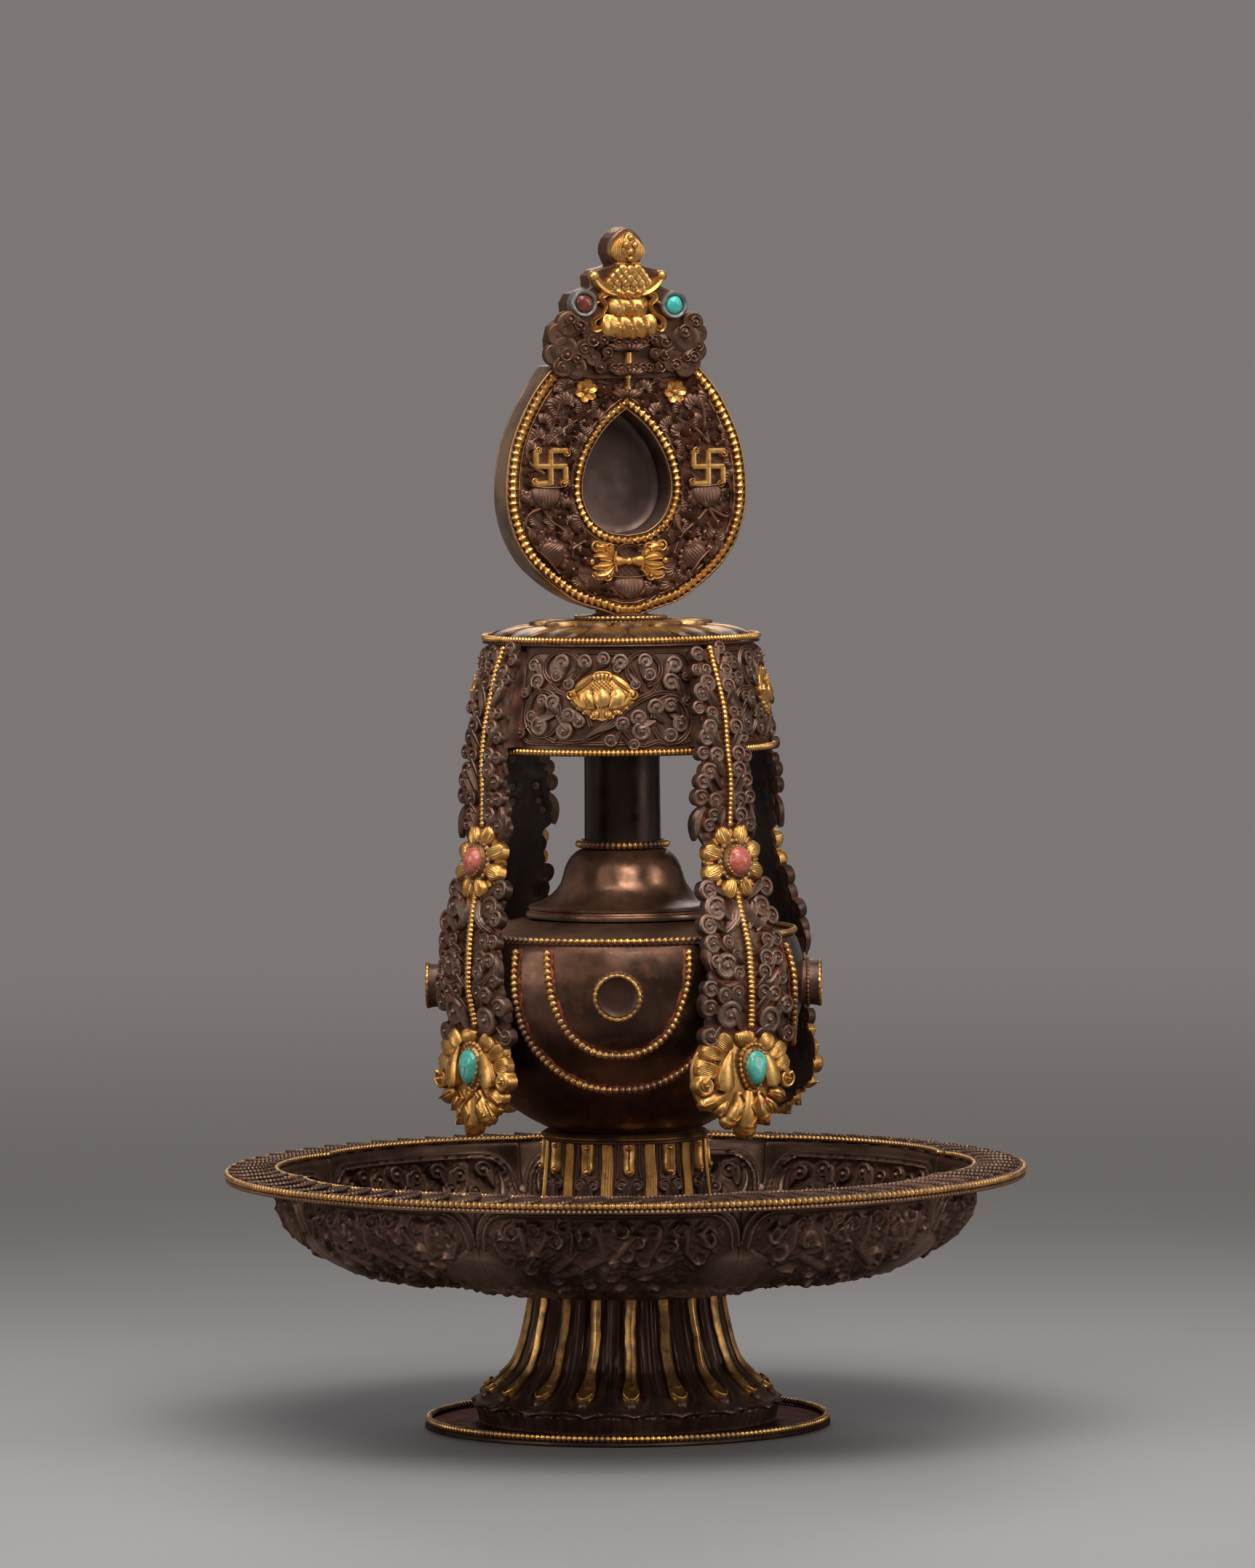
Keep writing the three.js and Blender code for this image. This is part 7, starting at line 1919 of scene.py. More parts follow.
def ribbed_leaf(c, R, idx):
    dd = np.hypot(*(SP - c).T)
    i = int(np.argmin(dd))
    p, root, dirv = samples[i]
    side = 1 if dirv[0] * (c[1] - p[1]) - dirv[1] * (c[0] - p[0]) > 0 else -1
    v = root - c
    L = float(np.hypot(*v))
    if L < R * 1.25:
        v = v / max(L, 1e-6) * R * 1.5
    elif L > R * 2.8:
        v = v / L * R * 2.8
    j = hash01(idx, 31)
    if j > 0.86:
        side = -side
    # three or four narrow ribs wound together, then the eye
    if hash01(idx, 77) < 0.5:
        feather(c, R, c + v, side, j)
        placed.append((c[0], c[1], R * 0.95))
        return
    path, w, h = curl_path(c, R * 0.98, c + v, side, turns=0.55 + 0.15 * j, nt=7, ns=13, bow=0.12 * side)
    u = np.linspace(0, 1, len(path))
    w = R * (0.30 + 0.92 * np.sin(np.clip(0.10 + u * 0.8, 0, 1) * PI) ** 0.9)
    path = keep_in(path, 4.2 + w * 0.42, 3.3 + w * 0.42)
    ribbon(fr_b, face, path, w, 1.35 + 0.95 * np.sin(np.clip(u, 0, 1) * PI * 0.75) + 0.3 * j, striped(5, 0.30, 1.0, 0.42, m=21), base=-0.5, tone=0.1 + 0.5 * hash01(idx, 5), href=3.3)
    dome(fr_b, face, c, 0.30 * R, 0.2, 1.75 + 0.3 * j, n=8, tone=0.2, href=2.2)
    placed.append((c[0], c[1], R * 0.95))


for i, (cx, cy, r) in enumerate(LEAVES):
    ribbed_leaf(np.array(P_(cx, cy)), r * 1.04, i)

EMB = [(-26.2, 308.8), (27.4, 308.0)]
for x, z, r in ((-26.2, 308.8, 6.4), (27.4, 308.0, 6.4), (-28, 298.3, 6.0), (27, 298, 6.0), (-14, 333, 3.6), (16.3, 332.3, 3.6), (-25, 281.7, 5.0), (21.6, 280.8, 5.0), (-9.5, 278.3, 5.2), (9.5, 278.3, 5.2), (0, 278.3, 4.0), (0, 270.8, 5.6), (0, 333, 5.5), (0, 338, 8)):
    placed.append((x, z, r))
rs = np.random.RandomState(7)
fill = 0
rim_r = lambda q: float(np.interp(q % (2 * PI), np.append(qa, 2 * PI), np.append(rt, rt[0])))
win_r = lambda q: float(np.interp(q % (2 * PI), np.append(qa, 2 * PI), np.append(rw, rw[0])))
for t_ in range(9000):
    x, z = rs.uniform(-39, 39), rs.uniform(263, 340)
    v = np.array([x, z]) - CEN
    rr, q = float(np.hypot(*v)), math.atan2(v[1], v[0])
    want = 1.95 if t_ < 3000 else (1.5 if t_ < 6000 else 1.15)
    if rr + want > rim_r(q) - 4.0 or rr - want < win_r(q) + 3.6 or z > 339:
        continue
    if any((x - a) ** 2 + (z - c) ** 2 < (r * 0.93 + want * 0.8) ** 2 for a, c, r in placed):
        continue
    ribbed_leaf(np.array([x, z]), want * 1.08, 500 + t_)
    fill += 1
print("fill leaves", fill)
# a low, pebbled ground between the leaves
b = Bag()
rings_ = [ringp(rw + 1.0, FRONT + 0.5)]
for i, f in enumerate(np.linspace(0, 1, 44)):
    r_ = (rw + 1.0) * (1 - f) + (rt - 1.2) * f
    rings_.append(ringp(r_, FRONT - 0.30 - 0.16 * np.sin(qa * 61 + i * 2.1) * np.sin(i * 0.9 + 2 * np.sin(qa * 9)) - 0.10 * np.sin(qa * 97 + i * 4.3)))
rings_.append(ringp(rt - 1.2, FRONT + 0.5))
fr_ = np.concatenate([[0.0], np.linspace(0, 1, 44), [1.0]])[:, None]
spill = np.clip((fr_ - 0.86) / 0.06, 0, 1) * np.clip(0.35 + 0.5 * np.sin(2 * qa + 0.4) + 0.35 * np.sin(7 * qa + 1) + 0.25 * np.sin(17 * qa), 0, 1) + np.clip((0.12 - fr_) / 0.05, 0, 1) * np.clip(0.25 + 0.5 * np.sin(3 * qa + 2) + 0.35 * np.sin(11 * qa), 0, 1)
closed_rings(b, rings_, gold=np.clip(spill, 0, 1).reshape(-1), h=0.15, tone=0.9)
build("plaque_front_ground", b.turned(PLAQUE_TURN), M_PLAQUE, "plaque", (), sharp=60)
build("plaque_chased_feathers", fe_b.turned(PLAQUE_TURN), M_PLAQUE, "plaque", (), sharp=60)
b = Bag()
# the window's lining, in a darker copper that paints the recess's shade
lin = [ringp(rw * f, 5.05) for f in (0.1, 0.3, 0.55, 0.8)]
lin += [ringp(rw + o, y) for o, y in ((-0.1, 4.95), (0.1, 3.0), (0.1, -5.7), (-0.42, -5.9), (-0.42, -2), (-0.42, 3.0), (-0.6, 4.0), (-1.3, 4.55))]
lin += [ringp(rw * f, 4.72 + 0.13 * np.sin(qa * 2 + f * 7)) for f in (0.8, 0.55, 0.3, 0.1)]
closed_rings(b, lin, h=0.3, tone=0.3, cap=True)
build("plaque_window_lining", b.turned(PLAQUE_TURN), M_WINDOW_SHADE, "plaque", (), sharp=40)
build("plaque_chased_front", fr_b.turned(PLAQUE_TURN), M_PLAQUE, "plaque", ["plaque_front"], sharp=40)

# gilded and dark single ornaments on the front
for e, (ex_, ez) in zip((-1, 1), EMB):
    w = 2.05
    bars = [
        [(0, 5.6), (0, -5.6)],
        [(-5.4, 0.2), (5.4, 0.2)],
        [(0.0, 5.2), (5.6, 5.2)], [(5.0, 0.0), (5.0, -5.2)], [(0.0, -5.2), (-6.3, -5.4)], [(-5.0, 0.2), (-5.0, 5.4)],
    ]
    emb = Bag()
    for pth in bars:
        ribbon(emb, face, even(np.array(pth) + [ex_, ez], 9), w, 2.3, [(-0.5, 0), (-0.5, 0.7), (-0.36, 0.96), (-0.1, 1.0), (0.1, 1.0), (0.36, 0.96), (0.5, 0.7), (0.5, 0)], gold=1.0, tone=0.1, base=-0.4)
    for px, pz, tx, tz_, d in ((5.5, 4.3, 3.2, 5.4, -1), (4.2, -5.3, 5.2, -3.0, -1), (-5.4, -4.6, -3.2, -5.6, -1), (-4.2, 5.2, -5.2, 3.0, -1)):
        curl(emb, face, (ex_ + px, ez + pz), 1.35, (ex_ + tx, ez + tz_), d, H=2.5, gold=1.0, tone=0.1, knob=0.34, fine=0.6)
    build("plaque_emblem_" + ("left" if e < 0 else "right"), emb.turned(PLAQUE_TURN), M_GILT, "plaque", (), sharp=32)


def flower(bag, x, z, R, n, rot=0.0, H=2.3, gold=1.0):
    for i in range(n):
        an = rot + i * 2 * PI / n
        u = np.linspace(0, 1, 12)
        P = np.stack([x + R * (0.18 + 0.86 * u) * math.cos(an), z + R * (0.18 + 0.86 * u) * math.sin(an)], -1)
        w = R * (5.2 / n) * np.sin(np.clip(0.12 + u * 0.66, 0, 1) * PI) ** 0.7 * np.sqrt(np.clip(1.02 - u**6, 0.01, 1))
        ribbon(bag, face, P, w, H * (0.75 + 0.25 * u), [(-0.5, 0), (-0.5, 0.7), (-0.42, 1.0), (-0.25, 0.86), (0, 0.66), (0.25, 0.86), (0.42, 1.0), (0.5, 0.7), (0.5, 0)], gold=gold, tone=0.2, base=-0.4, href=2.8)
    dome(bag, face, (x, z), R * 0.27, 0, H * 1.25, n=12, gold=gold, tone=0.0, href=2.8)


gl = Bag()
flower(gl, -14.0, 333.0, 3.7, 6, 0.3)
flower(gl, 16.3, 332.3, 3.7, 6, 0.1)
# the double-ended sceptre below the window
for e in (-1, 1):
    Z0 = 278.3
    ribbon(gl, face, even(spline([(e * 0.8, Z0), (e * 2.6, Z0), (e * 4.6, Z0)], 6), 12), np.linspace(2.6, 4.6, 12), 2.8, ROUND, gold=1.0, tone=0.1, base=-0.4)
    ribbon(gl, face, even(np.array([(e * 4.3, Z0 - 3.2), (e * 4.9, Z0), (e * 4.3, Z0 + 3.2)]), 9), 1.3, 2.6, ROUND, gold=1.0, tone=0.2, base=-0.4)
    for k_, (o, w) in enumerate(((4.4, 1.9), (1.5, 1.7), (-1.4, 1.7), (-4.2, 1.9))):
        P = [(e * 4.6, Z0 + o * 0.25), (e * 7.4, Z0 + o * 0.95), (e * 10.4, Z0 + o * 1.08), (e * 12.4, Z0 + o * 0.86)]
        leaf(gl, face, P, w * 2.0, 2.9, ribs=2, n=16, gold=1.0, tone=0.15, amp=0.25, base=-0.4, tip=0.35)
    curl(gl, face, (e * 11.0, Z0 + 5.0), 2.1, (e * 7.4, Z0 + 3.6), e, H=2.9, gold=1.0, knob=0.36)
    curl(gl, face, (e * 6.6, Z0 + 4.4), 1.75, (e * 5.0, Z0 + 1.6), e, H=2.7, gold=1.0, knob=0.36)
    curl(gl, face, (e * 7.2, Z0 - 4.8), 1.8, (e * 5.0, Z0 - 1.6), -e, H=2.7, gold=1.0, knob=0.36)
    dome(gl, face, (e * 12.6, Z0), 1.2, 0, 2.6, n=10, gold=1.0)
dome(gl, face, (0, 278.2), 1.5, 0, 3.4, n=14, gold=1.0, tone=0.0)
# stem over the window
for z0, z1, w in ((334.0, 337.4, 1.7), (336.8, 338.2, 2.6), (333.2, 334.2, 2.4), (341.6, 345.0, 3.0)):
    ribbon(gl, face, even(np.array([(0.2, z0), (0.2, z1)]), 6), w, 3.0 if z0 < 340 else 3.6, ROUND, gold=1.0, tone=0.1, base=-0.4)
build("plaque_gilded_ornaments", gl.turned(PLAQUE_TURN), M_GILT, "plaque", (), sharp=32)

dk = Bag()


def lotus_side(bag, x, z, w, h, H=2.8, tilt=0.0):
    """A lotus seen from the side: a hatched tongue-shaped middle petal over a ring of rounded ones."""
    ct, st_ = math.cos(tilt), math.sin(tilt)
    turn_ = lambda p, q: (x + p * ct - q * st_, z + p * st_ + q * ct)
    for i in range(-4, 5):
        an = i * 21 * RAD
        rr = 1.0 if abs(i) < 3 else 1.06
        px, pz = w * 0.43 * math.sin(an) * rr, -h * 0.40 * math.cos(an) * rr + h * 0.18
        dome(bag, face, turn_(px, pz), w * 0.105, -0.4, H * (0.60 + 0.03 * (4 - abs(i))), n=16, ry=h * 0.22, turn=tilt + an, steps=((1, 0.0), (1, 0.55), (0.92, 0.82), (0.7, 0.96), (0.35, 1.0)), tone=0.25, href=3.2)
    u = np.linspace(0, 1, 20)
    wd = w * 0.80 * np.where(u < 0.25, 0.88 + 0.12 * np.sin(u / 0.25 * PI / 2), np.clip(1 - ((u - 0.25) / 0.77) ** 2.3, 0.02, 1))
    P = np.array([turn_(0.0, h * 0.42 - u_ * h * 0.84) for u_ in u])
    ribbon(bag, face, P, wd, H * (0.80 + 0.32 * np.sin(np.clip(u, 0, 1) * PI * 0.8)), striped(9, 0.045, 1.0, 0.5), tone=0.5, base=-0.4, href=5.2)
    v = np.linspace(-1, 1, 24)
    Q = np.array([turn_(v_ * w * 0.46, h * 0.42 + 0.55 * v_ * v_) for v_ in v])
    ribbon(bag, face, Q, 0.85 * np.sqrt(np.clip(1.05 - v**2, 0.02, 1)), H * 1.0, ROUND, tone=0.1, base=-0.4, href=3.2)


lotus_side(dk, -28.0, 298.6, 13.4, 8.6, tilt=-0.06)
lotus_side(dk, 27.0, 298.4, 13.4, 8.6, tilt=0.05)
for x, z, tl in ((-25, 281.7, 2.35), (21.6, 280.8, -2.3)):
    lotus_side(dk, x, z, 11.2, 8.6, tilt=tl)
# bud at the foot, ring behind the sceptre's middle, leaf over the window
lotus_side(dk, 0.0, 269.6, 14.0, 8.4)
for i in range(-6, 7):
    dome(dk, face, (i * 0.72, 273.1 - 0.012 * i * i), 0.42, 0.5, 2.4, n=7, tone=0.2)
q = np.linspace(0, 2 * PI, 40)
ribbon(dk, face, np.stack([3.6 * np.cos(q), 281.3 + 2.3 * np.sin(q)], -1), 1.2, 2.2, DOUBLE, tone=0.4, base=-0.4)
for i in range(-3, 4):
    an = i * 24
    leaf(dk, face, [(0.4 * i, 331.0), (2.6 * math.sin(an * RAD) + 0.25 * i, 331.2 + 1.6 * math.cos(an * RAD)), (5.9 * math.sin(an * RAD) * (1.05 if abs(i) > 1 else 0.8), 331.4 + 2.6 * math.cos(an * RAD) + (0.5 if abs(i) == 3 else 0))], 2.2, 2.6, ribs=2, n=12, tone=0.2)
build("plaque_dark_ornaments", dk.turned(PLAQUE_TURN), M_PLAQUE, "plaque", (), sharp=36)

# --------------------------------------------------------------------- the crest
CREST = [(336.8, 12.5), (337.6, 19.4), (339.8, 22.4), (344.4, 25.2), (349.4, 25.6), (353.4, 24.6), (356.0, 21.6), (356.9, 19.6), (358.6, 19.9), (361, 20.1), (364.0, 18.4), (365.3, 14.2), (366.2, 12.4), (369.5, 12.7), (371.6, 10.6), (372.6, 6.2), (373.2, 4.9), (374.4, 5.6), (376.8, 6.5), (379.4, 6.35), (381.6, 5.4), (383.4, 3.7), (384.6, 1.8), (385.1, 0.5)]
cwf = lambda z: np.interp(z, [c[0] for c in CREST], [c[1] for c in CREST])
CF = -7.85
zz = np.concatenate([np.linspace(336.8, 373.2, 110), np.linspace(373.6, 385.1, 44)])
U = np.linspace(-1, 1, 49)
W = cwf(zz)
W = W - 0.3
X = W[:, None] * U[None, :]
Zg = np.repeat(zz[:, None], 49, 1)
rnd_ = np.clip((1 - np.abs(U[None, :])) * W[:, None] / 1.6, 0, 1)
hf = -1.1 + 1.1 * np.sqrt(np.clip(1 - (1 - rnd_) ** 2, 0, 1))
bk = np.sqrt(np.clip(1 - (1 - rnd_) ** 2, 0, 1))
b = Bag()
fronty = np.stack([X, CF - hf, Zg], -1)
backy = np.stack([X, 2.5 - 1.0 * (1 - bk) + 0.08 * np.sin(X * 0.8) * np.sin(Zg * 0.7), Zg], -1)
grid_solid(b, fronty, backy, h=np.full_like(X, 0.2), tone=0.35)
build("crest_body", b.turned(PLAQUE_TURN), M_PLAQUE, "plaque", ["plaque_crest"], sharp=46)


def cface(x, z, h):
    x, z, h = np.broadcast_arrays(x, z, h)
    return np.stack([x - 0.6, CF - h, z], -1)


cl = Bag()
# smooth cloud lobes
for cx, cy, r in ((345, 432, 4.6), (300, 470, 3.9), (440, 468, 3.6), (405, 430, 3.4), (325, 530, 4.9), (285, 545, 3.6), (370, 596, 3.9), (320, 590, 3.6), (405, 525, 3.4), (440, 560, 2.8), (730, 480, 3.8), (775, 520, 4.2), (820, 490, 5.0), (850, 430, 3.6), (868, 470, 3.4), (862, 535, 3.6), (815, 596, 3.7), (760, 580, 3.2), (735, 550, 3.2), (848, 580, 2.8)):
    x, z = P_(cx, cy)
    j = hash01(cx, cy)
    dome(cl, cface, (x, z), r, -1.0, 1.5 + 0.5 * j, n=26, steps=((1, 0), (1, 0.72), (0.95, 0.9), (0.86, 0.98), (0.6, 0.95), (0.3, 0.93)), tone=0.7, href=4.4)
for cx, cy, r, tx, ty, d in ((384, 435, 2.2, 350, 480, 1), (437, 492, 2.4, 470, 455, -1), (330, 545, 2.5, 300, 500, 1), (403, 525, 2.0, 440, 560, 1), (313, 590, 2.0, 350, 620, -1), (372, 560, 2.1, 345, 600, 1), (345, 410, 2.1, 310, 450, 1), (735, 500, 2.4, 700, 470, -1), (733, 550, 2.1, 770, 520, 1), (815, 462, 2.6, 780, 500, -1), (777, 590, 2.2, 740, 610, -1), (850, 560, 2.1, 820, 590, -1), (868, 520, 1.9, 840, 490, 1), (858, 425, 2.1, 830, 455, -1), (822, 560, 1.8, 850, 520, 1), (480, 492, 1.9, 455, 530, 1), (495, 540, 2.0, 470, 580, 1), (468, 596, 2.2, 510, 610, -1), (690, 492, 1.9, 720, 530, -1), (690, 545, 2.0, 715, 580, -1), (712, 596, 2.1, 670, 612, 1), (540, 500, 1.8, 570, 530, 1), (575, 500, 1.7, 560, 530, -1), (607, 500, 1.7, 620, 530, 1), (645, 500, 1.8, 615, 530, -1), (548, 600, 1.9, 580, 620, 1), (575, 596, 1.6, 590, 625, -1), (608, 596, 1.6, 590, 625, 1), (640, 600, 1.9, 610, 620, -1), (520, 600, 1.7, 545, 625, 1), (665, 600, 1.7, 640, 625, -1), (515, 478, 1.6, 545, 470, -1), (668, 478, 1.6, 640, 470, 1)):
    curl(cl, cface, P_(cx, cy), r, P_(tx, ty), d, H=2.8, tone=0.5, base=-0.6, href=4.2, knob=0.27)
for z0, w, up in ((347.2, 8.2, 1), (339.4, 7.4, 1)):
    for i in range(-3, 4):
        an = i * 22
        leaf(cl, cface, [(0.7 + 0.5 * i, z0 - 1.6), (0.7 + w * 0.5 * math.sin(an * RAD), z0 - 1.2 + 1.0 * math.cos(an * RAD)), (0.7 + w * math.sin(an * RAD), z0 - 0.6 + 2.2 * math.cos(an * RAD))], 2.4, 3.0, ribs=2, n=12, tone=0.2, href=3.2)
rs = np.random.RandomState(11)
for i in range(46):
    x, z = rs.uniform(-22, 22), rs.uniform(339, 355)
    if abs(x) < 10:
        continue
    dome(cl, cface, (x, z), 0.32, 1.0, 2.25, n=6, tone=0.4, href=2.4)
build("crest_clouds", cl.turned(PLAQUE_TURN), M_PLAQUE, "plaque", (), sharp=36)

g = Bag()


def tier(zc, rz, rx, H0, H1, flutes, depth, droop=0.0):
    S, T = np.meshgrid(np.linspace(-1, 1, 8 * flutes + 1), np.linspace(-1, 1, 17), indexing="ij")
    wv = np.sqrt(np.clip(1 - (T * 0.92) ** 2, 0, 1)) * 0.22 + 0.78
    X = S * rx * wv + 0.6
    fl_ = np.cos(S * PI * flutes + 1.1 * np.sin(S * 2.3 + 1.2 * T) + 0.7 * T)
    Zz = zc + T * rz * (1 + 0.12 * fl_ * (T < 0)) - droop * (1 - S**2)
    H = H0 + (H1 - H0) * np.sqrt(np.clip(1 - S**2, 0, 1)) * np.sqrt(np.clip(1 - (T * 0.85) ** 2, 0, 1)) + depth * fl_ * np.sqrt(np.clip(1 - T**2, 0, 1))
    grid_solid(g, cface(X, Zz, H), cface(X, Zz, np.full_like(X, -0.5)), gold=1.0, h=np.clip(0.5 + 0.5 * fl_, 0, 1), tone=0.2)


tier(354.0, 3.5, 9.8, 1.0, 4.8, 4, 0.75, 1.0)
tier(359.9, 2.8, 7.4, 1.0, 4.4, 3, 0.65, 0.7)
tier(357.0, 0.8, 6.4, 0.8, 3.0, 7, 0.3, 0.5)
tier(363.0, 1.0, 5.4, 0.8, 3.2, 6, 0.3, 0.3)
tier(365.2, 1.7, 7.8, 0.8, 3.8, 4, 0.2, 1.3)
for k_, (z, n_, w) in enumerate(((365.9, 6, 8.3), (367.5, 6, 7.6), (369.1, 5, 6.4), (370.6, 4, 5.1), (371.9, 3, 3.7))):
    for i in range(n_):
        x = 0.6 + (i - (n_ - 1) / 2) * 2 * w / n_
        dome(g, cface, (x, z - 0.5 * (1 - ((x - 0.6) / w) ** 2)), 1.5, 0.5, 4.0 + 0.25 * k_ - 0.2 * abs(x - 0.6), n=14, ry=1.7, steps=((1, 0), (1, 0.7), (0.86, 0.93), (0.45, 1.0)), gold=1.0, tone=0.2, href=4.6)
for e in (-1, 1):
    P = even(spline([(0.6 + e * 1.5, 363.9), (0.6 + e * 5.8, 364.6), (0.6 + e * 9.4, 366.8), (0.6 + e * 11.6, 369.6)], 8), 22)
    u = np.linspace(0, 1, 22)
    ribbon(g, cface, P, 2.0 + 1.9 * np.sin(u * PI) * (1 - 0.4 * u), 3.0, [(-0.5, 0), (-0.5, 0.6), (-0.3, 1.0), (0, 0.85), (0.3, 1.0), (0.5, 0.6), (0.5, 0)], gold=1.0, tone=0.1, href=4)
    dome(g, cface, (0.6 + e * 11.5, 369.5), 1.7, 0, 3.4, n=14, gold=1.0, tone=0.0, href=4)
    P = even(spline([(0.6 + e * 6.2, 364.4), (0.6 + e * 9.2, 362.6), (0.6 + e * 7.6, 360.0), (0.6 + e * 9.0, 357.2), (0.6 + e * 11.8, 355.2), (0.6 + e * 11.4, 352.4), (0.6 + e * 9.4, 352.8)], 8), 44)
    u = np.linspace(0, 1, 44)
    ribbon(g, cface, P, 1.9 + 0.5 * np.sin(u * 9), 2.5 + 0.3 * np.sin(u * 12), [(-0.5, 0), (-0.5, 0.7), (-0.3, 1.0), (0, 0.72), (0.3, 1.0), (0.5, 0.7), (0.5, 0)], gold=1.0, tone=0.15, href=4)
    P = even(spline([(0.6 + e * 9.5, 361.5), (0.6 + e * 11.2, 360.4), (0.6 + e * 12.2, 358.4)], 8), 14)
    ribbon(g, cface, P, 1.3, 2.0, ROUND, gold=0.9, tone=0.2, href=4)
    # the jewel's fanned sides
    for k_ in range(7):
        f = k_ / 6
        P = [(0.6 + e * (0.7 + 0.25 * k_), 373.2), (0.6 + e * (1.6 + 3.9 * f), 376.6 + 0.4 * f), (0.6 + e * (0.5 + 3.4 * f * (1 - 0.12 * f)), 383.6 - 2.6 * f)]
        leaf(g, cface, P, 1.15, 2.2 + 1.9 * (1 - f), ribs=1, n=16, gold=1.0, tone=0.15, amp=0.1, base=-0.6, href=4.4, tip=0.4)
dome(g, cface, (0.6, 378.9), 2.6, 0.4, 4.4, n=18, ry=4.6, gold=1.0, tone=0.1, href=5)
for x, z, r in ((0.7, 381.6, 1.15), (-0.9, 379.4, 1.2), (2.1, 379.3, 1.2), (0.6, 377.2, 1.25), (0.6, 374.9, 0.95)):
    dome(g, cface, (x, z), r, 2.5, 5.6, n=12, gold=1.0, tone=0.0, href=5.6)
ribbon(g, cface, even(np.array([(-3.4, 373.0), (4.6, 373.0)]), 14), 1.7, 3.4, striped(2, 0.2), gold=1.0, tone=0.2, href=4)
build("crest_gilded_parasol", g.turned(PLAQUE_TURN), M_GILT, "plaque", (), sharp=32)

bz = Bag()
for x, z in ((-14.4, 360.8), (16.2, 360.0)):
    q = np.arange(64) / 64 * 2 * PI
    rings_ = []
    for f, h in ((4.6, -1.8), (4.6, 1.2), (4.45, 2.2), (4.0, 2.75), (3.4, 2.7), (3.05, 2.3), (2.9, 1.2), (2.9, -1.8)):
        rings_.append(cface(x + (f + 0.07 * np.sin(5 * q + x)) * np.cos(q), z + (f + 0.06 * np.sin(4 * q)) * np.sin(q), h + 0.08 * np.sin(6 * q + x)))
    closed_rings(bz, rings_, h=0.9, tone=0.0)
build("crest_stone_settings", bz.turned(PLAQUE_TURN), M_BEZEL, "plaque", (), sharp=50)
b = Bag()
cab(b, cface, (-14.4, 360.8), 3.15, 3.15, 0.4, 3.5, seed=3)
build("crest_red_stone", b.turned(PLAQUE_TURN), M_GARNET, "plaque", ["crest_garnet"])
b = Bag()
cab(b, cface, (16.2, 360.0), 3.1, 3.1, 0.4, 3.3, seed=5)
build("crest_turquoise_stone", b.turned(PLAQUE_TURN), M_TURQ_BRIGHT, "plaque", ["crest_turquoise"])

# the plaque's turned foot
b = Bag()
pg_ = [(0, 262.3), (5.0, 262.9), (7.4, 262.6), (8.4, 262.2), (7.8, 261.6), (9.5, 261.0), (13.2, 260.85), (14.1, 260.6), (14.3, 260.0), (13.8, 259.5), (14.3, 259.0), (14.2, 258.5), (13.4, 258.25), (4.0, 258.2), (4.0, 248.2), (3.5, 247.6), (0, 247.6)]
disc_lathe(b, pg_, 160, gold=lambda a, r, z: np.where((z > 261.2) & (r > 3), 0.85, 0.0), h=0.6, tone=0.3)
build("plaque_foot", b.turned(PLAQUE_TURN), M_GILT, "plaque", ["plaque_peg"], sharp=45)
b = Bag()
ring_beads(b, 14.35, 260.2, 1.7, 0.75, 0.75, gold=0.5, seed=31.0, sides=7)
ring_beads(b, 14.1, 258.95, 1.4, 0.7, 0.65, gold=0.35, seed=32.0, sides=7)
build("plaque_foot_twisted_wire", b.turned(PLAQUE_TURN), M_WIRE, "plaque", ())

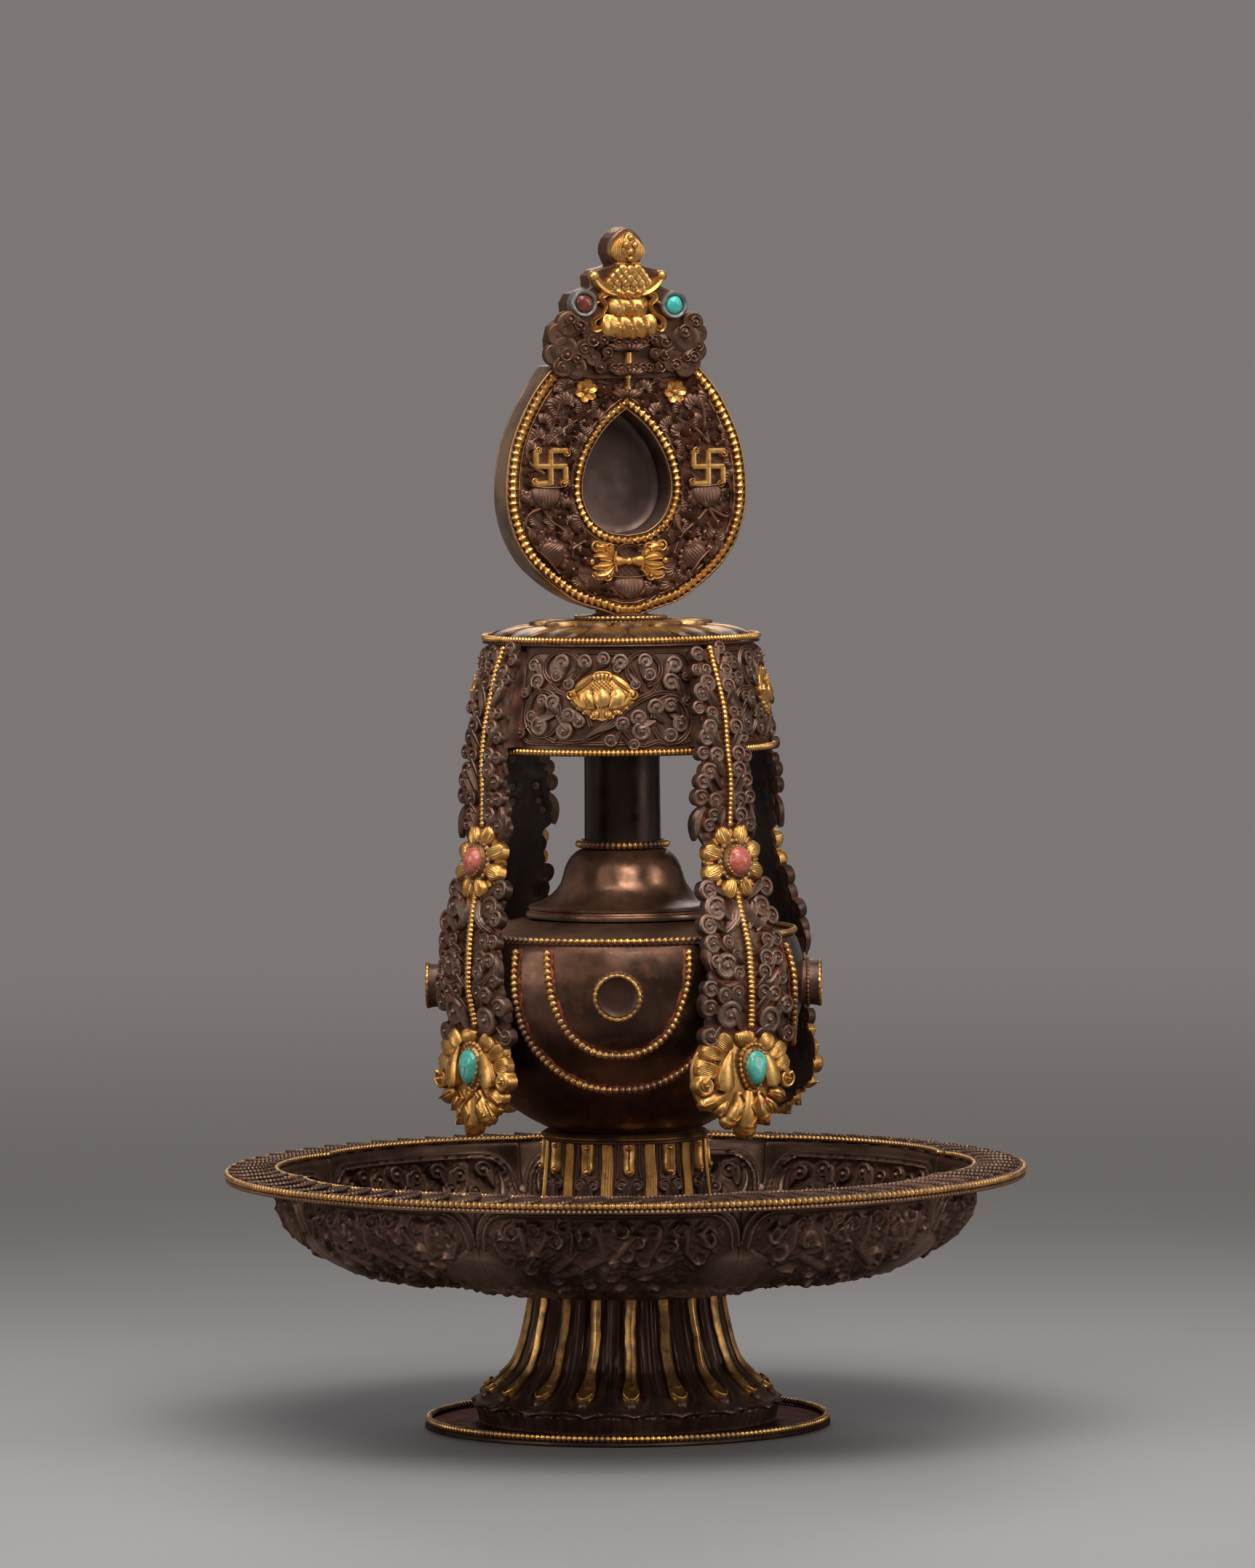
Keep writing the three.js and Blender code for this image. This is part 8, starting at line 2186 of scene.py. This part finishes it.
# ----------------------------------------------------------------------- studio
def studio():
    # floor: pale near the object, darker towards the back as painted light falloff, running out into the grey of the
    # room
    me = bpy.data.meshes.new("studio_floor")
    n = 96
    rings = [0.0, 0.35, 0.8, 1.6, 3.0, 6.0, 14.0]
    verts = [(0, 0, 0)]
    for r in rings[1:]:
        for i in range(n):
            a = 2 * PI * i / n
            verts.append((r * math.cos(a), r * math.sin(a), 0.0))
    faces = [(0, 1 + i, 1 + (i + 1) % n) for i in range(n)]
    for j in range(len(rings) - 2):
        b0, b1 = 1 + j * n, 1 + (j + 1) * n
        for i in range(n):
            faces.append((b0 + i, b1 + i, b1 + (i + 1) % n, b0 + (i + 1) % n))
    me.from_pydata(verts, [], faces)
    o = bpy.data.objects.new("studio_floor", me)
    bpy.context.scene.collection.objects.link(o)
    m, nt, bsdf = nt_new("studio_floor")
    k = NT(nt)
    sep = nt.nodes.new("ShaderNodeVectorMath")
    sep.operation = "LENGTH"
    k.link(k.obj, sep.inputs[0])
    r = sep.outputs["Value"]
    xyz = nt.nodes.new("ShaderNodeSeparateXYZ")
    k.link(k.obj, xyz.inputs[0])
    y = xyz.outputs["Y"]
    c = k.mix(k.ramp(k.noise(2.2, 3.0), 0.3, 0.7), (0.258, 0.251, 0.253), (0.274, 0.267, 0.269))
    # darker towards the back: painted light falloff
    c = k.mix(k.ramp(y, -0.1, 0.7), c, (0.126, 0.119, 0.116))
    # darker where the AO finds the object close overhead: a painted shadow under the dish
    c = k.mix(k.ramp(k.ao(0.22), 0.97, 0.35, 0.0, 0.72), c, (0.02, 0.018, 0.017))
    k.link(c, bsdf.inputs["Base Color"])
    bsdf.inputs["Roughness"].default_value = 0.62
    bsdf.inputs["Specular IOR Level"].default_value = 0.2
    n_ = k.bump(k.noise(900, 2.0), 0.04, 0.0003)
    k.link(n_, bsdf.inputs["Normal"])
    # beyond half a metre the floor turns into an emission, from a darker grey to the world's grey: a painted glow, not
    # a lamp
    em = nt.nodes.new("ShaderNodeEmission")
    glow = k.mix(k.ramp(r, 0.8, 2.2), (0.146, 0.134, 0.127), (0.203, 0.186, 0.180))
    k.link(glow, em.inputs["Color"])
    em.inputs["Strength"].default_value = 1.0
    mx = nt.nodes.new("ShaderNodeMixShader")
    k.link(k.ramp(r, 0.5, 0.95), mx.inputs[0])
    k.link(bsdf.outputs[0], mx.inputs[1])
    k.link(em.outputs[0], mx.inputs[2])
    out = [n for n in nt.nodes if n.type == "OUTPUT_MATERIAL"][0]
    k.link(mx.outputs[0], out.inputs[0])
    me.materials.append(m)
    o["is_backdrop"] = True

    w = bpy.data.worlds.new("studio")
    bpy.context.scene.world = w
    w.use_nodes = True
    bg = w.node_tree.nodes.get("Background") or w.node_tree.nodes.new("ShaderNodeBackground")
    bg.inputs[0].default_value = (0.203, 0.186, 0.180, 1.0)
    bg.inputs[1].default_value = 1.0

    def area(name, loc, target, size, power, colour=(1, 1, 1), size_y=None, spread=180):
        l = bpy.data.lights.new(name, "AREA")
        l.shape = "RECTANGLE"
        l.size = size
        l.size_y = size_y or size
        l.energy = power
        l.color = colour
        l.spread = spread * RAD
        ob = bpy.data.objects.new(name, l)
        bpy.context.scene.collection.objects.link(ob)
        ob.location = loc
        d = Vector(target) - Vector(loc)
        ob.rotation_euler = d.to_track_quat("-Z", "Y").to_euler()
        ob.visible_camera = False
        return ob

    area("soft_top", (0.0, -0.35, 1.3), (0, 0.0, 0.15), 1.1, 13, (1.0, 0.985, 0.97), 0.8)
    area("soft_front", (0.4, -1.9, 1.75), (0, 0, 0.2), 1.3, 25, (1.0, 0.985, 0.97), 0.7)
    area("soft_left", (-2.0, -1.1, 0.9), (0, 0, 0.2), 1.1, 17, (1.0, 0.99, 0.98), 1.5)
    area("soft_right", (2.1, -0.9, 0.9), (0, 0, 0.2), 0.9, 15.5, (1.0, 0.98, 0.96), 1.5)
    area("soft_back", (0.0, 2.2, 1.3), (0, 0, 0.2), 1.3, 9, (1.0, 1.0, 1.0), 0.8)
    sc = bpy.context.scene
    sc.view_settings.view_transform = "Standard"
    sc.view_settings.look = "None"
    sc.view_settings.exposure = 0.0
    sc.view_settings.gamma = 1.0


studio()

MODEL_BOX = [list(v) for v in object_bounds()]
print("cad box", CAD_BOX, "model box", MODEL_BOX)
print("pieces", len(PIECES), "triangles", sum(2 * q + t for q, t in PIECES.values()))
print("largest", sorted(((2 * q + t, n) for n, (q, t) in PIECES.items()), reverse=True)[:12])
